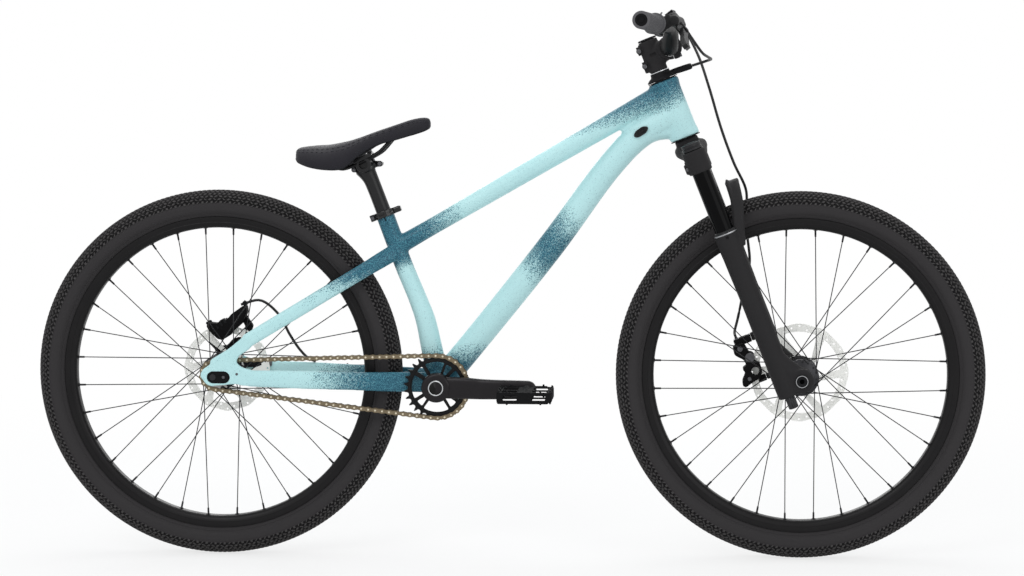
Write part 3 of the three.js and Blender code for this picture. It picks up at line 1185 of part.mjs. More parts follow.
const rearCaliperShares = [[-0.52, -0.16], [-0.47, 0.18], [-0.3, 0.27], [0.3, 0.27], [0.48, 0.24],
  [0.64, 0.31],
  [0.75, 0.24], [0.72, 0.12], [0.56, 0.02], [0.5, -0.2], [0.2, -0.3], [-0.3, -0.3]];
const rearCaliperHeight = rearRotorRadius * 1.01;
const toRearCaliper = new THREE.Matrix4().makeRotationY(-rad(rearCaliperTilt)).setPosition(at(rearX, 0,
  axleHeight + rearCaliperHeight));
const rearCaliperInner = rearRotorPlane - caliperWidth * 0.54;
const rearCaliperOuter = rearRotorPlane + caliperWidth * 0.32;
const bracketShares = [[0.17, 1.24], [0.35, 1.29], [0.62, 0.74], [0.53, 0.56], [0.4, 0.63], [0.24, 0.9]];
const rearCaliper = cut(
  join(plate(rearCaliperShares.map(([along, up]) => [along * rearCaliperLength, up * rearCaliperLength]),
    rearCaliperInner, rearCaliperOuter)
    .transform(toSteps(toRearCaliper)),
  plate(bracketShares.map(([fore, up]) => [rearX + fore * rearRotorRadius,
    axleHeight + up * rearRotorRadius]),
    rearRotorPlane + rotorSlot * 0.8, dropoutInner - 2 * clearance)),
  drum(rearRotorRadius + rotorSlot, rearRotorPlane - rotorSlot / 2, rearRotorPlane + rotorSlot / 2, 32,
    rearX, axleHeight));
addPiece(bike, 'rear_caliper', rearCaliper, '#1e1e20', 0.4, 0.5);

// Brake hoses, each through hand-placed points as shares of the length it spans
const leverPoint = (side, along, back, up) => {
  const point = at(along, back, up).applyMatrix4(toLever);
  return point.setY(side * point.y);
};
const leverMouth = (side, out) => leverPoint(side, reservoirInner - out * hoseRadius, -leverFore,
  -reservoirRadius);
const upperHoseShares = [[0.76, -0.92, 1.2], [0.82, -0.66, 1.1], [0.86, -0.3, 1.04], [0.8, -0.08, 1.04],
  [0.62, 0, 1.05]];
const upperHose = hose([leverMouth(-1, 0.2), leverMouth(-1, 4),
  ...upperHoseShares.map(([fore, side, up]) => at(headTubeLength * fore, headTubeLength * side,
    headTubeLength * up)),
  at(snoutReach + clearance, 0, coverLow + snoutRise * 0.6)], 20);
addPiece(steering, 'rear_hose_upper', upperHose, '#1b1b1c', 0.6);

const legFace = legHalfSpacing + legRadius;
const frontHoseShares = [[0.17, 1.048, 0.24], [0.178, 0.496, 0.12], [0.15, 0.331, -0.06],
  [0.143, 0.303, -0.2], [0.143, 0.496, -0.27], [0.11, 0.965, -0.36],
  [0.08, 1.059, -0.45], [0.05, 1.048, -0.55], [-0.01, 1.048, -0.64], [-0.07, 0.882, -0.73],
  [-0.1, 0.634, -0.77]];
const frontHose = hose([leverMouth(1, 0.2), leverMouth(1, 4),
  ...frontHoseShares.map(([fore, side, up]) => at(forkLength * fore, legFace * side, forkLength * up)),
  ...[3, 0].map((above) => at(onCaliper(-0.56, 0)[0], padOuter - hoseRadius * 2,
    bossHeights[0] + caliperArm / 2 + 2 * clearance + above * hoseRadius))], 32);
addPiece(steering, 'front_brake_hose', frontHose, '#1b1b1c', 0.6);

const rearHoseShares = [[0.41, 0.14, 0.0312], [0.376, 0.144, 0.045], [0.335, 0.148, 0.085],
  [0.29, 0.132, 0.16],
  [0.247, 0.125, 0.245], [0.16, 0.124, 0.314], [0.0698, 0.124, 0.2945]];
const rearHose = hose(rearHoseShares.map(([fore, side, up]) => at(
  rearX + chainstayLength * fore, chainstayLength * side, axleHeight + chainstayLength * up)), 16);
addPiece(bike, 'rear_brake_hose', rearHose, '#1b1b1c', 0.6);

export default bike;
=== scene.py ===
"""Dresses the packed dirt jump bicycle: painted frame, knobbed tyres, laced wheels, chain and cables.
Sizes in the code are millimetres unless a name says otherwise, and each piece is made where it sits."""

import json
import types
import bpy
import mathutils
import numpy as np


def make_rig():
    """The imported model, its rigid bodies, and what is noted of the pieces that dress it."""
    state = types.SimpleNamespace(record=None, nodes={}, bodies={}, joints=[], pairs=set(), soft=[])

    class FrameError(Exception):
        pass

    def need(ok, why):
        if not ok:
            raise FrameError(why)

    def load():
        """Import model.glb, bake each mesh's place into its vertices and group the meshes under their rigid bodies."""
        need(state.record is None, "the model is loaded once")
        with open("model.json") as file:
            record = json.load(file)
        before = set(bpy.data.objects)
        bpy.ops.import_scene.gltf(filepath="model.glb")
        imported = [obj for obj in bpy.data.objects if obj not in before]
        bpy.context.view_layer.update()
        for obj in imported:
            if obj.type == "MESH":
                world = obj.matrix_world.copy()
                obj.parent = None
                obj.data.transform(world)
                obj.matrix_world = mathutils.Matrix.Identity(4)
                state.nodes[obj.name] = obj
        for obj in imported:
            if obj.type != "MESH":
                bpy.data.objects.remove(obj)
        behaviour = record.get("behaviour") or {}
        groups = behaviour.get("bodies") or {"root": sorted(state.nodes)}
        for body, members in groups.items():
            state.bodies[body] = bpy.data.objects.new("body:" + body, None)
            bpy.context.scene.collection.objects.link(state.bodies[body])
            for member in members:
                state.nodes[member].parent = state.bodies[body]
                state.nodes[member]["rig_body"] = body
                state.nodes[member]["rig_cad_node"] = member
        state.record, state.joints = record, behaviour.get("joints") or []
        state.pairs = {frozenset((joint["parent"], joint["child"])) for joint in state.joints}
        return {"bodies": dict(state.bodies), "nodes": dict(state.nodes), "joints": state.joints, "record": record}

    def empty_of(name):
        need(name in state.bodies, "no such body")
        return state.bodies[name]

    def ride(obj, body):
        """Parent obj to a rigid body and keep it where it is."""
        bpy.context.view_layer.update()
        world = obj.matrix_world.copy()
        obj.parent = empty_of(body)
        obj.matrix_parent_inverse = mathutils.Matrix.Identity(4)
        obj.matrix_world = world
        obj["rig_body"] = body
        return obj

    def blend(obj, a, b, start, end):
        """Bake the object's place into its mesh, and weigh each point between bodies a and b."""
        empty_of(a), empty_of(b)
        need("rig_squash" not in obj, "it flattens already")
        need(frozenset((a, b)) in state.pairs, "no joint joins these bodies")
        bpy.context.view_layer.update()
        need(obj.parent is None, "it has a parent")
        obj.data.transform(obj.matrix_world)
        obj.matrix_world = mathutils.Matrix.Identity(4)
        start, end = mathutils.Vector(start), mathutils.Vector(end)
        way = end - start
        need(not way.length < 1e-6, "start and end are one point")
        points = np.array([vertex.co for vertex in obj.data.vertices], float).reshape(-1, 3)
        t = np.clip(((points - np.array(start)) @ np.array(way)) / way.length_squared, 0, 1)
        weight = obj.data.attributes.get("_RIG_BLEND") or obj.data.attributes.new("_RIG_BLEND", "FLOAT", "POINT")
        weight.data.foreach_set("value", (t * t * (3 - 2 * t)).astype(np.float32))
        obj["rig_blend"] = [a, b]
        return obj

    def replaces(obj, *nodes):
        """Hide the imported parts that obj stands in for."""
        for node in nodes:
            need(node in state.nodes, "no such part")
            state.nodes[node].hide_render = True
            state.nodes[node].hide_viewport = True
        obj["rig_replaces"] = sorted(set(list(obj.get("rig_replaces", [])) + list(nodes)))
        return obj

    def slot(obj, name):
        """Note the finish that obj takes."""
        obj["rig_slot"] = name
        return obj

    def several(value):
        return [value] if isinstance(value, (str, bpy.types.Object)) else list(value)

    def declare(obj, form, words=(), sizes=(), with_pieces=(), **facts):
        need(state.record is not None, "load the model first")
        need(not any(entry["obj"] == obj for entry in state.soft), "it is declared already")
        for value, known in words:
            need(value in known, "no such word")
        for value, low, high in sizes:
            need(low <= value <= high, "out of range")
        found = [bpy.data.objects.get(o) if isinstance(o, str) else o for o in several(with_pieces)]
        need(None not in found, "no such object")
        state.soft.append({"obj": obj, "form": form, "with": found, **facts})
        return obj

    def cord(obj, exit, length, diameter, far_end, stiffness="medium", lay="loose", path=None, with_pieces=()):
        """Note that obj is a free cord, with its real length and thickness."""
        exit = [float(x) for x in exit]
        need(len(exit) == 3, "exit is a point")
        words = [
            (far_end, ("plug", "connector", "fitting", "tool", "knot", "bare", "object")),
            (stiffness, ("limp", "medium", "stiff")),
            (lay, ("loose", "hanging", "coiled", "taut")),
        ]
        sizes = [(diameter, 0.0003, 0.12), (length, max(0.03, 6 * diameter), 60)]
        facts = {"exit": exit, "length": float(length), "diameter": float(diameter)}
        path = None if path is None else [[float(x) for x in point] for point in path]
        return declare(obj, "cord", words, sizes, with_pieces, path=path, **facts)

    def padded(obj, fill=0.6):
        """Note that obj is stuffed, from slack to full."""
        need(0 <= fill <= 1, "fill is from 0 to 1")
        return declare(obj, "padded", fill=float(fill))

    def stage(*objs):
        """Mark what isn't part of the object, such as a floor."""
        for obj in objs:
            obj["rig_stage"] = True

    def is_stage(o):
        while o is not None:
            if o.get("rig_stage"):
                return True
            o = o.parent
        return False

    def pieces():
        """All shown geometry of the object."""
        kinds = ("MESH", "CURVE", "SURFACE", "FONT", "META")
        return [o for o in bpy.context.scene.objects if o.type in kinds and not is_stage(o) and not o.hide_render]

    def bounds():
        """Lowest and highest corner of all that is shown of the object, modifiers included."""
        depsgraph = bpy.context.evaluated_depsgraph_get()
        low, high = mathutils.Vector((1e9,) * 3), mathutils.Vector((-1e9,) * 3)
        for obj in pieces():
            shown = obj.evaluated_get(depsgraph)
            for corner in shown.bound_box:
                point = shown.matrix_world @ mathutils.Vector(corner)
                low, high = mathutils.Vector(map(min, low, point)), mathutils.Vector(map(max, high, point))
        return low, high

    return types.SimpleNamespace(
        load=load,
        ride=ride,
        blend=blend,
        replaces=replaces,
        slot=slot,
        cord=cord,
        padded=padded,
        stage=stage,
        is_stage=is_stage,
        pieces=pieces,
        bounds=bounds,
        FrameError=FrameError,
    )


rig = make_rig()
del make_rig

bl_info = {
    "name": "Dirt Jump Bicycle",
    "version": (1, 0, 0),
    "blender": (4, 5, 0),
    "location": "View3D > Sidebar > Bicycle",
    "description": "Makes the finished pieces and the studio of a dirt jump bicycle",
    "category": "Object",
}

import json
import math
import sys

import bmesh
import bpy
import numpy as np
from mathutils import Matrix, Vector
from mathutils.geometry import tessellate_polygon

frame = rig.load()
cad_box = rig.bounds()

# The bicycle's main sizes
WHEELBASE = 1057
STAY_LONG, HEAD_LONG, FORK_LONG = 402.1, 109.5, 477
TYRE_RADIUS = 334
REAR = Vector((-WHEELBASE / 2, 0, TYRE_RADIUS))
FRONT = Vector((WHEELBASE / 2, 0, TYRE_RADIUS))
BRACKET_DROP = 19
BRACKET = Vector((REAR.x + math.sqrt(STAY_LONG**2 - BRACKET_DROP**2), 0, TYRE_RADIUS - BRACKET_DROP))
HEAD_ANGLE = math.radians(68.4)
SEAT_ANGLE = math.radians(69.2)
STEER_UP = Vector((-math.cos(HEAD_ANGLE), 0, math.sin(HEAD_ANGLE)))
STEER_FORE = Vector((math.sin(HEAD_ANGLE), 0, math.cos(HEAD_ANGLE)))
HEAD_LOW = FRONT + STEER_UP * FORK_LONG - STEER_FORE * 35.6
SEAT_UP = Vector((-math.cos(SEAT_ANGLE), 0, math.sin(SEAT_ANGLE)))
SEAT_TOP = BRACKET + Vector((-96.5, 0, 303))
CHAINLINE = 45
FULL = 2 * math.pi


def frame_of(across, side, up, origin):
    place = Matrix.Identity(4)
    for i, axis in enumerate((across, side, up)):
        place[0][i], place[1][i], place[2][i] = axis
    place.translation = origin
    return place


SIDE = Vector((0, 1, 0))
STEER = frame_of(STEER_FORE, SIDE, STEER_UP, HEAD_LOW)
SEAT = frame_of(Vector((SEAT_UP.z, 0, -SEAT_UP.x)), SIDE, SEAT_UP, SEAT_TOP)
HERE = Matrix.Identity(4)


def along_y(x, z, y=0, within=HERE):
    """A frame whose own Z runs to the rider's left, at this place."""
    return within @ Matrix.Translation((x, y, z)) @ Matrix.Rotation(-math.pi / 2, 4, "X")


def facing(point, direction, within=HERE):
    """A frame whose own Z points along a direction, at this place."""
    turn = Vector(direction).to_track_quat("Z", "Y").to_matrix().to_4x4()
    return within @ Matrix.Translation(point) @ turn


def tilted(degrees):
    """A turn about the bicycle's own Y that lifts what lies in front."""
    return Matrix.Rotation(-math.radians(degrees), 4, "Y")


AT_BRACKET = along_y(BRACKET.x, BRACKET.z)
AT_REAR = along_y(REAR.x, REAR.z)


# Shape tools
class Form:
    """The points and faces of one piece, each face with the number of its finish."""

    def __init__(self, place=HERE):
        self.points, self.faces, self.finish, self.place = [], [], [], place

    def put(self, points, faces, finish=0):
        start = len(self.points)
        self.points += [self.place @ Vector(p) for p in points]
        self.faces += [tuple(start + i for i in face) for face in faces]
        self.finish += [finish] * len(faces)
        return self

    def at(self, place):
        self.place = place
        return self

    def skin(self, rings, loop=False, caps=True, finish=0):
        sides = len(rings[0])
        points = [p for ring in rings for p in ring]
        faces = []
        for i in range(len(rings) if loop else len(rings) - 1):
            low, high = i * sides, ((i + 1) % len(rings)) * sides
            for j in range(sides):
                k = (j + 1) % sides
                faces.append((low + j, low + k, high + k, high + j))
        if not loop and caps:
            faces.append(tuple(range(sides - 1, -1, -1)))
            faces.append(tuple((len(rings) - 1) * sides + j for j in range(sides)))
        return self.put(points, faces, finish)

    def lathe(self, profile, sides=48, loop=False, finish=0, side=1):
        """Turns rows of radius and height about the frame's own Z; side -1 turns the heights over."""
        rings = []
        for radius, height in profile:
            radius = max(radius, 0.02)
            rings.append([(radius * math.cos(FULL * j / sides), radius * math.sin(FULL * j / sides),
                side * height) for j in range(sides)])
        return self.skin(rings, loop=loop, finish=finish)

    def tube(self, rows, sides=24, across=(0, 1, 0), square=1.0, loop=False, caps=True, finish=0):
        """Carries an oval along rows of x, y, z, width and height; the width lies along `across`."""
        rows = [tuple(row) + (row[3],) if len(row) == 4 else tuple(row) for row in rows]
        spots = [Vector(row[:3]) for row in rows]
        across, rings, count = Vector(across), [], len(rows)
        for i, row in enumerate(rows):
            before = spots[(i - 1) % count] if loop else spots[max(i - 1, 0)]
            after = spots[(i + 1) % count] if loop else spots[min(i + 1, count - 1)]
            along = (after - before).normalized()
            side = (across - along * across.dot(along)).normalized()
            up = along.cross(side)
            ring = []
            for j in range(sides):
                c, s = math.cos(FULL * j / sides), math.sin(FULL * j / sides)
                c, s = math.copysign(abs(c) ** square, c), math.copysign(abs(s) ** square, s)
                ring.append(spots[i] + side * (c * row[3] / 2) + up * (s * row[4] / 2))
            rings.append(ring)
        return self.skin(rings, loop=loop, caps=caps, finish=finish)

    def plate(self, outline, y0, y1, holes=(), finish=0):
        """A flat shape drawn in X and Z, from one Y to the other, with its holes."""
        y0, y1 = sorted((y0, y1))
        loops = [list(outline)] + [list(hole) for hole in holes]
        corners = [p for loop in loops for p in loop]
        total = len(corners)
        points = [(x, y0, z) for x, z in corners] + [(x, y1, z) for x, z in corners]
        faces = []
        for a, b, c in tessellate_polygon([[Vector((x, z, 0)) for x, z in loop] for loop in loops]):
            faces += [(a, b, c), (a + total, c + total, b + total)]
        start = 0
        for loop in loops:
            for i in range(len(loop)):
                j = (i + 1) % len(loop)
                faces.append((start + i, start + j, start + j + total, start + i + total))
            start += len(loop)
        return self.put(points, faces, finish)

    def block(self, corner, opposite, finish=0):
        (x0, x1), (y0, y1), (z0, z1) = (sorted(pair) for pair in zip(corner, opposite))
        points = [(x, y, z) for x in (x0, x1) for y in (y0, y1) for z in (z0, z1)]
        faces = [(0, 1, 3, 2), (4, 6, 7, 5), (0, 4, 5, 1), (2, 3, 7, 6), (0, 2, 6, 4), (1, 5, 7, 3)]
        return self.put(points, faces, finish)

    def bolt(self, point, direction, radius=4, height=4, within=HERE, finish=0):
        """A round screw head with its hexagon socket."""
        keep, self.place = self.place, facing(point, direction, within)
        r, h, s = radius, height, radius * 0.52
        self.lathe([(r * 0.96, 0), (r, h * 0.2), (r, h * 0.8), (r * 0.86, h), (s * 1.06, h)], 20,
            finish=finish)
        hexagon = [(s * math.cos(FULL * k / 6), s * math.sin(FULL * k / 6)) for k in range(6)]
        rings = [[(x * 1.06, y * 1.06, h * 1.02) for x, y in hexagon],
            [(x, y, h * 1.02) for x, y in hexagon], [(x, y, h * 0.35) for x, y in hexagon]]
        self.skin(rings, finish=finish)
        self.place = keep
        return self


def arc(x, z, radius, start, end, steps):
    """Points on an arc, from one angle in degrees to another."""
    turns = [math.radians(start + (end - start) * i / steps) for i in range(steps + 1)]
    return [(x + radius * math.cos(t), z + radius * math.sin(t)) for t in turns]


def ring(x, z, radius, steps=24):
    return arc(x, z, radius, 0, 360 - 360 / steps, steps - 1)


def flow(rows, steps, loop=False):
    """A smooth line through rows of numbers, with this many points between each pair."""
    rows = np.array(rows, float)
    count = len(rows)
    spans = count if loop else count - 1
    out = []
    for i in range(spans):
        if loop:
            a, b, c, d = (rows[(i + k) % count] for k in (-1, 0, 1, 2))
        else:
            b, c = rows[i], rows[i + 1]
            a = rows[i - 1] if i else 2 * b - c
            d = rows[i + 2] if i + 2 < count else 2 * c - b
        t1 = max(np.linalg.norm((b - a)[:3]), 1e-6) ** 0.5
        t2 = max(np.linalg.norm((c - b)[:3]), 1e-6) ** 0.5
        t3 = max(np.linalg.norm((d - c)[:3]), 1e-6) ** 0.5
        m1 = (c - b) + t2 * ((b - a) / t1 - (c - a) / (t1 + t2))
        m2 = (c - b) + t2 * ((d - c) / t3 - (d - b) / (t2 + t3))
        for k in range(steps):
            u = k / steps
            out.append((2 * u**3 - 3 * u**2 + 1) * b + (u**3 - 2 * u**2 + u) * m1
                       + (3 * u**2 - 2 * u**3) * c + (u**3 - u**2) * m2)
    if not loop:
        out.append(rows[-1])
    return [tuple(row) for row in out]


def mirror_rows(rows):
    """The same rows on the other side of the bicycle."""
    return [(row[0], -row[1], *row[2:]) for row in rows]


def make(form, name, finishes, body, stands_for="", slot=None, crease=32, bevel=0):
    """Turns a form into an object in metres that rides on a body and stands for the nodes named."""
    mesh = bpy.data.meshes.new(name)
    mesh.from_pydata([tuple(p * 0.001) for p in form.points], [], form.faces)
    for item in [finishes] if isinstance(finishes, str) else finishes:
        mesh.materials.append(finish(item) if isinstance(item, str) else item)
    mesh.polygons.foreach_set("material_index", form.finish)
    shaped = bmesh.new()
    shaped.from_mesh(mesh)
    bmesh.ops.recalc_face_normals(shaped, faces=shaped.faces)
    shaped.to_mesh(mesh)
    shaped.free()
    piece = bpy.data.objects.new(name, mesh)
    bpy.context.scene.collection.objects.link(piece)
    if bevel:
        edge = piece.modifiers.new("rounded edges", "BEVEL")
        edge.width, edge.segments, edge.harden_normals = bevel * 0.001, 2, False
        edge.limit_method, edge.angle_limit = "ANGLE", math.radians(40)
    shade_smooth(piece, crease)
    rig.ride(piece, body)
    if stands_for:
        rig.replaces(piece, *stands_for.split())
    if slot:
        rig.slot(piece, slot)
    return piece


def shade_smooth(piece, crease=None):
    """Shades a piece smooth; edges that turn more than the crease, in degrees, stay sharp."""
    piece.data.polygons.foreach_set("use_smooth", [True] * len(piece.data.polygons))
    if crease is not None:
        piece.data.set_sharp_from_angle(angle=math.radians(crease))


def apply_modifiers(piece):
    """Puts what a piece's modifiers make into its mesh."""
    bpy.context.view_layer.update()
    shown = piece.evaluated_get(bpy.context.evaluated_depsgraph_get())
    made = bpy.data.meshes.new_from_object(shown)
    piece.modifiers.clear()
    old, piece.data = piece.data, made
    bpy.data.meshes.remove(old)


def melt(piece, voxel, passes):
    """Melts a piece's parts into one skin, on a grid of this size in metres, with soft joints."""
    blob = piece.modifiers.new("melt", "REMESH")
    blob.mode, blob.voxel_size, blob.use_smooth_shade = "VOXEL", voxel, True
    apply_modifiers(piece)
    ease = piece.modifiers.new("ease", "SMOOTH")
    ease.factor, ease.iterations = 0.5, passes
    apply_modifiers(piece)
    shade_smooth(piece)


def carve(piece, *tools, crossed=False):
    """Cuts forms out of a piece, whose own parts may cross."""
    for tool in tools:
        cutter = make(tool, "cutter", (), "frame")
        whole = piece.data.copy()
        for solver in ("EXACT", "FAST"):
            cut = piece.modifiers.new("cut", "BOOLEAN")
            cut.operation, cut.solver, cut.object, cut.use_self = "DIFFERENCE", solver, cutter, crossed
            apply_modifiers(piece)
            # A cut that takes most of the piece away went wrong, and is made again the other way
            if len(piece.data.vertices) > len(whole.vertices) * 0.4:
                break
            piece.data = whole.copy()
        bpy.data.meshes.remove(whole)
        bpy.data.objects.remove(cutter)
    shade_smooth(piece, 42)


# Finishes
FINISHES = {}
# Hard ones: screen colour, roughness, metallic, scale of the grain, its depth in metres,
# wear and painted highlight at edges, dust, specular level and clear coat
HARD = {
    "satin_black": ((38, 37, 38), 0.62, 0.0, 1300.0, 0.00003, 0.2, 0.12, 0.12),
    "alloy_black": ((22, 22, 24), 0.62, 0.0, 1500.0, 0.00002, 0.4, 0.12, 0.1),
    "moulded_black": ((24, 24, 25), 0.84, 0.0, 700.0, 0.00006, 0.2, 0.12, 0.05),
    "gloss_black": ((10, 10, 11), 0.12, 0.3, 300.0, 0.000002, 0.1, 0.04, 0.24, 0.5),
    "bolt_steel": ((92, 92, 95), 0.32, 0.85, 1600.0, 0.00002, 0.5),
    "bright_steel": ((198, 200, 202), 0.26, 0.9, 1800.0, 0.00001, 0.2),
    "hose_black": ((30, 30, 31), 0.42, 0.0, 900.0, 0.00003, 0.15),
    "rim_black": ((20, 19, 20), 0.4, 0.4, 1400.0, 0.00002, 0.3),
    "spoke_black": ((40, 40, 42), 0.35, 0.4, 1600.0, 0.00001, 0.2),
    "nipple_black": ((28, 28, 30), 0.35, 0.5),
    "rotor_steel": ((250, 249, 244), 0.5, 0.05, 2200.0, 0.000008, 0.1, 0.05),
    "axle_black": ((46, 46, 48), 0.35, 0.6, 1500.0, 0.00002),
    "axle_dark": ((40, 40, 43), 0.4, 0.4),
    "chain_bronze": ((112, 100, 80), 0.34, 0.6, 1500.0, 0.00002, 0.6, 0.1),
    "chain_pin": ((206, 196, 174), 0.3, 0.6, 1500.0, 0.00001),
    "chain_roller": ((58, 52, 42), 0.4, 0.6, 1200.0, 0.00002),
    "ring_black": ((18, 18, 19), 0.38, 0.5, 1500.0, 0.00002, 0.5),
    "cog_steel": ((150, 148, 144), 0.3, 0.85, 1500.0, 0.00002),
    "crank_black": ((30, 28, 30), 0.32, 0.4, 1500.0, 0.00002, 0.5),
    "post_black": ((28, 28, 29), 0.26, 0.1, 1500.0, 0.00001, 0.3),
    "rail_black": ((22, 22, 23), 0.28, 0.6, 1600.0, 0.00001),
    "thread": ((44, 43, 48), 0.6, 0.0, 2500.0),
    "cap_grey": ((34, 34, 36), 0.42, 0.2, 1500.0),
    "stanchion_gloss": ((4, 4, 5), 0.12, 0.0, 300.0, 0.000001, 0.05, 0.01, 0.07),
    "wiper_ring": ((150, 151, 153), 0.3, 0.8, 1500.0),
    # Its flute edges are painted much paler: wear and painted highlight stripes
    "knob_grey": ((52, 52, 54), 0.24, 0.7, 1500.0, 0.00001, 0.8),
    "bar_black": ((16, 16, 17), 0.42, 0.0, 1500.0, 0.00001, 0.1, 0.12, 0.1),
    "lever_black": ((18, 18, 19), 0.5, 0.1, 1500.0, 0.00001, 0.4),
    "caliper_black": ((20, 19, 20), 0.74, 0.0, 1500.0, 0.00002, 0.3, 0.12, 0.06),
}
# Rubbers: screen colour, roughness, scale of the grain and dust
RUBBERS = {
    "tyre_rubber": ((48, 46, 47), 0.8, 520.0, 0.16),
    "tread_rubber": ((60, 58, 58), 0.86, 900.0, 0.4),
    # The grooves between blocks: a darker copy of the tyre rubber, as painted shade
    "groove_rubber": ((20, 19, 20), 0.9, 520.0, 0.05),
    "soft_rubber": ((30, 30, 31), 0.6, 520.0, 0.1),
    "wiper_rubber": ((28, 28, 29), 0.6, 520.0, 0.2),
    "grip_rubber": ((84, 83, 85), 0.8, 900.0, 0.35),
}


def finish(name):
    """The finish of this name, made when it is first asked for."""
    if name not in FINISHES:
        if name in HARD:
            FINISHES[name] = coated(name, *HARD[name])
        elif name in RUBBERS:
            FINISHES[name] = rubber(name, *RUBBERS[name])
        else:
            FINISHES[name] = saddle_cover(name)
    return FINISHES[name]


def linear(value):
    return value / 12.92 if value <= 0.04045 else ((value + 0.055) / 1.055) ** 2.4


def tone(*colour):
    """A screen colour from 0 to 255 as the linear colour that the shader takes."""
    return (*(linear(value / 255) for value in colour), 1)


def paler(colour, lift):
    return (*(min(1, c * 1.5 + lift) for c in colour[:3]), 1)


class Nodes:
    """Short calls for wiring one material."""

    def __init__(self, name):
        self.material = bpy.data.materials.new(name)
        self.material.use_nodes = True
        self.tree = self.material.node_tree
        self.shader = self.tree.nodes["Principled BSDF"]
        self.place = self.add("ShaderNodeTexCoord").outputs["Object"]

    def add(self, kind, **settings):
        node = self.tree.nodes.new(kind)
        for key, value in settings.items():
            if key in node.inputs:
                self.feed(node.inputs[key], value)
            else:
                setattr(node, key, value)
        return node

    def feed(self, socket, value):
        if isinstance(value, bpy.types.NodeSocket):
            self.tree.links.new(value, socket)
        else:
            socket.default_value = value

    def noise(self, scale, detail=2.0, rough=0.5):
        return self.add("ShaderNodeTexNoise", Vector=self.place, Scale=scale, Detail=detail,
                        Roughness=rough).outputs["Fac"]

    def cells(self, scale, out="Distance"):
        return self.add("ShaderNodeTexVoronoi", feature="F1", Vector=self.place, Scale=scale).outputs[out]

    def sum(self, kind, a, b=0.0, c=None, clamp=False):
        node = self.add("ShaderNodeMath", operation=kind, use_clamp=clamp)
        for socket, value in zip(node.inputs, (a, b, c)):
            if value is not None:
                self.feed(socket, value)
        return node.outputs[0]

    def span(self, value, low, high, to_low=0.0, to_high=1.0, smooth=False):
        node = self.add("ShaderNodeMapRange", interpolation_type="SMOOTHSTEP" if smooth else "LINEAR",
            clamp=True)
        keys = ("Value", "From Min", "From Max", "To Min", "To Max")
        for key, item in zip(keys, (value, low, high, to_low, to_high)):
            self.feed(node.inputs[key], item)
        return node.outputs["Result"]

    def away(self, point):
        node = self.add("ShaderNodeVectorMath", operation="SUBTRACT")
        self.feed(node.inputs[0], self.place)
        node.inputs[1].default_value = point
        return node.outputs[0]

    def along(self, point, direction):
        """How far the surface lies from a point along a direction, in metres."""
        dot = self.add("ShaderNodeVectorMath", operation="DOT_PRODUCT")
        self.feed(dot.inputs[0], self.away(point))
        dot.inputs[1].default_value = Vector(direction).normalized()
        return dot.outputs["Value"]

    def blend(self, share, a, b):
        node = self.add("ShaderNodeMix", data_type="RGBA")
        self.feed(node.inputs["Factor"], share)
        self.feed(node.inputs[6], a)
        self.feed(node.inputs[7], b)
        return node.outputs[2]

    def emboss(self, height, distance, strength=1.0, normal=None):
        node = self.add("ShaderNodeBump", Height=height, Distance=distance, Strength=strength)
        if normal is not None:
            self.feed(node.inputs["Normal"], normal)
        return node.outputs["Normal"]

    def done(self, colour, roughness, metallic=0.0, normal=None, **fixed):
        sockets = {"Base Color": colour, "Roughness": roughness, "Metallic": metallic, "Normal": normal}
        for key, value in sockets.items():
            if value is not None:
                self.feed(self.shader.inputs[key], value)
        for key, value in fixed.items():
            self.shader.inputs[key.replace("_", " ")].default_value = value
        return self.material


def coated(name, colour, roughness, metallic, grain=900.0, depth=0.00004, worn=0.35, dust=0.12,
           level=0.24, coat=0.0):
    """A hard finish: fine grain, cloudy roughness, faint dust, edges paler with wear and painted highlight."""
    n = Nodes(name)
    base = tone(*colour)
    cloud, fine = n.noise(38.0, 4.0, 0.6), n.noise(grain, 2.0, 0.6)
    # Convex edges, found by pointiness, are painted paler: partly wear, partly a painted highlight
    edge = n.span(n.add("ShaderNodeNewGeometry").outputs["Pointiness"], 0.53, 0.62)
    rub = n.sum("MULTIPLY", edge, n.span(n.noise(220.0, 3.0), 0.35, 0.7, 0, worn))
    dusty = n.sum("MULTIPLY", n.span(cloud, 0.45, 0.75), dust)
    shade = n.blend(n.sum("MAXIMUM", rub, dusty), base, paler(base, 0.012))
    mixed = n.sum("ADD", n.sum("MULTIPLY", cloud, 0.7), n.sum("MULTIPLY", fine, 0.3))
    rough = n.span(mixed, 0.3, 0.7, max(0.02, roughness - 0.07), min(1, roughness + 0.09))
    return n.done(shade, rough, metallic, n.emboss(fine, depth, 0.6), Specular_IOR_Level=level,
        Coat_Weight=coat)


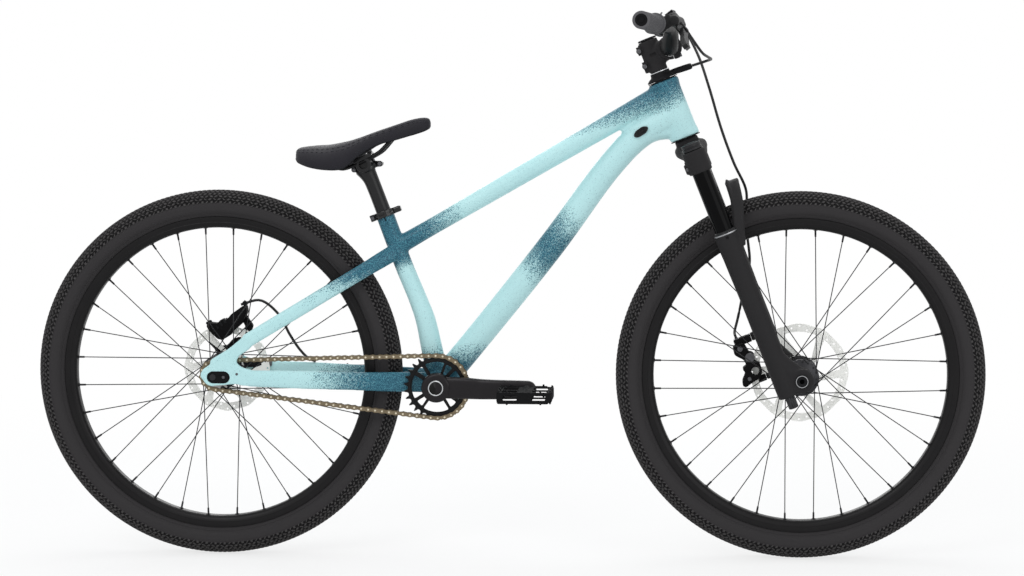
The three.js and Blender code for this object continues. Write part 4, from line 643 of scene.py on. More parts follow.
def frame_paint(settings):
    """Pale enamel with dark paint sprayed on in specks at four places."""
    n = Nodes("frame_paint")
    pale, dark = tuple(settings.pale_paint) + (1,), tuple(settings.dark_paint) + (1,)
    wave = n.sum("MULTIPLY", n.sum("SUBTRACT", n.noise(26.0, 3.0, 0.55), 0.5), 0.05)

    def fade(point, direction, full, none):
        return n.span(n.sum("ADD", n.along(point, direction), wave), full, none, 1.0, 0.0, smooth=True)

    head = (0.2637, 0, 0.8597)
    below = n.along(head, (0.501, 0, -0.866))
    behind = n.sum("MAXIMUM", n.along(head, (-0.866, 0, -0.501)), 0.0)
    head_cover = n.sum("SUBTRACT", n.sum("SUBTRACT", 1.22, n.sum("MULTIPLY", below, 21.0)),
                       n.sum("MULTIPLY", behind, 5.6), clamp=True)
    seat = (-0.202, 0, 0.5803)
    forward, down = fade(seat, (0.866, 0, 0.501), 0.02, 0.135), fade(seat, (0.355, 0, -0.935), 0.028, 0.066)
    seat_cover = n.sum("MULTIPLY", n.sum("MULTIPLY", forward, down),
        fade(seat, (-0.835, 0, -0.55), 0.06, 0.225))
    shell = (-0.127, 0, 0.315)
    shell_cover = n.sum("MULTIPLY", fade(shell, (-1, 0, 0.02), 0.085, 0.25),
        fade(shell, (0, 0, 1), 0.02, 0.08))
    middle = (0.0755, 0, 0.5695)
    band = n.sum("ABSOLUTE", n.sum("ADD", n.along(middle, (0.66, 0, 0.75)), wave))
    band_cover = n.sum("MULTIPLY", n.span(band, 0.0, 0.086, 0.74, 0.0, smooth=True),
                       fade(middle, (-0.75, 0, 0.66), 0.05, 0.09))
    cover = n.sum("MAXIMUM", n.sum("MAXIMUM", head_cover, seat_cover),
        n.sum("MAXIMUM", shell_cover, band_cover))

    def specks(scale, soft, reach):
        tint = n.add("ShaderNodeSeparateColor", Color=n.cells(scale, out="Color")).outputs["Red"]
        return n.span(n.sum("SUBTRACT", n.sum("MULTIPLY", cover, reach), tint), -soft, soft)

    spots = n.sum("MAXIMUM", specks(900.0, 0.03, 1.06), n.sum("MULTIPLY", specks(1500.0, 0.08, 0.94), 0.8))
    mist = n.sum("MULTIPLY", n.sum("POWER", cover, 1.4), 0.62)
    painted = n.sum("MAXIMUM", spots, mist, clamp=True)
    hue = n.noise(9.0, 2.0)
    pale_hue = n.blend(n.span(hue, 0.35, 0.7, 0, 0.16), pale, tone(206, 238, 236))
    dark_hue = n.blend(n.span(n.noise(620.0, 3.0), 0.46, 0.6, 0, 0.8), dark, tone(76, 142, 158))
    shade = n.blend(n.sum("MULTIPLY", painted, 0.985), pale_hue, dark_hue)
    rough = n.span(n.noise(55.0, 4.0), 0.3, 0.7, 0.34, 0.46)
    peel = n.emboss(n.noise(420.0, 2.0), 0.00005, 0.35)
    return n.done(shade, rough, 0.0, n.emboss(painted, 0.00003, 0.3, peel), Coat_Weight=0.06,
                  Coat_Roughness=0.25, Specular_IOR_Level=0.22)


def rubber(name, colour, roughness, mould, dusty):
    """Matt moulded rubber with a fine grain, clouds of dust, and edges paler with wear and painted highlight."""
    n = Nodes(name)
    base = tone(*colour)
    fine, cloud = n.noise(mould, 3.0, 0.6), n.noise(24.0, 4.0, 0.6)
    # Convex edges are painted paler: partly wear, partly a painted highlight
    edge = n.span(n.add("ShaderNodeNewGeometry").outputs["Pointiness"], 0.52, 0.6, 0, 0.4)
    shade = n.blend(n.sum("MAXIMUM", n.span(cloud, 0.4, 0.75, 0, dusty), edge), base, paler(base, 0.006))
    mixed = n.sum("ADD", cloud, n.sum("MULTIPLY", fine, 0.4))
    rough = n.span(mixed, 0.4, 1.0, roughness - 0.1, min(1, roughness + 0.1))
    return n.done(shade, rough, 0.0, n.emboss(fine, 0.00008, 0.7), Specular_IOR_Level=0.2)


def turned_metal(name, colour, roughness, metallic, centre):
    """Metal with fine rings of machining about an axle, and clouds of handling marks."""
    n = Nodes(name)
    rings = n.add("ShaderNodeTexWave", wave_type="RINGS", rings_direction="Y", Vector=n.away(centre),
                  Scale=520.0, Distortion=1.5, Detail=2.0).outputs["Fac"]
    cloud = n.noise(60.0, 4.0, 0.6)
    base = tone(*colour)
    dark = (*(c * 0.72 for c in base[:3]), 1)
    shade = n.blend(n.span(n.sum("ADD", n.sum("MULTIPLY", rings, 0.35), cloud), 0.4, 1.0, 0, 0.5), base,
        dark)
    rough = n.span(cloud, 0.3, 0.7, max(0.03, roughness - 0.06), roughness + 0.1)
    return n.done(shade, rough, metallic, n.emboss(rings, 0.00001, 0.5))


def saddle_cover(name):
    """Matt black cover: fine pebbled grain with a soft sheen."""
    n = Nodes(name)
    pebble, cloud = n.cells(1500.0), n.noise(30.0, 4.0, 0.6)
    mixed = n.sum("ADD", n.sum("MULTIPLY", pebble, 0.5), cloud)
    shade = n.blend(n.span(mixed, 0.5, 1.1, 0, 0.6), tone(26, 25, 30), tone(40, 38, 45))
    folds = n.emboss(n.noise(90.0, 3.0), 0.0003, 0.25)
    return n.done(shade, n.span(cloud, 0.3, 0.7, 0.56, 0.72), 0.0, n.emboss(pebble, 0.00012, 0.5, folds),
                  Sheen_Weight=0.06, Sheen_Roughness=0.45, Specular_IOR_Level=0.2)


# Settings that a user would change
METRES = {"subtype": "DISTANCE", "unit": "LENGTH"}
PAINT = {"subtype": "COLOR", "size": 3, "min": 0, "max": 1}


class BicycleSizes(bpy.types.PropertyGroup):
    """Sizes of the dressed pieces."""

    tread_rows: bpy.props.IntProperty(name="Tread cells",
        description="Repeats of the tread pattern round a tyre", default=118, min=40, max=240)
    knob_height: bpy.props.FloatProperty(name="Knob height",
        description="How far the tread blocks stand up, in millimetres", default=2.1, min=0.5, max=5)
    spoke_thickness: bpy.props.FloatProperty(name="Spoke thickness",
        description="Diameter of a spoke in millimetres", default=2.0, min=1.5, max=3)
    hose_thickness: bpy.props.FloatProperty(name="Hose thickness", description="Diameter of a brake hose",
        default=0.005, min=0.003, max=0.008, **METRES)
    frame_voxel: bpy.props.FloatProperty(name="Frame fineness",
        description="Size of the grid that melts the frame's tubes together", default=0.002, min=0.001,
        max=0.005, **METRES)


class BicycleColours(bpy.types.PropertyGroup):
    """Colours of the dressed pieces."""

    pale_paint: bpy.props.FloatVectorProperty(
        name="Pale paint", description="Main colour of the frame", default=tone(184, 225, 227)[:3], **PAINT)
    dark_paint: bpy.props.FloatVectorProperty(
        name="Dark paint", description="Colour sprayed on in specks", default=tone(18, 72, 94)[:3], **PAINT)
    floor: bpy.props.FloatVectorProperty(
        name="Floor", description="Colour of the studio floor", default=(0.8, 0.8, 0.8), **PAINT)


# Stage: the photograph's viewpoint in metres and degrees, its lens and shift, and the lamps
CAMERA_PLACE, CAMERA_TURN = (0.3440, -4.1232, 0.9074), (86, 0, 2.5)
LENS, SENSOR, SHIFT_X, SHIFT_Y = 80.37, 36, -0.0849, -0.0687
# Name, place, what it looks at, width and power
LAMPS = (("key", (-1.8, -3.4, 3.6), (0, 0, 0.4), 2.6, 62), ("fill", (2.8, -3.0, 1.6), (0, 0, 0.4), 3.0, 30),
         ("top", (0.0, 0.8, 3.8), (0, 0, 0.3), 3.2, 60), ("rim", (-0.4, 3.6, 1.9), (0, 0, 0.5), 2.4, 30))
FLOOR_REACH, FLOOR_LEVEL = 30, -0.001


def lamp(name, place, aim, size, power):
    light = bpy.data.lights.new(name, "AREA")
    light.shape, light.size, light.energy = "DISK", size, power
    holder = bpy.data.objects.new(name, light)
    bpy.context.scene.collection.objects.link(holder)
    holder.location = place
    holder.rotation_euler = (Vector(aim) - Vector(place)).to_track_quat("-Z", "Y").to_euler()


def background_share(tree):
    """1 for what the camera sees directly, in a mirror or through glass."""
    path = tree.nodes.new("ShaderNodeLightPath")
    total = path.outputs["Is Camera Ray"]
    for ray in ("Is Glossy Ray", "Is Transmission Ray"):
        more = tree.nodes.new("ShaderNodeMath")
        more.operation = "MAXIMUM"
        tree.links.new(total, more.inputs[0])
        tree.links.new(path.outputs[ray], more.inputs[1])
        total = more.outputs[0]
    return total


class BICYCLE_OT_stage(bpy.types.Operator):
    """Makes the camera, the lamps, the white surroundings and the floor"""

    bl_idname = "bicycle.stage"
    bl_label = "Studio"

    def execute(self, context):
        view = bpy.data.cameras.new("camera")
        view.lens, view.sensor_width, view.shift_x, view.shift_y = LENS, SENSOR, SHIFT_X, SHIFT_Y
        view.clip_end = 60
        camera = bpy.data.objects.new("camera", view)
        context.scene.collection.objects.link(camera)
        camera.location = CAMERA_PLACE
        camera.rotation_euler = [math.radians(a) for a in CAMERA_TURN]
        context.scene.camera = camera
        context.scene.view_settings.view_transform = "Standard"

        for settings in LAMPS:
            lamp(*settings)

        world = bpy.data.worlds.new("surroundings")
        context.scene.world = world
        world.use_nodes = True
        tree = world.node_tree
        tree.nodes.clear()
        seen = background_share(tree)
        mix = tree.nodes.new("ShaderNodeMixShader")
        tree.links.new(seen, mix.inputs[0])
        # A soft light for the object, and plain white for what is seen behind it
        for socket, colour, strength in ((1, (0.93, 0.97, 1, 1), 0.62), (2, (1, 1, 1, 1), 1.0)):
            sky = tree.nodes.new("ShaderNodeBackground")
            sky.inputs["Color"].default_value, sky.inputs["Strength"].default_value = colour, strength
            tree.links.new(sky.outputs[0], mix.inputs[socket])
        tree.links.new(mix.outputs[0], tree.nodes.new("ShaderNodeOutputWorld").inputs[0])

        # The floor fades into the white behind it and keeps the shadow
        mesh = bpy.data.meshes.new("floor")
        corners = [(x * FLOOR_REACH, y * FLOOR_REACH, FLOOR_LEVEL)
            for x, y in ((-1, -1), (1, -1), (1, 1), (-1, 1))]
        mesh.from_pydata(corners, [], [(0, 1, 2, 3)])
        ground = bpy.data.objects.new("floor", mesh)
        context.scene.collection.objects.link(ground)
        n = Nodes("floor")
        n.done((*context.scene.bicycle_colours.floor, 1), n.span(n.noise(3.0, 4.0), 0.3, 0.7, 0.75, 0.9),
            0.0, n.emboss(n.noise(60.0, 3.0), 0.0004, 0.2))
        away = n.add("ShaderNodeVectorMath", operation="LENGTH", Vector=n.place).outputs["Value"]
        share = n.sum("MULTIPLY", background_share(n.tree), n.span(away, 0.9, 2.4, 0.74, 1.0, smooth=True))
        glow, mix = n.add("ShaderNodeEmission", Color=(1, 1, 1, 1)), n.add("ShaderNodeMixShader")
        for socket, source in enumerate((share, n.shader.outputs[0], glow.outputs[0])):
            n.feed(mix.inputs[socket], source)
        n.feed(n.tree.nodes["Material Output"].inputs[0], mix.outputs[0])
        mesh.materials.append(n.material)
        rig.stage(ground)
        return {"FINISHED"}


# Places on the handlebar and the brake levers, in the steering frame
BAR_CENTRE = Vector((33, 0, 160.75))
BAR_ELBOW = Vector((45.4, 130, 193.75))
BAR_OUT = (Vector((10.1, 385, 216.15)) - BAR_ELBOW).normalized()


def on_bar(y):
    return BAR_ELBOW + BAR_OUT * ((y - 130) / BAR_OUT.y)


LEVER_TILT = math.radians(16.4)
LEVER_BACK = BAR_OUT.cross(Vector((math.sin(LEVER_TILT), 0, -math.cos(LEVER_TILT)))).normalized()
LEVER_UP = BAR_OUT.cross(LEVER_BACK).normalized()
LEVER = frame_of(BAR_OUT, LEVER_BACK, LEVER_UP, on_bar(215))
MIRROR = Matrix.Diagonal((1, -1, 1, 1))
HANDS = (("left", HERE), ("right", MIRROR))
GRIP_RIBS = 46


# Brake hoses
def lever_mouth(side, out):
    point = LEVER @ Vector((-65 - out * 2.5, -23.1, -9.9))
    return Vector((point.x, side * point.y, point.z))


def hose_line(points, count, within=HERE):
    """Evenly spaced points, in metres, along a hose's smooth line."""
    dense = [Vector(p) for p in flow([tuple(p) for p in points], 24)]
    reach = [0.0]
    for a, b in zip(dense, dense[1:]):
        reach.append(reach[-1] + (b - a).length)
    line, j = [], 0
    for i in range(count):
        want = reach[-1] * i / (count - 1)
        while j < len(dense) - 2 and reach[j + 1] < want:
            j += 1
        share = (want - reach[j]) / max(reach[j + 1] - reach[j], 1e-9)
        line.append((within @ dense[j].lerp(dense[j + 1], share)) * 0.001)
    return line


# Routes as shares of the chain stay's length, the head tube's length and the fork's length
def rear_hose_points():
    rows = [(0.41, 0.14, 0.0312), (0.376, 0.144, 0.045), (0.335, 0.148, 0.085), (0.29, 0.132, 0.16),
            (0.247, 0.125, 0.245), (0.16, 0.124, 0.314), (0.0698, 0.124, 0.2945)]
    return [REAR + Vector(row) * STAY_LONG for row in rows]


def upper_hose_points():
    rows = [(0.76, -0.92, 1.2), (0.82, -0.66, 1.1), (0.86, -0.3, 1.04), (0.8, -0.08, 1.04), (0.62, 0, 1.05)]
    mouth = [lever_mouth(-1, 0.2), lever_mouth(-1, 4)]
    return mouth + [Vector(row) * HEAD_LONG for row in rows] + [Vector((58.3, 0, 115.64))]


def front_hose_points():
    rows = [(0.158, 0.19, 0.27), (0.152, 0.1, 0.14), (0.138, 0.06, -0.02), (0.135, 0.055, -0.16),
            (0.141, 0.09, -0.27), (0.11, 0.175, -0.36), (0.08, 0.192, -0.45), (0.05, 0.19, -0.55),
            (-0.01, 0.19, -0.64), (-0.07, 0.16, -0.73), (-0.1, 0.115, -0.77)]
    mouth = [lever_mouth(1, 0.2), lever_mouth(1, 4)]
    fitting = [Vector((-48.76, 44.5, z)) for z in (-371.8, -379.3)]
    return mouth + [Vector(row) * FORK_LONG for row in rows] + fitting


class BICYCLE_OT_hoses(bpy.types.Operator):
    """Makes the three brake hoses"""

    bl_idname = "bicycle.hoses"
    bl_label = "Brake hoses"

    def execute(self, context):
        thick = context.scene.bicycle_sizes.hose_thickness
        for name, points, within, body, count in (
                ("rear_brake_hose_line", rear_hose_points(), HERE, "frame", 30),
                ("rear_hose_upper_line", upper_hose_points(), STEER, "steering", 34),
                ("front_brake_hose_line", front_hose_points(), STEER, None, 90)):
            line = hose_line(points, count, within)
            rows = [(*(p * 1000), thick * 1000) for p in line]
            piece = make(Form().tube(rows, 14, across=(0.23, 0.31, 0.92)), name, "hose_black", body
                or "steering", name.replace("_line", ""), "hose_plastic", crease=60)
            length = sum((b - a).length for a, b in zip(line, line[1:]))
            if body is None:
                # It crosses the steering and the fork, so it rides on both and not on one
                piece.parent = None
                del piece["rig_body"]
                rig.blend(piece, "steering", "fork_lower_body", start=STEER @ Vector((0, 0, 150)) * 0.001,
                         end=STEER @ Vector((0, 0, -115)) * 0.001)
            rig.cord(piece, exit=line[0], length=length, diameter=thick, far_end="object", stiffness="stiff",
                    lay="loose", path=line)
        return {"FINISHED"}


# Wheels: name, centre, body, right and left flange, rotor's radius and plane, axle's radius
WHEELS = (("rear", REAR, "rear_wheel", 22, 33, 80, 52, 6),
    ("front", FRONT, "front_wheel", 35, 21, 90, 35.5, 7.5))
CROWN_RADIUS, CROWN_HALF, CROWN_CENTRE = 25.9, 26.8, 306
# Faces of a tyre beyond this distance from the axle, in metres, are grooves between the blocks, made darker as painted
# shade
GROOVE_FROM = 0.3105
# Rows of blocks: degrees out from the middle, then shift, length and slant at even and odd steps,
# width, and share of the height
TREAD_ROWS = ((13, (0.25, 0.25), (5.4, 5.4), (0.5, 0.5), 3.7, 1),
    (26, (0, 0), (6.0, 5.2), (-0.4, -0.4), 3.8, 1), (39, (0.25, 0.25), (4.6, 4.6), (0.6, 0.6), 3.9, 1),
    (51.5, (0.06, 0.06), (5.6, 4.2), (-0.6, 0.9), 3.6, 1),
    (63.5, (0.2, 0.2), (5.0, 3.4), (0.8, -1.1), 3.4, 0.95),
    (75, (0, 0.02), (4.4, 2.6), (0.1, 0.7), 4.2, 0.8))
TYRE_SIDE = [(281.6, 10.2), (284.9, 11.9), (286.0, 13.2), (286.8, 15.6), (288.9, 17.3), (290.4, 18.9),
    (291.2, 18.7), (292.0, 19.9), (295.5, 23.2), (299.5, 25.5), (300.2, 25.5), (303.5, 26.6)]
RIM_HALF = [(265.3, 0.0), (265.0, 3.5), (265.2, 7.0), (266.4, 9.6), (268.6, 12.0), (271.8, 13.6),
    (275.2, 14.5), (275.9, 14.2), (279.0, 14.6), (283.4, 14.9), (285.0, 14.6), (284.9, 12.9), (283.2, 12.6),
    (282.2, 12.3), (278.0, 12.0), (277.8, 6.0), (277.8, 0.0)]


def add_knob(points, faces, turn, out, long, wide, high, slant=0.0, taper=0.8):
    """One tread block standing on the tyre's crown, so many degrees out from its middle."""
    p = math.radians(out)
    r0, y0 = CROWN_CENTRE + CROWN_RADIUS * math.cos(p), CROWN_HALF * math.sin(p)
    nr, ny = math.cos(p) / CROWN_RADIUS, math.sin(p) / CROWN_HALF
    size = math.hypot(nr, ny)
    nr, ny = nr / size, ny / size
    start = len(points)
    for h, s in ((-0.6, 1.0), (high * 0.8, (1 + taper) / 2), (high, taper)):
        for u, v in ((-1, -1), (1, -1), (1, 1), (-1, 1)):
            across = v * wide / 2 * s
            r, y = r0 - ny * across + nr * h, y0 + nr * across + ny * h
            a = turn + (u * long / 2 * s + slant * v * wide / 2) / r
            points.append((r * math.cos(a), y, r * math.sin(a)))
    for low in (0, 4):
        for k in range(4):
            m = (k + 1) % 4
            faces.append((start + low + k, start + low + m, start + low + 4 + m, start + low + 4 + k))
    faces.append((start + 8, start + 9, start + 10, start + 11))


class BICYCLE_OT_tyres(bpy.types.Operator):
    """Makes both tyres with their rows of tread blocks"""

    bl_idname = "bicycle.tyres"
    bl_label = "Tyres"

    def execute(self, context):
        sizes = context.scene.bicycle_sizes
        high, step = sizes.knob_height, FULL / sizes.tread_rows
        turns = [math.radians(a) for a in range(88, -1, -11)]
        half = TYRE_SIDE + [(CROWN_CENTRE + CROWN_RADIUS * math.cos(a), CROWN_HALF * math.sin(a))
            for a in turns]
        outline = half + [(r, -y) for r, y in reversed(half[:-1])]
        for end, centre, body, *_ in WHEELS:
            form = Form(along_y(centre.x, centre.z)).lathe(outline, 180, loop=True)
            points, faces = [], []
            for i in range(sizes.tread_rows):
                for k in (0, 1):
                    turn = FULL * (i + k / 2) / sizes.tread_rows
                    add_knob(points, faces, turn, 0, 5.6, 3.4, high)
                    for side in (-1, 1):
                        for out, shifts, lengths, slants, wide, share in TREAD_ROWS:
                            add_knob(points, faces, turn + step * shifts[k], out * side, lengths[k], wide,
                                     high * share, slants[k] * side)
            form.at(Matrix.Translation(centre)).put(points, faces, 1)
            tyre = make(form, f"{end}_tyre_treaded", ("tyre_rubber", "tread_rubber", "groove_rubber"), body,
                        f"{end}_tyre", "tyre_rubber", crease=38)
            # Faces between the blocks take the darker groove rubber: painted shade
            for face in tyre.data.polygons:
                away = face.center - centre / 1000
                if face.material_index == 0 and math.hypot(away.x, away.z) > GROOVE_FROM:
                    face.material_index = 2
        return {"FINISHED"}


def spoke_line(i, right, left):
    """Where spoke i leaves its flange and where it meets the rim, as seen along the axle."""
    rim_turn = math.radians(90 + (i + 0.5) * 11.25)
    lead = math.radians(67.5 if i % 4 < 2 else -67.5)
    side = 1 if i % 2 == 0 else -1
    flange = left if side > 0 else -right
    inset = 3.1 if i % 4 < 2 else -3.1
    a = rim_turn + lead
    start = Vector((29 * math.cos(a), flange + inset, 29 * math.sin(a)))
    stop = Vector((266 * math.cos(rim_turn), side * 2.2, 266 * math.sin(rim_turn)))
    return start, stop, flange, inset


class BICYCLE_OT_wheels(bpy.types.Operator):
    """Makes the rims, hubs, spokes, nipples and brake rotors"""

    bl_idname = "bicycle.wheels"
    bl_label = "Rims, hubs, spokes and rotors"

    def execute(self, context):
        thick = context.scene.bicycle_sizes.spoke_thickness
        for end, centre, body, right, left, rotor, plane, axle in WHEELS:
            here = Matrix.Translation(centre)
            outline = RIM_HALF + [(r, -y) for r, y in reversed(RIM_HALF[1:-1])]
            rim = Form(along_y(centre.x, centre.z)).lathe(outline, 160, loop=True)
            spokes, nipples = Form(here), Form(here)
            for i in range(32):
                start, stop, flange, inset = spoke_line(i, right, left)
                way = (stop - start).normalized()
                across = (way.z, 0.01, -way.x)
                neck = Vector((start.x, flange - inset * 0.9, start.z))
                head = neck - Vector((0, math.copysign(0.4, inset), 0))
                spokes.tube([(*point, wide) for point, wide in (
                    (head, 3.8), (neck, 3.9), (neck, thick * 1.05), (start + way * 0.2, thick * 1.05),
                    (start + way * 2.4, thick), (start + way * 16, thick), (start + way * 26, thick * 0.9),
                    (start.lerp(stop, 0.955), thick * 0.9), (stop, thick * 0.9))], 8, across=across)
                nipples.tube([(*start.lerp(stop, share), wide) for share, wide in (
                    (0.948, 2.4), (0.951, 3.5), (0.991, 3.7), (0.994, 4.6), (1, 4.8))], 8, across=across)
                out = Vector((stop.x, 0, stop.z)).normalized()
                rim.at(facing(stop - out * 0.6, out, here)).lathe(
                    [(3.6, -1.2), (4.4, -0.7), (4.6, 0.8), (2.6, 0.8), (2.6, -1.0)], 12, loop=True)
            make(rim, f"{end}_rim_hoop", "rim_black", body, f"{end}_rim", "dark_alloy", crease=30)
            make(spokes, f"{end}_spokes", "spoke_black", body, f"{end}_hub", "dark_alloy", crease=50)
            make(nipples, f"{end}_nipples", "nipple_black", body, crease=40)
            self.hub(end, here, body, right, left, plane, axle)
            self.rotor(end, here, body, rotor, plane)
        return {"FINISHED"}

    def hub(self, end, here, body, right, left, plane, axle):
        low, high = (-34.2, 61.7) if end == "rear" else (-49.2, 49.2)
        seat = plane - 1.3
        neck = [(10.4, low), (10.9, low + 0.8), (12.5, -right - 8), (16.5, -right - 5)]
        if end == "rear":
            neck = [(19.0, low), (19.6, low + 0.6), (19.6, -right - 5.6), (21, -right - 4.6)]
        shell = [(axle + 0.5, low), *neck, (31.5, -right - 2.0), (33, -right - 1.2), (33, -right + 1.2),
            (31.5, -right + 2.0), (19, -right + 4.2), (15.4, -right + 9), (14.4, -right + 14),
            (14.4, left - 14), (15.4, left - 9), (20, left - 4.2), (31.5, left - 2.0), (33, left - 1.2),
            (33, left + 1.2), (31.5, left + 2.0), (23.5, left + 2.8), (22.4, seat - 1.2), (21.8, seat),
            (17.7, seat), (17.7, plane + 1.4), (16.8, plane + 1.9), (11.5, plane + 1.9), (10.6, plane + 3),
            (10.6, high - 0.8), (10.0, high), (axle + 0.5, high)]
        metal = turned_metal(f"{end}_hub_black", (40, 40, 43), 0.3, 0.6, here.translation * 0.001)
        make(Form(here @ along_y(0, 0)).lathe(shell, 64, loop=True), f"{end}_hub_shell", (metal,), body,
             f"{end}_hub", "dark_alloy", crease=28)
        lock = Form(here @ along_y(0, 0)).lathe(
            [(17.0, plane + 1.0), (21.6, plane + 1.0), (21.9, plane + 1.5), (21.3, plane + 2.8),
             (16.6, plane + 2.9)], 48, loop=True).at(here)
        for k in range(16):
            x, z = math.cos(FULL * k / 16), math.sin(FULL * k / 16)
            lock.tube([(r * x, plane + 2.7, r * z, 1.1) for r in (18.2, 20.6)], 6)
        make(lock, f"{end}_rotor_lockring", "alloy_black", body, crease=35, slot="dark_alloy")

    def rotor(self, end, here, body, radius, plane):
        outline = []
        for turn in (FULL * i / 96 for i in range(96)):
            edge = radius - 0.9 + 0.9 * math.cos(12 * turn)
            outline.append((edge * math.cos(turn), edge * math.sin(turn)))
        holes = [ring(0, 0, 18.3, 32)]
        for k in range(6):
            s = 60 * k
            holes.append(arc(0, 0, radius - 15, s + 5, s + 53, 8) + arc(0, 0, 31.5, s + 28, s - 14, 6))
        for k in range(36):
            a, r = math.radians(10 * k), radius - (4.2, 7.6, 11.2)[k % 3]
            holes.append(ring(r * math.cos(a), r * math.sin(a), 1.9, 10))
        form = Form(here).plate(outline, plane - 0.9, plane + 0.9, holes)
        make(form, f"{end}_rotor_disc", "rotor_steel", body, f"{end}_rotor", "bright_steel", crease=30,
            bevel=0.25)


def soften(points, radius, steps=3):
    """The outline with each corner rounded off."""
    out, count = [], len(points)
    for i in range(count):
        a, b, c = (Vector(points[(i + k) % count]).to_2d() for k in (-1, 0, 1))
        reach = min(radius, (a - b).length * 0.45, (c - b).length * 0.45)
        start, stop = b + (a - b).normalized() * reach, b + (c - b).normalized() * reach
        for k in range(steps + 1):
            t = k / steps
            out.append(tuple(start * (1 - t) ** 2 + b * 2 * t * (1 - t) + stop * t * t))
    return out


# Frame
TOP_START, TOP_END = SEAT @ Vector((0, 0, -57)), STEER @ Vector((0, 0, 89.5))
DOWN_END = STEER @ Vector((0, 0, 32.85))
# Rows of each tube: shares along it, how far it bows out, and its width and height
SEAT_ROWS = [(0, 0, 1.18), (0.13, 0.188, 1.18), (0.262, 0.384, 1.1), (0.394, 0.502, 1.02),
    (0.674, 0.7195, 1), (1, 1, 1), (1.048, 1.04, 1)]
COLLAR = SEAT @ Matrix.Translation((0, 0, 13))
DOWN_ROWS = [(0, 0, 1), (0.15, 0.006, 0.98), (0.5, 0.028, 1), (0.78, 0.056, 0.96), (0.9, 0.052, 1),
    (1, 0.022, 1.16)]
STAY_ROWS = [(0.03, 0.35, 38, 14), (0.16, 0.475, 37, 13), (0.24, 0.58, 36, 13), (0.36, 0.67, 34, 14),
    (0.6, 0.83, 33, 15), (0.84, 0.98, 30, 14)]
SEATSTAY_ROWS = [(0, 0.16, 20, 30), (0.1, 0.4, 16, 29), (0.2, 0.55, 14, 27), (0.35, 0.64, 14, 26.5),
    (0.65, 0.84, 14, 26), (1, 1, 12, 26)]
SLOT_X, SLOT_LONG, SLOT_HIGH = REAR.x + 10.5, 42, 22
FRAME_TUBES = ("head_tube top_tube down_tube seat_tube chainstay_right chainstay_left seatstay_right "
               "seatstay_left")


def stadium(x, z, long, high, steps=10):
    reach = (long - high) / 2
    return arc(x + reach, z, high / 2, -90, 90, steps) + arc(x - reach, z, high / 2, 90, 270, steps)


def dropout_outline(back):
    x, z, s, h = REAR.x, TYRE_RADIUS, SLOT_LONG, SLOT_HIGH
    return arc(SLOT_X - s * 0.3, z, h * 0.95, 130, 180, 7) + arc(SLOT_X - s * 0.3, z, h * 0.74, 200, 270,
        6) + soften([(x + s * 1.2, z - h * 0.74), (x + s * 1.75, z - h * 0.62), (x + s * 1.75, z + h * 0.6),
        (x + s * 1.32 - back, z + h * 0.75), (x + s - back, z + h * 1.15),
        (x + s * 1.1 - back, z + h * 1.7), (x + s * 1.7 - back, z + h * 2.45), (x + s * 1.5, z + h * 3.62),
        (x + s * 0.7, z + h * 2.35), (x - s * 0.2, z + h * 1.3)], 7)


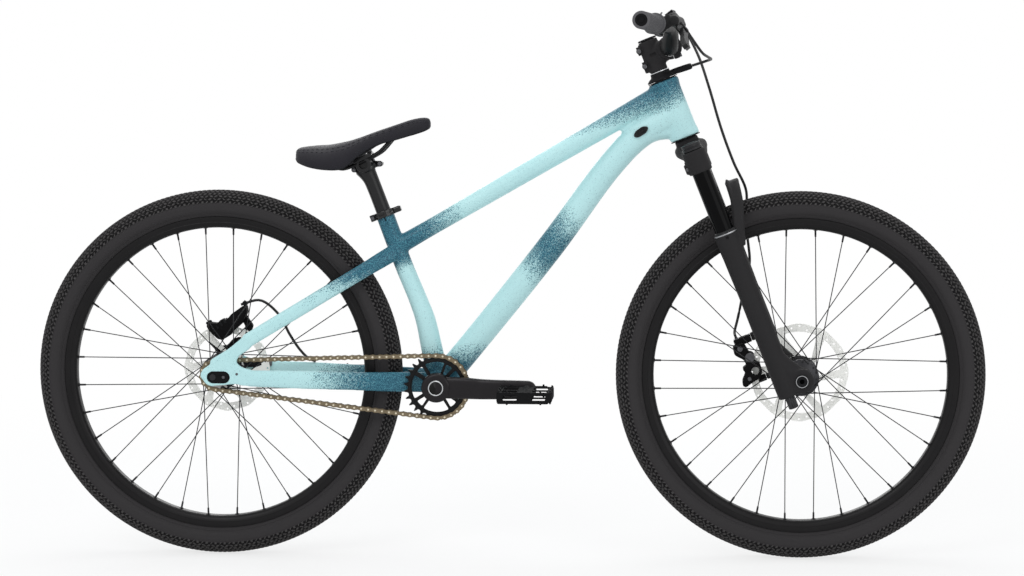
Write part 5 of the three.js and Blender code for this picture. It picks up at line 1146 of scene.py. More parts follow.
class BICYCLE_OT_frame(bpy.types.Operator):
    """Makes the painted frame as one melted skin, with its dropout plates"""

    bl_idname = "bicycle.frame"
    bl_label = "Painted frame"

    def execute(self, context):
        paint = frame_paint(context.scene.bicycle_colours)
        form = Form()
        form.at(STEER).lathe([(27.5, 0), (27.5, 7), (26.2, 16), (26, 50), (26, 92), (27.5, 101),
            (27.5, 109.5)], 48)
        form.at(HERE).tube(flow([(BRACKET.x - 96.5 * a, 0, BRACKET.z + 303 * b, 33 * c, 33 * c)
            for a, b, c in SEAT_ROWS], 8), 32)
        form.tube(flow([(*TOP_START.lerp(TOP_END, s), w, t) for s, w, t in ((0, 31.8, 33.6), (0.12, 31, 31),
            (0.35, 32.8, 32.8), (0.7, 35.6, 35.6), (0.88, 37, 37.8), (1, 38, 40.3))], 8), 32)
        span = DOWN_END - BRACKET
        rise = Vector((-span.z, 0, span.x)).normalized()
        form.tube(flow([(*(BRACKET + span * a + rise * span.length * b), 46 * c, 49 * c)
            for a, b, c in DOWN_ROWS], 8), 36)
        form.tube(flow([(228, 0, 752, 34, 12), (247, 0, 763, 38, 26), (268, 0, 771.5, 38, 27),
            (289, 0, 776, 38, 30), (304, 0, 779, 38, 30)], 4), 24)
        form.tube(flow([(205, 0, 776.5, 14, 7), (214, 0, 779, 24, 11), (232, 0, 784, 34, 22),
            (252, 0, 790, 38, 34)], 4), 24)
        form.at(AT_BRACKET).lathe([(22.5, -34), (23.5, -33), (23.5, 33), (22.5, 34)], 48)
        form.at(HERE)
        for side in (-1, 1):
            form.tube(flow([(BRACKET.x + (REAR.x - BRACKET.x) * back, side * 71.5 * out, BRACKET.z + 4.75
                + (TYRE_RADIUS - BRACKET.z - 4.75) * back, wide, tall)
                for back, out, tall, wide in STAY_ROWS], 8), 28, square=0.78)
            foot = REAR + Vector((SLOT_LONG * 1.45, 0, SLOT_HIGH * 2.95))
            top = SEAT @ Vector((-5.8, 0, -63.8))
            form.tube(flow([(*(top.lerp(foot, down) + Vector((0, side * 71.5 * out, 0))), wide, tall)
                            for down, out, wide, tall in SEATSTAY_ROWS], 8), 28, square=0.82)
            # The notch of the far dropout is deeper
            form.plate(dropout_outline(20 if side > 0 else 0), side * 67.0, side * 76.0)
        skin = make(form, "frame_skin", (paint,), "frame", FRAME_TUBES, "painted_aqua")
        melt(skin, context.scene.bicycle_sizes.frame_voxel, 12)
        # Bores of the head tube, seat tube and bracket shell, the slot under the collar, the axle slots
        axle_slot = Form().plate(stadium(SLOT_X, TYRE_RADIUS, SLOT_LONG, SLOT_HIGH), -90, 90)
        carve(skin, Form(STEER).lathe([(22.3, -30), (22.3, 140)], 48),
            Form(SEAT).lathe([(13.95, -128), (13.95, 60)], 40),
            Form(AT_BRACKET).lathe([(20.3, -60), (20.3, 60)], 48),
            Form(SEAT).block((-1.1, -30, -8), (1.1, 0, 30)),
            Form(SEAT @ facing((0, -30, -8), (0, 1, 0))).lathe([(2.5, 0), (2.5, 30)], 20), axle_slot)
        bolts = Form()
        for side in (-1, 1):
            bolts.bolt((REAR.x + 44, side * 74.6, TYRE_RADIUS + 6), (0, side, 0), 2.6, 1.6)
        bolts.block((REAR.x + 26, 56.5, TYRE_RADIUS + 1), (REAR.x + 74, 67.3, TYRE_RADIUS + 13), finish=1)
        bolts.bolt((REAR.x + 74, 62, TYRE_RADIUS + 8), (1, 0, 0), 5.6, 8)
        make(bolts, "dropout_screws", ("bolt_steel", "alloy_black"), "frame", slot="dark_steel")
        return {"FINISHED"}


class BICYCLE_OT_fittings(bpy.types.Operator):
    """Makes the headset bearings, bracket cups, axle, its sliders, the seat collar and the hose grommet"""

    bl_idname = "bicycle.fittings"
    bl_label = "Frame fittings"

    def execute(self, context):
        for name, end, way in (("upper", 109.5, 1), ("lower", 0, -1)):
            rows = [(14.9, end + way * 1.9), (26.9, end + way * 1.9), (27.7, end + way * 1.3),
                (27.7, end + way * 0.4), (22, end + way * 0.3), (22, end - way * 12),
                (14.9, end - way * 12)]
            make(Form(STEER).lathe(rows, 56, loop=True), f"headset_bearing_{name}_ring", "alloy_black",
                "frame", f"headset_bearing_{name}", "dark_alloy")
        for hand, side in (("right", -1), ("left", 1)):
            rows = [(14.5, 12), (20, 12), (20, 34.2), (23.4, 34.3), (23.5, 34.8), (23.3, 38.6),
                (22.6, 39.3), (16, 39.3), (14.5, 38.6)]
            form = Form(AT_BRACKET).lathe(rows, 64, loop=True, side=side).at(Matrix.Translation(BRACKET))
            for k in range(16):
                x, z = 22.7 * math.cos(FULL * k / 16), 22.7 * math.sin(FULL * k / 16)
                form.tube([(x, side * y, z, 2.6) for y in (35.2, 38.4)], 8, across=(1, 0, 0.2))
            make(form, f"bottom_bracket_ring_{hand}", "alloy_black", "frame", f"bottom_bracket_cup_{hand}",
                "dark_alloy")

            holes = [ring(REAR.x, TYRE_RADIUS, 6.35, 24), ring(REAR.x + 19.3, TYRE_RADIUS, 3.4, 16)]
            body = Form().plate(stadium(SLOT_X, TYRE_RADIUS, 38.8, 21.2, 12), side * 67.8, side * 76.5,
                holes)
            make(body, f"axle_slider_{hand}_block", "moulded_black", "frame", f"axle_slider_{hand}",
                "dark_alloy", bevel=0.6)
            screw = Form().bolt((REAR.x + 19.3, side * 72.5, TYRE_RADIUS), (0, side, 0), 3.2, 2.6)
            make(screw, f"slider_screw_{hand}", "bolt_steel", "frame", slot="dark_steel")

        axle = Form(AT_REAR)
        axle.lathe([(3.0, -76.7), (5.4, -76.7), (6, -76.1), (6, 76.1), (5.4, 76.7), (3.0, 76.7), (3.0, 70),
            (0.1, 70)], 40)
        for side in (-1, 1):
            axle.lathe([(6, 62.3), (10.6, 62.3), (11, 62.7), (11, 66.8), (10.6, 67.2), (6, 67.2)], 40,
                loop=True, side=side)
        make(axle, "rear_axle_bar", "axle_black", "frame", "rear_axle", "dark_steel")

        # The collar is a band that stays open at the back, between its two ears
        section = ((16.9, -12), (19.6, -12), (20.2, -11.4), (20.2, -7.2), (19.7, -6.6), (19.7, -5.4),
            (20.2, -4.8), (20.2, -0.6), (19.6, 0), (16.9, 0))
        turns = [math.radians(185 + 350 * k / 60) for k in range(61)]
        collar = Form(COLLAR).skin([[(r * math.cos(a), r * math.sin(a), z) for r, z in section]
            for a in turns])
        for side in (-1, 1):
            collar.block((-26.6, side * 6.6, -12), (-15.8, side * 1.25, 0))
        make(collar, "seat_collar_clamp", "gloss_black", "frame", "seat_collar", "dark_steel", bevel=0.5)
        lug = Form(COLLAR).tube(flow([(19, 0, -6, 11.4, 11.4), (23, 0, -6, 11.2, 11.4), (30, 0, -6, 11, 11),
            (32, 0, -6, 9.4, 9)], 4), 20, square=0.7)
        make(lug, "seat_collar_lug", "gloss_black", "frame", slot="dark_steel")
        bolt = Form().bolt((-22, -6.4, -6), (0, -1, 0), 3.4, 2.6, COLLAR).bolt((-22, 6.4, -6), (0, 1, 0),
            3.4, 1.6, COLLAR)
        make(bolt, "seat_collar_bolt", "bolt_steel", "frame", slot="dark_steel")

        place = Matrix.Translation((HEAD_LOW.x - 80, 0, HEAD_LOW.z + 10)) @ tilted(35)
        lens = [(-15.5, 0), (-9, -6.0), (8, -7.0), (15.5, -2.0), (15.5, 1.5), (9, 6.6), (-8, 6.6)]
        rim = Form(place).plate(soften(lens, 5), -26.4, -14, [stadium(1.6, 0, 18.6, 7.4, 10)])
        rim.plate(stadium(1.6, 0, 18.8, 7.6, 10), -23.6, -14)
        rim.at(place @ facing((3.0, -22.0, 0.2), (0.92, -0.36, 0.1))).lathe([(2.3, -2), (3.1, -2),
            (3.3, 3.2), (2.9, 4.0), (2.3, 4.0)], 20, loop=True)
        make(rim, "hose_port_plug", "soft_rubber", "frame", "hose_port_grommet", "soft_rubber", bevel=0.5)
        return {"FINISHED"}


# Chain and sprockets
CHAIN_PITCH, RING_TEETH, COG_TEETH = 12.7, 28, 13
RING_PITCH = CHAIN_PITCH / (2 * math.sin(math.pi / RING_TEETH))
COG_PITCH = CHAIN_PITCH / (2 * math.sin(math.pi / COG_TEETH))
RING_AT, COG_AT = Vector((BRACKET.x, BRACKET.z)), Vector((REAR.x, REAR.z))
CENTRE_GAP = (RING_AT - COG_AT).length
CENTRE_TILT = math.atan2(RING_AT.y - COG_AT.y, RING_AT.x - COG_AT.x)
WRAP_TILT = math.asin((RING_PITCH - COG_PITCH) / CENTRE_GAP)
STRAIGHT = math.sqrt(CENTRE_GAP**2 - (RING_PITCH - COG_PITCH) ** 2) / CHAIN_PITCH
RING_WRAP = math.pi + 2 * WRAP_TILT
RING_LINKS = RING_WRAP * RING_TEETH / FULL
COG_LINKS = (math.pi - 2 * WRAP_TILT) * COG_TEETH / FULL
TOTAL_STEPS = 2 * STRAIGHT + RING_LINKS + COG_LINKS
LINK_COUNT = 2 * round(TOTAL_STEPS / 2)
LINK_STEP = TOTAL_STEPS / LINK_COUNT


def on_chain(steps):
    """Where the chain's line is after so many links, from the top of the ring forward."""
    s = steps % TOTAL_STEPS
    top = CENTRE_TILT + math.pi / 2 + WRAP_TILT
    low = top - RING_WRAP

    def circle(centre, radius, turn):
        return centre + Vector((math.cos(turn), math.sin(turn))) * radius

    if s <= RING_LINKS:
        return circle(RING_AT, RING_PITCH, top - s * FULL / RING_TEETH)
    s -= RING_LINKS
    if s <= STRAIGHT:
        return circle(RING_AT, RING_PITCH, low).lerp(circle(COG_AT, COG_PITCH, low), s / STRAIGHT)
    s -= STRAIGHT
    if s <= COG_LINKS:
        return circle(COG_AT, COG_PITCH, low - s * FULL / COG_TEETH)
    s -= COG_LINKS
    return circle(COG_AT, COG_PITCH, top).lerp(circle(RING_AT, RING_PITCH, top), s / STRAIGHT)


def valley(centre, steps):
    spot = on_chain(steps)
    return math.atan2(spot.y - centre.y, spot.x - centre.x)


def toothed(teeth, first, centre, rise, tip):
    """A sprocket's outline: round seats for the rollers and pointed teeth between them."""
    pitch = CHAIN_PITCH / (2 * math.sin(math.pi / teeth))
    points = []
    for i in range(teeth):
        turn = first + i * FULL / teeth
        seat = Vector((pitch * math.cos(turn), pitch * math.sin(turn)))
        for a in (88, 60, 30, 0, -30, -60, -88):
            t = turn + math.pi + math.radians(a)
            points.append(tuple(centre + seat + Vector((math.cos(t), math.sin(t))) * 4.15))
        for across in (-tip, tip):
            t = turn + math.pi / teeth + across / (pitch + rise)
            points.append(tuple(centre + Vector((math.cos(t), math.sin(t))) * (pitch + rise)))
    return points


def link_plate(a, b, end, waist):
    """The outline of one chain plate between two pins."""
    way = (b - a).normalized()
    side = Vector((-way.y, way.x))
    mid = (a + b) / 2
    points = []
    for centre, sign in ((a, -1), (b, 1)):
        for k in range(-4, 5):
            t = math.radians(k * 27.5)
            points.append(centre + way * (sign * end * math.cos(t)) + side * (sign * end * math.sin(t)))
        points.append(mid + side * (sign * waist))
    return [tuple(p) for p in points]


class BICYCLE_OT_drivetrain(bpy.types.Operator):
    """Makes the chain link by link, the chainring and the rear cog"""

    bl_idname = "bicycle.drivetrain"
    bl_label = "Chain and sprockets"

    def execute(self, context):
        form = Form()
        spots = [on_chain(i * LINK_STEP) for i in range(LINK_COUNT)]
        for i, spot in enumerate(spots):
            after = spots[(i + 1) % LINK_COUNT]
            outer = i % 2 == 0
            near, far, end, waist = (3.05, 3.85, 4.35, 3.2) if outer else (2.2, 3.0, 4.1, 2.7)
            for side in (-1, 1):
                form.plate(link_plate(spot, after, end, waist), -CHAINLINE + side * near, -CHAINLINE
                    + side * far)
            form.at(along_y(spot.x, spot.y, -CHAINLINE)).lathe([(3.85, -2.15), (3.95, -1.9), (3.95, 1.9),
                (3.85, 2.15)], 14, finish=2)
            form.lathe([(1.7, -4.25), (1.85, -4.1), (1.85, 4.1), (1.7, 4.25)], 10, finish=1)
            form.at(HERE)
        make(form, "chain_links", ("chain_bronze", "chain_pin", "chain_roller"), "frame", "chain",
            "chain_steel", crease=35)

        windows = []
        for low, high, share in ((72, 118, 1), (50, 67, 0.97), (126, 142, 1), (152, 208, 1),
                (216, 232, 0.97), (238, 298, 1), (304, 322, 0.97), (22, 42, 1), (330, 344, 1)):
            outer, inner = RING_PITCH * 0.805 * share, RING_PITCH * 0.435 / share
            steps = max(2, round((high - low) / 8))
            trim = math.degrees(3.0 / inner)
            outline = arc(*RING_AT, outer, low, high, steps) + arc(*RING_AT, inner, high - trim * 0.5, low
                + trim * 0.5, steps)
            windows.append(soften(outline, 3.2, 3))
        hole = [arc(*RING_AT, 15.9, 0, 350, 35)]
        ring_form = Form().plate(toothed(RING_TEETH, valley(RING_AT, 0), RING_AT, 3.6, 0.75),
            -CHAINLINE - 1.2, -CHAINLINE + 1.2, hole + windows)
        make(ring_form, "chainring_disc", "ring_black", "crankset", "chainring", "crank_alloy", crease=30,
            bevel=0.35)
        near = -CHAINLINE - 1.1
        rail = Form(AT_BRACKET).lathe([(RING_PITCH * r, near - y)
            for r, y in ((0.83, 0), (0.9, 0), (0.89, 0.9), (0.84, 0.9))], 96, loop=True)
        rail.lathe([(15.9, near), (25.5, near), (25.0, near - 1.3), (15.9, near - 1.3)], 64, loop=True)
        make(rail, "chainring_rails", "ring_black", "crankset", slot="crank_alloy", crease=30)

        first = math.ceil((RING_LINKS + STRAIGHT) / LINK_STEP) * LINK_STEP
        cog = Form().plate(toothed(COG_TEETH, valley(COG_AT, first), COG_AT, 3.4, 0.8), -CHAINLINE - 1.2,
            -CHAINLINE + 1.2, [ring(*COG_AT, 15.4, 32)])
        make(cog, "rear_cog_teeth", "cog_steel", "cog", "rear_cog",
             "sprocket_steel", crease=30, bevel=0.3)
        carrier = Form(AT_REAR).lathe([(6.6, -62), (14.5, -62), (15.5, -61), (15.5, -48.2), (17.2, -47.6),
            (17.2, -46.3), (15.3, -46.2), (15.3, -43.8), (17.2, -43.7), (17.2, -37.5), (16.4, -34.9),
            (6.6, -34.9)], 48, loop=True)
        make(carrier, "cog_carrier", "alloy_black", "cog", slot="dark_alloy", crease=30)
        return {"FINISHED"}


# Cranks and pedals
class BICYCLE_OT_cranks(bpy.types.Operator):
    """Makes both crank arms, the spindle and its bright ring"""

    bl_idname = "bicycle.cranks"
    bl_label = "Cranks"

    def execute(self, context):
        for hand, side in (("right", -1), ("left", 1)):
            way = -side
            rows = flow([(0, 55.0, 15.8, 38.5), (33.3, 57.2, 15.2, 39.0), (60, 63.5, 15, 38.0),
                (83.4, 71.2, 15, 36.6), (110, 74.2, 15, 35.2), (141.7, 74.5, 15, 34.0),
                (166.7, 74.5, 14.6, 32.6)], 5)
            rows += [(166.7 + 15.5 * math.sin(math.radians(t)), 74.5, 14.6 - 2.4 * (t / 88) ** 2,
                max(32.6 * math.cos(math.radians(t)), 1.2)) for t in (18, 36, 52, 66, 78, 88)]
            arm = Form().tube([(BRACKET.x + way * x, side * y, BRACKET.z, wide, tall)
                for x, y, wide, tall in rows], 32, square=0.62)
            arm.at(AT_BRACKET)
            arm.lathe([(12.2, 46.6), (24.8, 46.6), (26.4, 47.8), (26.8, 52), (26.6, 60), (25.8, 63.4),
                (23.6, 65.2), (19.5, 65.7), (14.4, 65.7), (14.2, 64.2), (12.2, 64.2)], 64, loop=True,
                side=side)
            arm.lathe([(12.2, 40.2), (15.4, 40.2), (15.4, 48), (12.2, 48)], 40, loop=True, side=side)
            arm.at(along_y(BRACKET.x + way * 166.7, BRACKET.z))
            arm.lathe([(5.0, 81.4), (8.6, 81.4), (8.9, 82.0), (8.6, 82.4), (5.0, 82.4)], 32, loop=True,
                side=side)
            make(arm, f"crank_arm_{hand}_forged", "crank_black", "crankset", f"crank_arm_{hand}",
                "crank_alloy", crease=38)
            trim = Form(AT_BRACKET).lathe([(11.8, 63.5), (13.9, 63.5), (13.9, 66.2), (13.4, 66.8),
                (12.2, 66.8), (11.8, 66.4)], 64, loop=True, side=side)
            make(trim, f"spindle_ring_{hand}", "bright_steel", "crankset", slot="bright_steel")
        tube = Form(AT_BRACKET).lathe([(11.7, -65.8), (12.3, -65.8), (14, -40), (14, 40), (12.3, 65.8),
            (11.7, 65.8)], 48, loop=True)
        tube.lathe([(0.1, -34), (11.75, -34), (11.75, -32), (0.1, -32)], 40)
        make(tube, "crank_spindle", "gloss_black", "crankset", slot="dark_steel")
        return {"FINISHED"}


class BICYCLE_OT_pedals(bpy.types.Operator):
    """Makes the platform pedals with their windows, axles and grip pins"""

    bl_idname = "bicycle.pedals"
    bl_label = "Pedals"

    def execute(self, context):
        for hand, side in (("right", -1), ("left", 1)):
            x, inner, outer, body = BRACKET.x - side * 166.7, 87.3, 178.8, f"pedal_{hand}_body"
            flat = Matrix.Translation((x, 0, BRACKET.z)) @ Matrix.Rotation(math.pi / 2, 4, "X")

            def spot(along, out):
                return (49 * along, -side * (inner + (outer - inner) * out))

            outline = soften([spot(*p) for p in ((-0.84, 0), (-0.3, 0.0), (-0.24, 0.03), (0.24, 0.03),
                (0.3, 0), (0.84, 0), (1, 0.12), (0.97, 0.5), (1, 0.88), (0.84, 1), (-0.84, 1), (-1, 0.88),
                (-0.97, 0.5), (-1, 0.12))], 6)
            holes = [soften([spot(*p) for p in ((a, c), (b, c), (b, d), (a, d))], 4)
                     for a, b in ((-0.82, -0.27), (0.27, 0.82)) for c, d in ((0.12, 0.46), (0.54, 0.88))]
            form = Form(flat).plate(outline, -7.6, 7.6, holes)
            cage = make(form, f"pedal_{hand}_cage", "moulded_black", body, f"pedal_{hand}", "pedal_plastic",
                bevel=1.1, crease=35)
            apply_modifiers(cage)
            middle = Matrix.Translation((x, 0, BRACKET.z))
            carve(cage, *[Form(middle).plate(soften([(a, -5.4), (b, -5.4), (b, 5.4), (a, 5.4)], 1.6), -200,
                200) for a, b in ((-37, -12), (14, 38))])
            bar = Form(middle).plate(
                soften([(-46, -10.4), (43, -10.4), (47.5, 0), (48, 9.6), (-44.5, 9.6), (-47, 2)], 2.5),
                side * 173.2, side * 178.4,
                [soften([(-37, -5.8), (-11, -6.2), (-10, 5.6), (-36, 5.6)], 2),
                 soften([(14, -6.2), (37, -5.8), (39, 5.6), (13, 5.6)], 2)])
            make(bar, f"pedal_{hand}_side", "moulded_black", body, slot="pedal_plastic", bevel=0.7)
            spine = Form(along_y(x, BRACKET.z))
            spine.lathe([(4.9, 87.5), (9.6, 87.5), (10.4, 89), (9.2, 101), (8.4, 120), (8.4, 150),
                (9.4, 168), (10, 174), (9.2, 178.4), (4.0, 178.6), (3.6, 176), (0.1, 176)], 36, side=side)
            make(spine, f"pedal_{hand}_barrel", "moulded_black", body, slot="pedal_plastic", crease=35)
            ribs = Form(middle)
            for along in (-0.93, 0.93):
                for top in (-1, 1):
                    ribs.block((49 * along - 2.0, side * 94, top * 7.2),
                        (49 * along + 2.0, side * 172, top * 9.4))
            for out in (0.035, 0.965):
                y = side * (inner + (outer - inner) * out)
                for top in (-1, 1):
                    for a, b in ((-0.74, -0.3), (0.3, 0.74)):
                        ribs.block((49 * a, y - 1.8, top * 7.2), (49 * b, y + 1.8, top * 9.2))
            make(ribs, f"pedal_{hand}_ribs", "moulded_black", body, slot="pedal_plastic", bevel=0.6)
            pins = Form()
            for top in (-1, 1):
                for along, out in ((-0.93, 0.16), (-0.93, 0.5), (-0.93, 0.84), (0.93, 0.16), (0.93, 0.5),
                        (0.93, 0.84), (-0.6, 0.965), (0.6, 0.965), (-0.6, 0.035), (0.6, 0.035)):
                    y = side * (inner + (outer - inner) * out)
                    pins.at(facing((x + 49 * along, y, BRACKET.z + top * 8.9), (0, 0, top)))
                    pins.lathe([(2.4, 0), (2.4, 0.7), (1.7, 0.9), (1.6, 2.9), (1.1, 3.3)], 12)
            make(pins, f"pedal_{hand}_pins", "alloy_black", body, slot="sprocket_steel")
            axle = Form(along_y(x, BRACKET.z)).lathe([(2.6, 67.2), (4.4, 67.2), (4.6, 67.6), (4.6, 82.4),
                (7.6, 82.5), (7.8, 83), (7.8, 86.4), (4.6, 86.8), (4.6, 172), (0.1, 172)], 30, side=side)
            make(axle, f"pedal_axle_{hand}_rod", "axle_dark", "crankset", f"pedal_axle_{hand}",
                "sprocket_steel")
        return {"FINISHED"}


# Seatpost, rails and saddle
POST_TOP = SEAT @ Vector((0, 0, 104))
RAIL = Matrix.Translation(POST_TOP + Vector((0, 0, 7.8))) @ tilted(25)
RAIL_ROWS = [(-0.32, 1.35, 0.1), (-0.254, 1.22, -0.11), (-0.17, 1.06, -0.24), (-0.114, 1, -0.21),
    (0.079, 1, 0.136), (0.129, 0.92, 0.266), (0.215, 0.6, 0.62), (0.289, 0.3, 0.83), (0.314, 0, 0.875)]
SADDLE_LONG, SADDLE_WIDE, SADDLE_HIGH = 243, 138, 64
# Along, top, bottom and half width, as shares of the saddle's sizes
SADDLE_ROWS = [(0.0, -0.08, -0.2, 0.2), (0.012, 0.0, -0.29, 0.5), (0.04, 0.045, -0.38, 0.72),
    (0.14, 0.09, -0.5, 0.96), (0.25, 0.12, -0.56, 1), (0.36, 0.2, -0.55, 0.9), (0.47, 0.32, -0.22, 0.66),
    (0.6, 0.5, 0.1, 0.42), (0.74, 0.68, 0.25, 0.31), (0.87, 0.84, 0.4, 0.27), (0.95, 0.885, 0.5, 0.235),
    (0.985, 0.86, 0.57, 0.17), (1.0, 0.76, 0.64, 0.07)]
# Out from the middle and up from the bottom, round one half of the saddle's section
SADDLE_SECTION = [(0, 1, 1), (0.3, 0.985, 0.985), (0.58, 0.93, 0.93), (0.8, 0.8, 0.8), (0.93, 0.6, 0.6),
    (1.0, 0.36, 0.36), (0.99, 0.12, 0.12), (0.93, 0.0, 0.0), (0.8, 0.02, -0.02), (0.62, 0.22, -0.03),
    (0.4, 0.42, -0.03), (0, 0.5, -0.02)]


def saddle_place(along, up):
    return POST_TOP.x + SADDLE_LONG * (along - 0.509), RAIL.translation.z + SADDLE_HIGH * (0.31 + up)


def saddle_rings(steps, seams=()):
    """Rings of points round the cover, hollow below between nose and tail, and deeper at its seams."""
    section = flow(SADDLE_SECTION, 3)
    rings = []
    for along, top, bottom, wide in flow(SADDLE_ROWS, steps):
        x, high = saddle_place(along, top)
        low, half = saddle_place(along, bottom)[1], SADDLE_WIDE / 2 * wide
        hollow = min(1, max(0, (along - 0.06) / 0.1)) * min(1, max(0, (0.84 - along) / 0.1))
        points = []
        for j, (out, open_up, flat_up) in enumerate(section):
            up = flat_up + (open_up - flat_up) * hollow
            deep = 0.9 if j in seams and 0.03 < along < 0.97 else 0
            points.append((x, half * out - deep * out, low + (high - low) * up - deep * (1 - out)))
        rings.append(points + [(px, -py, pz) for px, py, pz in reversed(points[1:-1])])
    return rings


class BICYCLE_OT_saddle(bpy.types.Operator):
    """Makes the seatpost, its head and clamp, the rails and the padded saddle"""

    bl_idname = "bicycle.saddle"
    bl_label = "Seatpost and saddle"

    def execute(self, context):
        post = Form(SEAT).tube(flow([(0, 0, -85, 27.2, 27.2), (0, 0, 0, 27.2, 27.2), (0, 0, 60, 27.2, 27.2),
            (-0.6, 0, 76, 28.6, 27.4), (-2.4, 0, 88, 33, 30), (-4.2, 0, 97, 38, 36)], 5), 40,
            across=(1, 0, 0))
        post.at(along_y(POST_TOP.x, POST_TOP.z)).lathe([(13.4, -27.8), (14.6, -27.2), (14.6, 27.2),
            (13.4, 27.8)], 40)
        post.at(RAIL).tube([(-25.5, 0, -8, 12, 12), (-14, 0, -8, 16, 14), (6, 0, -12, 18, 14),
            (15, 0, -15.5, 13, 12), (21.5, 0, -17.8, 11, 11)], 20)
        post.at(RAIL @ along_y(21.5, -17.8)).lathe([(4.6, -9.4), (5.6, -8.6), (5.6, 8.6), (4.6, 9.4)], 24)
        post.at(RAIL @ along_y(-25.5, -8)).lathe([(4.2, -10.4), (5.2, -9.6), (5.2, 9.6), (4.2, 10.4)], 24)
        piece = make(post, "seatpost_forged", "post_black", "saddle_post", "seatpost", "dark_alloy")
        melt(piece, 0.0014, 6)
        rows = [(POST_TOP.x + SADDLE_LONG * a, 22 * b, RAIL.translation.z + SADDLE_HIGH * c, 7)
            for a, b, c in RAIL_ROWS]
        line = flow(rows + [(x, -y, z, w) for x, y, z, w in reversed(rows[:-1])], 6)
        trough = Form().tube([(x, y, z, 7.6) for x, y, z, _ in line], 16, across=(0.4, 0, 1))
        gap = Form(RAIL).block((-60, -60, 0.2), (60, 60, 60))
        barrel = Form(along_y(POST_TOP.x, POST_TOP.z)).lathe([(8.2, -40), (8.2, -19), (7.2, -19)], 40)
        barrel.lathe([(7.2, 19), (8.2, 19), (8.2, 40)], 40)
        carve(piece, trough, gap, barrel)

        rails = Form().tube(line, 16, across=(0.4, 0, 1))
        make(rails, "saddle_rail_tubes", "rail_black", "saddle_post", "saddle_rails",
             "dark_steel")
        clamp = Form(RAIL)
        for side in (-1, 1):
            clamp.plate(soften([(-18.5, 0.7), (18.5, 0.7), (17, 6.2), (9, 8.2), (-9, 8.2), (-17, 6.2)], 3),
                        side * 15.5, side * 28.6)
        clamp.plate(soften([(-17.5, 3.2), (-9.5, 3.2), (-9.5, 9.4), (-17.5, 9.4)], 2), -15.6, 15.6)
        clamp.plate(soften([(9.5, 3.2), (17.5, 3.2), (17.5, 9.4), (9.5, 9.4)], 2), -15.6, 15.6)
        piece = make(clamp, "rail_clamp_pair", "post_black", "saddle_post", "rail_clamp", "dark_alloy",
            bevel=0.8)
        apply_modifiers(piece)
        carve(piece, trough, crossed=True)
        screws = Form().bolt((-13.5, 0, 9.3), (0, 0, 1), 4.2, 3.4, RAIL).bolt((13.5, 0, 9.3), (0, 0, 1),
            4.2, 3.4, RAIL)
        for x in (-13.5, 13.5):
            screws.at(RAIL).tube([(x, 0, -10, 4.6), (x, 0, 9.5, 4.6)], 14, across=(1, 0, 0))
        screws.bolt((21.5, -9.3, -17.8), (0, -1, 0), 3.6, 1.2, RAIL).bolt((-25.5, -10.3, -8), (0, -1, 0),
            3.4, 1.2, RAIL)
        make(screws, "rail_clamp_screws", "bolt_steel", "saddle_post", slot="dark_steel")

        seam = 9
        rings = saddle_rings(6, (seam,))
        cover = make(Form().skin(rings), "saddle_cover_padded", "saddle_cover", "saddle_post", "saddle",
            "saddle_cover", crease=180)
        finer = cover.modifiers.new("finer", "SUBSURF")
        finer.levels = finer.render_levels = 1
        apply_modifiers(cover)
        carve(cover, Form().tube([(x, y, z, 8.6) for x, y, z, _ in line], 12, across=(0.4, 0, 1)))
        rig.padded(cover, fill=0.9)

        # Stitches beside the seams, and the moulded edge of the base under the cover
        stitches, edge = Form(), Form()
        for side in (1, -1):
            for j in (seam - 1, seam + 1):
                for i in range(4, len(rings) - 5, 2):
                    a, b = (Vector(rings[i + k][j if side > 0 else -j]) for k in (0, 1))
                    out = Vector((0, side * 0.8, 0.6)) * 0.25
                    stitches.tube([(*(a.lerp(b, t) + out * (1 if 0 < t < 1 else -1)), 0.9)
                        for t in (0.06, 0.3, 0.7, 0.94)], 6, across=(0.1, 0, 1))
            edge.tube([(*(Vector(ring[21 if side > 0 else -21]) + Vector((0, -side * 0.6, 0.5))), 2.6, 1.8)
                for ring in rings[5:-6]], 8)
        make(stitches, "saddle_stitches", "thread", "saddle_post", slot="saddle_cover")
        front, back = saddle_place(0.82, 0.36), saddle_place(0.2, -0.2)
        edge.tube([(front[0] - 18, 0, front[1] + 3, 22, 8), (front[0], 0, front[1] + 5.5, 20, 9),
            (front[0] + 12, 0, front[1] + 9, 14, 8)], 20, square=0.7)
        for side in (-1, 1):
            edge.tube([(back[0] - 12, side * 30, back[1] + 5, 16, 8),
                (back[0], side * 29.4, back[1] + 1, 15, 9), (back[0] + 10, side * 28, back[1] + 2, 12, 8)],
                18, square=0.7)
        make(edge, "saddle_base_edge", "moulded_black", "saddle_post", slot="dark_alloy")
        return {"FINISHED"}


# Fork, in the steering frame
LEG_X, LEG_Y, AXLE_X, AXLE_Z = 5, 66, 35.6, -477
AT_AXLE = STEER @ along_y(AXLE_X, AXLE_Z)
# The front caliper's height, its span, and its two mounts as shares of that
CALIPER_Z, CALIPER_SPAN, CALIPER_BOLTS = AXLE_Z + 34.8, 96, (0.5815, -0.2135)


def leg(side):
    """A frame on the line of one fork leg."""
    return STEER @ Matrix.Translation((LEG_X, side * LEG_Y, 0))


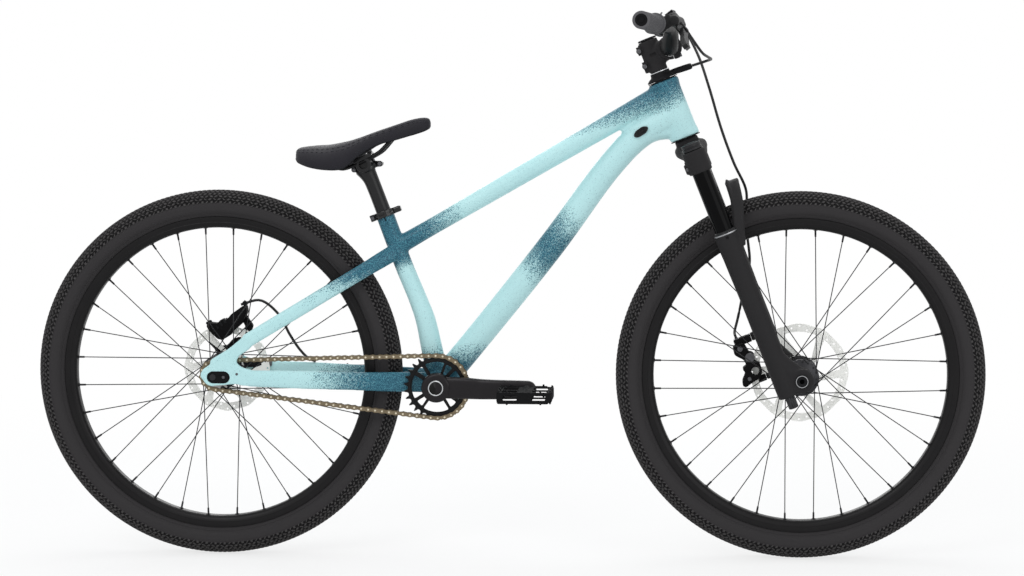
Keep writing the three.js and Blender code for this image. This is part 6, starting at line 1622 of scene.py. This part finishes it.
class BICYCLE_OT_fork(bpy.types.Operator):
    """Makes the fork's crown, glossy stanchions, cast lower legs with their arch, axle and damper knob"""

    bl_idname = "bicycle.fork"
    bl_label = "Suspension fork"

    def execute(self, context):
        crown = Form(STEER)
        rows = [(LEG_X + 66 * fore, LEG_Y * out, -22.55 - abs(out) * 14.35, 66 * deep, 41 * tall)
            for out, fore, deep, tall in ((-0.93, 0, 0.62, 0.8), (-0.55, 0.01, 0.72, 0.72),
            (0, -0.04, 0.92, 0.7), (0.55, 0.01, 0.72, 0.72), (0.93, 0, 0.62, 0.8))]
        crown.tube(flow(rows, 6), 36, across=(1, 0, 0), square=0.75)
        for side in (-1, 1):
            crown.at(leg(side)).lathe([(20.2, -66), (21.4, -64.6), (21.4, -26.4), (20.2, -25)], 56)
            crown.at(STEER).block((LEG_X - 25.5, side * LEG_Y - 6, -62),
                (LEG_X - 16, side * LEG_Y + 6, -44))
        crown.at(STEER).lathe([(21.2, -22), (21.4, -3.4), (20.8, -2.4)], 48)
        piece = make(crown, "fork_crown_cast", "satin_black", "steering", "fork_crown", "satin_black_alloy")
        melt(piece, 0.0015, 7)
        tools = [Form(STEER).block((LEG_X - 30, side * LEG_Y - 0.9, -70),
            (LEG_X - 3, side * LEG_Y + 0.9, -38)) for side in (-1, 1)]
        tools += [Form(leg(side)).lathe([(17.2, -80), (17.2, 10)], 48) for side in (-1, 1)]
        carve(piece, Form(STEER).lathe([(11.5, -80), (11.5, 20)], 40), *tools)
        steerer = Form(STEER).lathe([(11.5, -22), (14.3, -22), (14.3, 186.9), (11.5, 186.9)], 40, loop=True)
        make(steerer, "steerer_tube", "bolt_steel", "steering", slot="dark_steel")
        screws = Form()
        for side in (-1, 1):
            screws.bolt((LEG_X - 21, side * LEG_Y - 6, -53), (0, -1, 0), 3.2, 2, STEER)
            screws.at(leg(side))
            screws.lathe([(0.1, -24.2), (17.4, -24.2), (18.2, -23.6), (18.2, -20.2), (17.2, -19.4),
                (16.6, -19.2), (16.4, -17.6), (17.6, -17.2), (17.6, -12.6), (16.8, -11.8), (12.4, -11.4),
                (11.6, -10.2), (0.1, -10.0)], 48, finish=1)
        make(screws, "crown_caps", ("bolt_steel", "cap_grey"), "steering", slot="dark_alloy")
        for hand, side in (("right", -1), ("left", 1)):
            tube = Form(leg(side))
            tube.lathe([(15.5, -370.7), (16.9, -369.6), (17, -368), (17, -25.2), (16.6, -24.6),
                (15.5, -24.4)], 64)
            make(tube, f"stanchion_{hand}_tube", "stanchion_gloss", "steering", f"stanchion_{hand}",
                "gloss_stanchion")
        self.lowers()
        return {"FINISHED"}

    def lowers(self):
        form = Form(STEER)
        for side in (-1, 1):
            form.at(leg(side))
            form.lathe([(18.6, -496.2), (19.8, -494), (19.9, -470), (19.6, -430), (19.5, -300),
                (20.2, -262), (20.6, -230), (21.2, -214), (21.2, -184)], 56)
            form.at(STEER).tube(flow([(LEG_X + 1, side * LEG_Y, -415, 34, 30),
                (LEG_X + 12, side * LEG_Y, -447, 36, 38), (AXLE_X, side * 67, AXLE_Z, 34, 41)], 6), 32)
            form.at(AT_AXLE).lathe([(20.6, side * 50.4), (21.8, side * 51.6), (21.8, side * 82.4),
                (20.6, side * 83.8)], 56)
        arch = [(LEG_X + 41 * fore, LEG_Y * out, -180.5 - 457.9 * down, 26 * deep, 13 * tall)
            for fore, out, down, deep, tall in ((0.4, 1, 0.07, 0.8, 1.6), (0.68, 0.92, -0.01, 0.8, 1.0),
            (0.95, 0.7, -0.085, 0.86, 0.8), (1.05, 0.36, -0.15, 0.96, 0.66), (1.06, 0, -0.164, 1, 0.62))]
        form.at(STEER).tube(flow(arch + mirror_rows(arch[-2::-1]), 5), 28, across=(1, 0, 0), square=0.5)
        lip = [(LEG_X + 41 * fore - 7.5, LEG_Y * out, -180.5 - 457.9 * down + up, 4.6, 9)
            for fore, out, down, up in ((0.62, 0.99, 0.03, 2), (0.72, 0.92, -0.01, 2),
            (0.95, 0.7, -0.085, 3), (1.04, 0.36, -0.15, 3.4), (1.05, 0, -0.164, 3.6))]
        form.tube(flow(lip + mirror_rows(lip[-2::-1]), 5), 16, across=(1, 0, 0), square=0.6)
        for side in (-1, 1):
            for k in range(3):
                form.tube(flow([(LEG_X + 16 + 6 * k, side * (LEG_Y + 7 - 2.2 * k), -222 + 8 * k, 4.2, 13),
                    (LEG_X + 22 + 6 * k, side * (LEG_Y + 1.5 - 2.6 * k), -196 + 10 * k, 4.2, 12),
                    (LEG_X + 29 + 5.5 * k, side * (LEG_Y - 9 - 3 * k), -168 + 9 * k, 4.0, 9)], 4), 12,
                    across=(1, 0, 0))
        for up in CALIPER_BOLTS:
            z = CALIPER_Z + CALIPER_SPAN * up
            form.tube([(-22.9, 54.8, z, 13.4, 15.4), (-12, 54.8, z, 14, 16.4), (LEG_X, 58, z, 20, 24)], 24,
                square=0.6)
        form.tube([(LEG_X + 0.6, -86.4, -190.2, 9.6, 9.6), (LEG_X + 0.6, -78, -190.2, 11, 11)], 16,
            across=(1, 0, 0), square=0.5)
        piece = make(form, "fork_legs_cast", "satin_black", "fork_lower_body", "fork_lowers",
            "satin_black_alloy")
        melt(piece, 0.0016, 7)
        tools = [Form(leg(side)).lathe([(17.35, -476), (17.35, -150)], 56) for side in (-1, 1)]
        # The axle's bore, the room for the hub and the recess for the axle's head
        tools += [Form(AT_AXLE).lathe([(radius, low), (radius, high)], sides)
            for radius, low, high, sides in ((7.8, -100, 100, 40), (30, -49.7, 49.7, 48),
            (13.4, -100, -84.1, 48))]
        carve(piece, *tools, Form(STEER).block((LEG_X - 2.0, -95, -192.8), (LEG_X + 3.2, -84, -187.6)))

        trim = Form()
        for side in (-1, 1):
            trim.at(leg(side))
            trim.lathe([(17.3, -184.6), (21.3, -184.6), (21.6, -184.2), (21.6, -182.8), (21.2, -182.3)], 56,
                finish=1)
            trim.lathe([(17.25, -182.3), (20.2, -182.3), (20.6, -181.6), (19.4, -178.4), (18.0, -177.6),
                (17.25, -177.6)], 56, loop=True)
            if side > 0:
                trim.lathe([(0.1, -497.2), (8.2, -497.2), (8.6, -498), (8.2, -503.4), (6.6, -504.2),
                    (0.1, -504.2)], 32)
        make(trim, "fork_wipers", ("wiper_rubber", "wiper_ring"),
             "fork_lower_body", slot="soft_rubber")
        axle = Form(AT_AXLE)
        axle.lathe([(4.4, -86.2), (7.0, -86.6), (9.4, -88.0), (11.0, -87.9), (11.4, -87.2), (11.4, -85.0),
            (10.9, -84.4), (7.5, -84.3), (7.5, 82.6), (6.9, 83.4), (0.1, 83.4), (0.1, -72), (4.4, -72)], 48,
            loop=True)
        axle.lathe([(9.6, -88.0), (9.8, -88.4), (10.9, -88.3), (11.0, -87.8)], 48, loop=True, finish=1)
        make(axle, "front_axle_bar",
            ("alloy_black", turned_metal("axle_silver", (170, 171, 173), 0.28, 0.9, FRONT * 0.001)),
            "fork_lower_body", "front_axle", "sprocket_steel")
        knob = Form(leg(-1))
        rings = []
        for r, z in ((6.0, -497.2), (8.4, -497.4), (9.0, -498.6), (9.0, -516.6), (8.6, -518.2), (6.4, -519),
                (3.2, -519.1), (3.0, -516), (0.1, -516)):
            # Two points in six are set back: the flutes
            deep = [0.9 if r > 8.4 and j % 6 > 3 else 0 for j in range(72)]
            rings.append([((r - d) * math.cos(FULL * j / 72), (r - d) * math.sin(FULL * j / 72), z)
                          for j, d in enumerate(deep)])
        knob.skin(rings)
        make(knob, "damper_knob", "knob_grey", "fork_lower_body",
             "rebound_knob", "dark_alloy", crease=40)


class BICYCLE_OT_cockpit(bpy.types.Operator):
    """Makes the headset cover, stem, faceplate, top cap, handlebar and grips"""

    bl_idname = "bicycle.cockpit"
    bl_label = "Stem, handlebar and grips"

    def execute(self, context):
        cover = Form(STEER).lathe([(14.9, 111.9), (26.4, 111.9), (27.2, 112.6), (26.8, 114.6),
            (24.2, 117.6), (19.4, 120.2), (18.2, 122.0), (18.0, 125.6), (17.4, 126.6), (14.9, 126.6)], 64,
            loop=True)
        make(cover, "headset_cover_turned", "alloy_black", "steering", "headset_cover", "dark_alloy")
        snout = Form(STEER).tube(flow([(-27.5, 0, 113.4, 7, 2.6), (-20, 0, 114.2, 22, 4),
            (8, 0, 117.0, 24, 8.6), (24, 0, 117.7, 14.6, 10.6), (34, 0, 117.1, 11.4, 11.2),
            (52, 0, 116.0, 11.2, 11.2), (56.6, 0, 115.73, 10, 10), (58, 0, 115.64, 7.4, 7.4)], 4), 28)
        piece = make(snout, "headset_hose_snout", "alloy_black", "steering", slot="dark_alloy")
        carve(piece, Form(STEER).lathe([(15.2, 100), (15.2, 130)], 40),
            Form(STEER).tube([(46, 0, 116.4, 5.4), (70, 0, 114.9, 5.4)], 20))
        trim = Form(STEER).lathe([(14.9, 126.7), (17.9, 126.7), (18.1, 126.9), (18.1, 128.0), (17.9, 128.2),
            (14.9, 128.2)], 64, loop=True)
        make(trim, "stem_foot_ring", "bright_steel", "steering", slot="bright_steel")

        centre = BAR_CENTRE
        stem = Form(STEER).lathe([(15.9, 128.3), (16.5, 129), (16.5, 146), (17.6, 152), (17.6, 186.2),
            (17.0, 187)], 56)
        stem.tube(flow([(0, 0, 157, 36, 44), (12, 0, 158.5, 38, 42), (25, 0, centre.z, 46, 38)], 5), 36,
            square=0.7)
        stem.at(STEER @ along_y(centre.x, centre.z)).lathe([(20.8, -24), (21.8, -23), (21.8, 23),
            (20.8, 24)], 56)
        stem.at(STEER).block((-24.0, -8.6, 132), (-4, 8.6, 184))
        for z in (145, 174):
            stem.at(STEER @ along_y(-20.7, z)).lathe([(4.4, -14.2), (5.2, -13.4), (5.2, 13.4), (4.4, 14.2)],
                24)
        piece = make(stem, "stem_forged", "satin_black", "steering", "stem", "dark_alloy")
        melt(piece, 0.0012, 6)
        tools = [Form(STEER).lathe([(14.6, 100), (14.6, 200)], 48),
            Form(STEER @ along_y(centre.x, centre.z)).lathe([(16.2, -40), (16.2, 40)], 56),
            Form(STEER).block((centre.x + 0.3, -40, 100), (80, 40, 210)),
            Form(STEER).block((-40, -1.2, 100), (-10, 1.2, 200)),
            Form(STEER).block((-40, -20, 153.4), (-19.4, 20, 166.4)),
            Form(STEER).block((-40, -20, 182), (-19.4, 20, 200)),
            Form(STEER).plate(stadium(0.5, 160, 12.5, 5.6, 8), -40, -15.4),
            Form(STEER).plate(stadium(0.5, 160, 12.5, 5.6, 8), 15.4, 40)]
        carve(piece, *tools)
        face = Form(STEER)
        for y0, y1, outer in ((-24, -11.5, 22), (-11.6, 11.6, 19.4), (11.5, 24, 22)):
            face.plate(arc(centre.x, centre.z, outer, -86, 86, 18)
                + arc(centre.x, centre.z, 16.3, 86, -86, 18), y0, y1)
        for side in (-1, 1):
            for up in (-1, 1):
                face.plate(soften([(centre.x + x, centre.z + up * z) for x, z in (
                    (1.0, 14.8), (12.4, 14.8), (12.4, 23.4), (1.0, 23.4))], 3), side * 10.5, side * 22.5)
        make(face, "stem_faceplate_cover", "satin_black", "steering", "stem_faceplate", "dark_alloy",
            bevel=0.8)
        screws = Form()
        for side in (-1, 1):
            for up in (-1, 1):
                screws.bolt((centre.x + 12.2, side * 16.5, centre.z + up * 19.2), (1, 0, 0), 3.8, 3.2,
                    STEER)
        for z in (145, 174):
            screws.bolt((-20.7, -14.0, z), (0, -1, 0), 3.8, 1.6, STEER)
        make(screws, "stem_screws", "bolt_steel", "steering", slot="dark_steel")
        cap = Form(STEER).lathe([(11, 170), (11.2, 187.3), (16.4, 187.5), (17.1, 188.2), (17.1, 189.6),
            (16.2, 190.8), (8.2, 191.2), (7.6, 190.4), (6.6, 188.6), (0.1, 188.6)], 56)
        make(cap, "stem_top_cap_turned", "alloy_black", "steering", "stem_top_cap", "dark_alloy")
        make(Form().bolt((0, 0, 188.4), (0, 0, 1), 5.6, 2.6, STEER), "top_cap_screw", "bolt_steel",
            "steering", slot="dark_steel")

        inner, lead = Vector((33, 36, 160.75)), Vector((0, 42.3, 0))
        b, c = inner + lead, BAR_ELBOW - BAR_OUT * 42.3
        half = [(33, 0, 160.75, 31.8), (33, 27, 160.75, 31.8), (33, 36, 160.75, 31.6)]
        for k in range(1, 15):
            u = k / 14
            v = 1 - u
            spot = inner * v**3 + b * 3 * u * v**2 + c * 3 * u * u * v + BAR_ELBOW * u**3
            half.append((*spot, 31.8 - 9.6 * (3 * u * u - 2 * u**3)))
        half += [(*on_bar(200), 22.2), (*on_bar(381), 22.2)]
        bar = Form(STEER).tube(mirror_rows(half[:0:-1]) + half, 40, across=(1, 0, 0))
        make(bar, "handlebar_tube", "bar_black", "steering", "handlebar",
             "dark_alloy", crease=50)
        long = 130 / BAR_OUT.y
        for hand, flip in HANDS:
            place = STEER @ flip @ facing(on_bar(255), BAR_OUT)
            rows = [(11.4, 0), (17.0, 0), (18, 0.9), (18, 2.9), (17.2, 3.8), (14.6, 4.6)]
            for k in range(GRIP_RIBS):
                z = 5.2 + (long - 9.4) * k / GRIP_RIBS
                rows += [(14.2, z), (14.95, z + 0.55), (14.95, z + 1.75), (14.2, z + 2.1)]
            rows += [(14.4, long - 3.6), (15, long - 3.2), (15, long - 1.0), (14.2, long), (10.6, long),
                (10.2, long - 1.4), (10.2, long - 6), (11.4, long - 6)]
            make(Form(place).lathe(rows, 56, loop=True), f"grip_{hand}_ribbed", "grip_rubber", "steering",
                f"grip_{hand}", "grip_rubber", crease=28)
            plug = Form(place).lathe([(10.1, long - 7), (10.1, long - 1.2), (9.4, long - 0.5),
                (6.6, long - 0.4), (6.2, long - 1.2), (4.4, long - 1.3), (4.0, long - 0.8),
                (0.1, long - 0.7)], 40)
            make(plug, f"grip_{hand}_plug", "moulded_black", "steering", slot="pedal_plastic")
        return {"FINISHED"}


class BICYCLE_OT_levers(bpy.types.Operator):
    """Makes the brake lever bodies, their reservoirs and the lever blades"""

    bl_idname = "bicycle.levers"
    bl_label = "Brake levers"

    def execute(self, context):
        fore, pivot_x, pivot_z, long = -23.1, -20.0, -31.9, 114
        rows = [(0.06, -0.08), (0.42, -0.17), (0.78, -0.27), (0.97, -0.36), (1.02, -0.35), (1.03, -0.3),
            (0.96, -0.27), (0.78, -0.18), (0.42, -0.08), (0.14, 0.025), (0.05, 0.05), (-0.05, 0.05),
            (-0.05, -0.06)]
        for hand, flip in HANDS:
            place = STEER @ flip @ LEVER
            outline = soften([(pivot_x + a * long, pivot_z + b * long) for a, b in rows], 5, 3)
            hole = ring(pivot_x + 0.915 * long, pivot_z - 0.3 * long, 2.4, 14)
            blade = Form(place).plate(outline, fore - 4.5, fore + 4.5,
                [ring(pivot_x, pivot_z, 2.7, 16), hole])
            make(blade, f"brake_lever_{hand}_blade", "lever_black", f"lever_{hand}_body",
                f"brake_lever_{hand}", "dark_alloy", bevel=1.6, crease=40)
            # A bright steel strip along the blade's top edge stands in for its highlight: a painted highlight
            strip = [(pivot_x + a * long, pivot_z + b * long)
                for a, b in ((0.2, -0.045), (0.45, -0.1), (0.78, -0.2), (0.95, -0.285))]
            edge = Form(place).tube(flow([(x, fore, z - 0.6, 5.6, 1.6) for x, z in strip], 5), 12)
            make(edge, f"brake_lever_{hand}_edge", "bright_steel", f"lever_{hand}_body",
                slot="bright_steel")

            body = Form(place @ facing((0, fore, -9.9), (1, 0, 0)))
            body.lathe([(6.2, -64.9), (7.4, -64), (7.6, -58), (9.2, -56.4), (9.9, -55), (9.9, 4),
                (8.6, 6.4), (6, 7)], 40)
            body.at(place @ facing((0, 0, 0), (1, 0, 0))).lathe([(14.6, -7), (15.7, -6.2), (15.7, 6.2),
                (14.6, 7)], 48)
            body.at(place).block((-6.6, fore, -15.4), (6.6, -8, 5.4))
            body.tube(flow([(-50, fore, -3.6, 11, 12), (-38, fore, -1.2, 16, 18),
                (-14, fore, -1.2, 16.5, 18), (-3, fore, -4, 12, 14)], 4), 24, square=0.7)
            for y in (fore - 6.2, fore + 6.2):
                body.tube([(pivot_x, y, -10, 13.4, 3.4), (pivot_x, y, pivot_z, 13.0, 3.4),
                    (pivot_x, y, pivot_z - 6.2, 7, 3.2)], 20, across=(1, 0, 0), square=0.6)
            piece = make(body, f"brake_body_{hand}_cast", "lever_black", "steering", f"brake_body_{hand}",
                "dark_alloy")
            melt(piece, 0.0012, 5)
            carve(piece, Form(place @ facing((0, 0, 0), (1, 0, 0))).lathe([(11.4, -30), (11.4, 30)], 40),
                  Form(place).block((-70, fore - 4.8, -90), (120, fore + 4.8, -22.6)))
            trim = Form()
            trim.bolt((pivot_x, fore - 7.6, pivot_z), (0, -1, 0), 3.4, 0.9,
                place).bolt((pivot_x, fore + 7.6, pivot_z), (0, 1, 0), 3.4, 0.9, place)
            trim.bolt((0, -13.6, 12.2), (0, 0.4, 1), 3.0, 2.2, place)
            trim.at(place @ facing((0, fore, -9.9), (1, 0, 0))).lathe([(2.8, -65.2), (4.4, -65.2),
                (5.2, -64.4), (5.2, -62.6), (2.8, -62.6)], 6, loop=True)
            trim.at(place).plate(soften([(-46, 6.6), (-8, 6.6), (-8, 9.4), (-46, 9.4)], 1.2), fore - 7.4,
                fore + 7.4, finish=1)
            make(trim, f"brake_body_{hand}_trim", ("bolt_steel", "cap_grey"), "steering", slot="dark_steel",
                bevel=0.4)
        return {"FINISHED"}


class BICYCLE_OT_calipers(bpy.types.Operator):
    """Makes both disc brake calipers with their mounts, bolts and hose fittings"""

    bl_idname = "bicycle.calipers"
    bl_label = "Brake calipers"

    def execute(self, context):
        # The front one's points are shares of the span between its mounts
        place = STEER @ Matrix.Translation((LEG_X, 0, CALIPER_Z))
        outline = [(x * CALIPER_SPAN, z * CALIPER_SPAN) for x, z in ((-0.7, 0.41), (-0.66, 0.355),
            (-0.57, 0.26), (-0.56, 0.13), (-0.66, 0.11), (-0.63, 0.01), (-0.68, -0.05), (-0.74, -0.11),
            (-0.77, -0.2), (-0.72, -0.25), (-0.55, -0.2), (-0.4, -0.18), (-0.32, -0.07), (-0.31, 0.09),
            (-0.38, 0.18), (-0.42, 0.34), (-0.46, 0.56), (-0.68, 0.56))]
        window = [ring(-0.445 * CALIPER_SPAN, -0.02 * CALIPER_SPAN, 7.8, 24)]
        form = Form(place).plate(soften(outline, 4, 3), 21.7, 49.3, window)
        for fore, up in zip((-0.62, -0.5), CALIPER_BOLTS):
            form.block((fore * CALIPER_SPAN, 38.6, up * CALIPER_SPAN - 6.4),
                (-28.6, 60.8, up * CALIPER_SPAN + 6.4))
        piece = make(form, "front_caliper_body", "caliper_black", "fork_lower_body", "front_caliper",
            "dark_alloy", bevel=1.2)
        apply_modifiers(piece)
        carve(piece, Form(AT_AXLE).lathe([(94, 33.5), (94, 37.5)], 96), crossed=True)
        trim = Form(place)
        for head, up in zip((3 - 0.62 * CALIPER_SPAN, -48), CALIPER_BOLTS):
            trim.bolt((head, 54.8, up * CALIPER_SPAN), (-1, 0, 0), 5.2, 4.4, place)
            trim.at(place @ facing((-28.4, 54.8, up * CALIPER_SPAN), (1, 0, 0)))
            trim.lathe([(3.2, -6), (7.2, -6), (7.2, 0), (3.2, 0)], 24, loop=True)
        for side, face in ((-1, 21.7), (1, 49.3)):
            trim.at(place @ along_y(-0.445 * CALIPER_SPAN, 0.26 * CALIPER_SPAN))
            trim.lathe([(0.1, face), (8.6, face), (8.9, face + side * 0.6), (8.3, face + side * 1.3),
                (5.2, face + side * 1.3), (4.9, face + side * 0.5), (0.1, face + side * 0.5)], 36)
        trim.at(place @ facing((-0.56 * CALIPER_SPAN, 44.5, 64.4), (0, 0, 1))).lathe([(0.1, -9), (4.4, -9),
            (4.4, -4.6), (5.4, -4.4), (5.4, -1.2), (3.2, -1.0), (3.2, 0.6)], 24)
        # Bolt heads on both faces: share fore, place across, share up, side that shows, radius, height
        for fore, y, up, side, radius, high in ((-0.58, 49.2, 0.44, 1, 5.4, 3),
                (-0.36, 49.2, -0.08, 1, 3.4, 2), (-0.56, 21.8, 0.48, -1, 5.0, 2.4),
                (-0.6, 21.8, -0.12, -1, 3.6, 2.0)):
            trim.bolt((fore * CALIPER_SPAN, y, up * CALIPER_SPAN), (0, side, 0), radius, high, place)
        make(trim, "front_caliper_trim", "bolt_steel", "fork_lower_body", slot="dark_steel")

        hub = Matrix.Translation(REAR)
        outline = [(38.6, 115.9), (33.9, 117.5), (12.2, 102), (1.7, 89.5), (-2.7, 90.9), (-6.6, 92),
            (-10.8, 88.7), (-12.7, 84.8), (-19.6, 83.7), (-30.7, 85.4), (-34.9, 79.8), (-31.6, 73.2),
            (-23.8, 64.3), (-14.1, 55.4), (-5, 53.5), (7.2, 61), (15, 69.9), (30.3, 84), (40.5, 104.8)]
        leg = [(29.2, 100.7), (38.1, 92.9), (48.1, 78.4), (42.5, 61.7), (37.5, 49.2), (23.6, 43.7),
            (27.2, 66.2), (34.7, 76.7), (28.6, 88.1)]
        shoe = [(-35.3, 49.2), (-22.5, 51.2), (-19.2, 38.1), (-9.2, 40.1), (0.3, 41.7), (9.7, 52.8),
            (21.4, 56.7), (34.7, 51.2), (29.2, 33.9), (4.2, 22.8), (-16.7, 22.8), (-25, 36.2)]
        form = Form(hub).plate(soften(outline, 3, 3), 37.0, 60.8)
        form.plate(soften(leg, 3, 3), 55.3, 67.2).plate(soften(shoe, 3, 3), 55.5, 67.3)
        piece = make(form, "rear_caliper_body", "caliper_black", "frame", "rear_caliper", "dark_alloy",
            bevel=1.2)
        apply_modifiers(piece)
        carve(piece, Form(AT_REAR).lathe([(84, 50), (84, 54)], 96), crossed=True)
        trim = Form(hub @ along_y(-9, 78)).lathe([(0.1, 60.8), (9.2, 60.8), (9.5, 61.4), (8.9, 62.1),
            (5.6, 62.1), (5.2, 61.3), (0.1, 61.3)], 36)
        for side, face in ((-1, 37.0), (1, 60.8)):
            trim.bolt((-32, face, 85), (0, side, 0), 3.0, 1.6, hub).bolt((28, face, 108), (0, side, 0), 3.0,
                1.6, hub)
            for k in range(4):
                fin = Matrix.Translation((-20 + 7 * k, 0, 68 + 5.4 * k)) @ tilted(38)
                trim.at(hub @ fin).block((0, face, 0), (3.6, face + side * 1.1, 8))
        trim.bolt((34, 67.0, 92), (0, 1, 0), 4.4, 3, hub)
        trim.at(hub @ facing((35, 49, 121.5), (0.5, 0, 0.87))).lathe([(0.1, -4), (4.2, -4), (4.2, 1),
            (3.2, 1.2), (3.2, 4)], 20)
        make(trim, "rear_caliper_trim", "alloy_black", "frame", slot="dark_steel")
        return {"FINISHED"}


class BICYCLE_PT_sidebar(bpy.types.Panel):
    """Lists the operators in the order in which they run."""

    bl_label = "Dirt Jump Bicycle"
    bl_idname = "BICYCLE_PT_sidebar"
    bl_space_type = "VIEW_3D"
    bl_region_type = "UI"
    bl_category = "Bicycle"

    def draw(self, context):
        for name in ("bicycle_sizes", "bicycle_colours"):
            settings = getattr(context.scene, name)
            box = self.layout.box()
            for key in settings.__annotations__:
                box.prop(settings, key)
        column = self.layout.column(align=True)
        for piece in PIECES:
            column.operator(piece.bl_idname)


PIECES = [value for name, value in list(globals().items()) if name.startswith("BICYCLE_OT_")]
GROUPS = (("bicycle_sizes", BicycleSizes), ("bicycle_colours", BicycleColours))


def register():
    for item in (*[group for _, group in GROUPS], *PIECES, BICYCLE_PT_sidebar):
        bpy.utils.register_class(item)
    for name, group in GROUPS:
        setattr(bpy.types.Scene, name, bpy.props.PointerProperty(type=group))


def unregister():
    for name, _ in GROUPS:
        delattr(bpy.types.Scene, name)
    for item in (BICYCLE_PT_sidebar, *reversed(PIECES), *[group for _, group in GROUPS]):
        bpy.utils.unregister_class(item)


def main():
    register()
    for piece in PIECES:
        if getattr(bpy.ops.bicycle, piece.bl_idname.split(".")[1])() != {"FINISHED"}:
            raise RuntimeError(piece.bl_label + " did not finish")
    with open("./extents.json", "w") as out:
        json.dump({"cad": [list(corner) for corner in cad_box],
            "dressed": [list(corner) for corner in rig.bounds()]}, out)


if __name__ == "__main__":
    main()
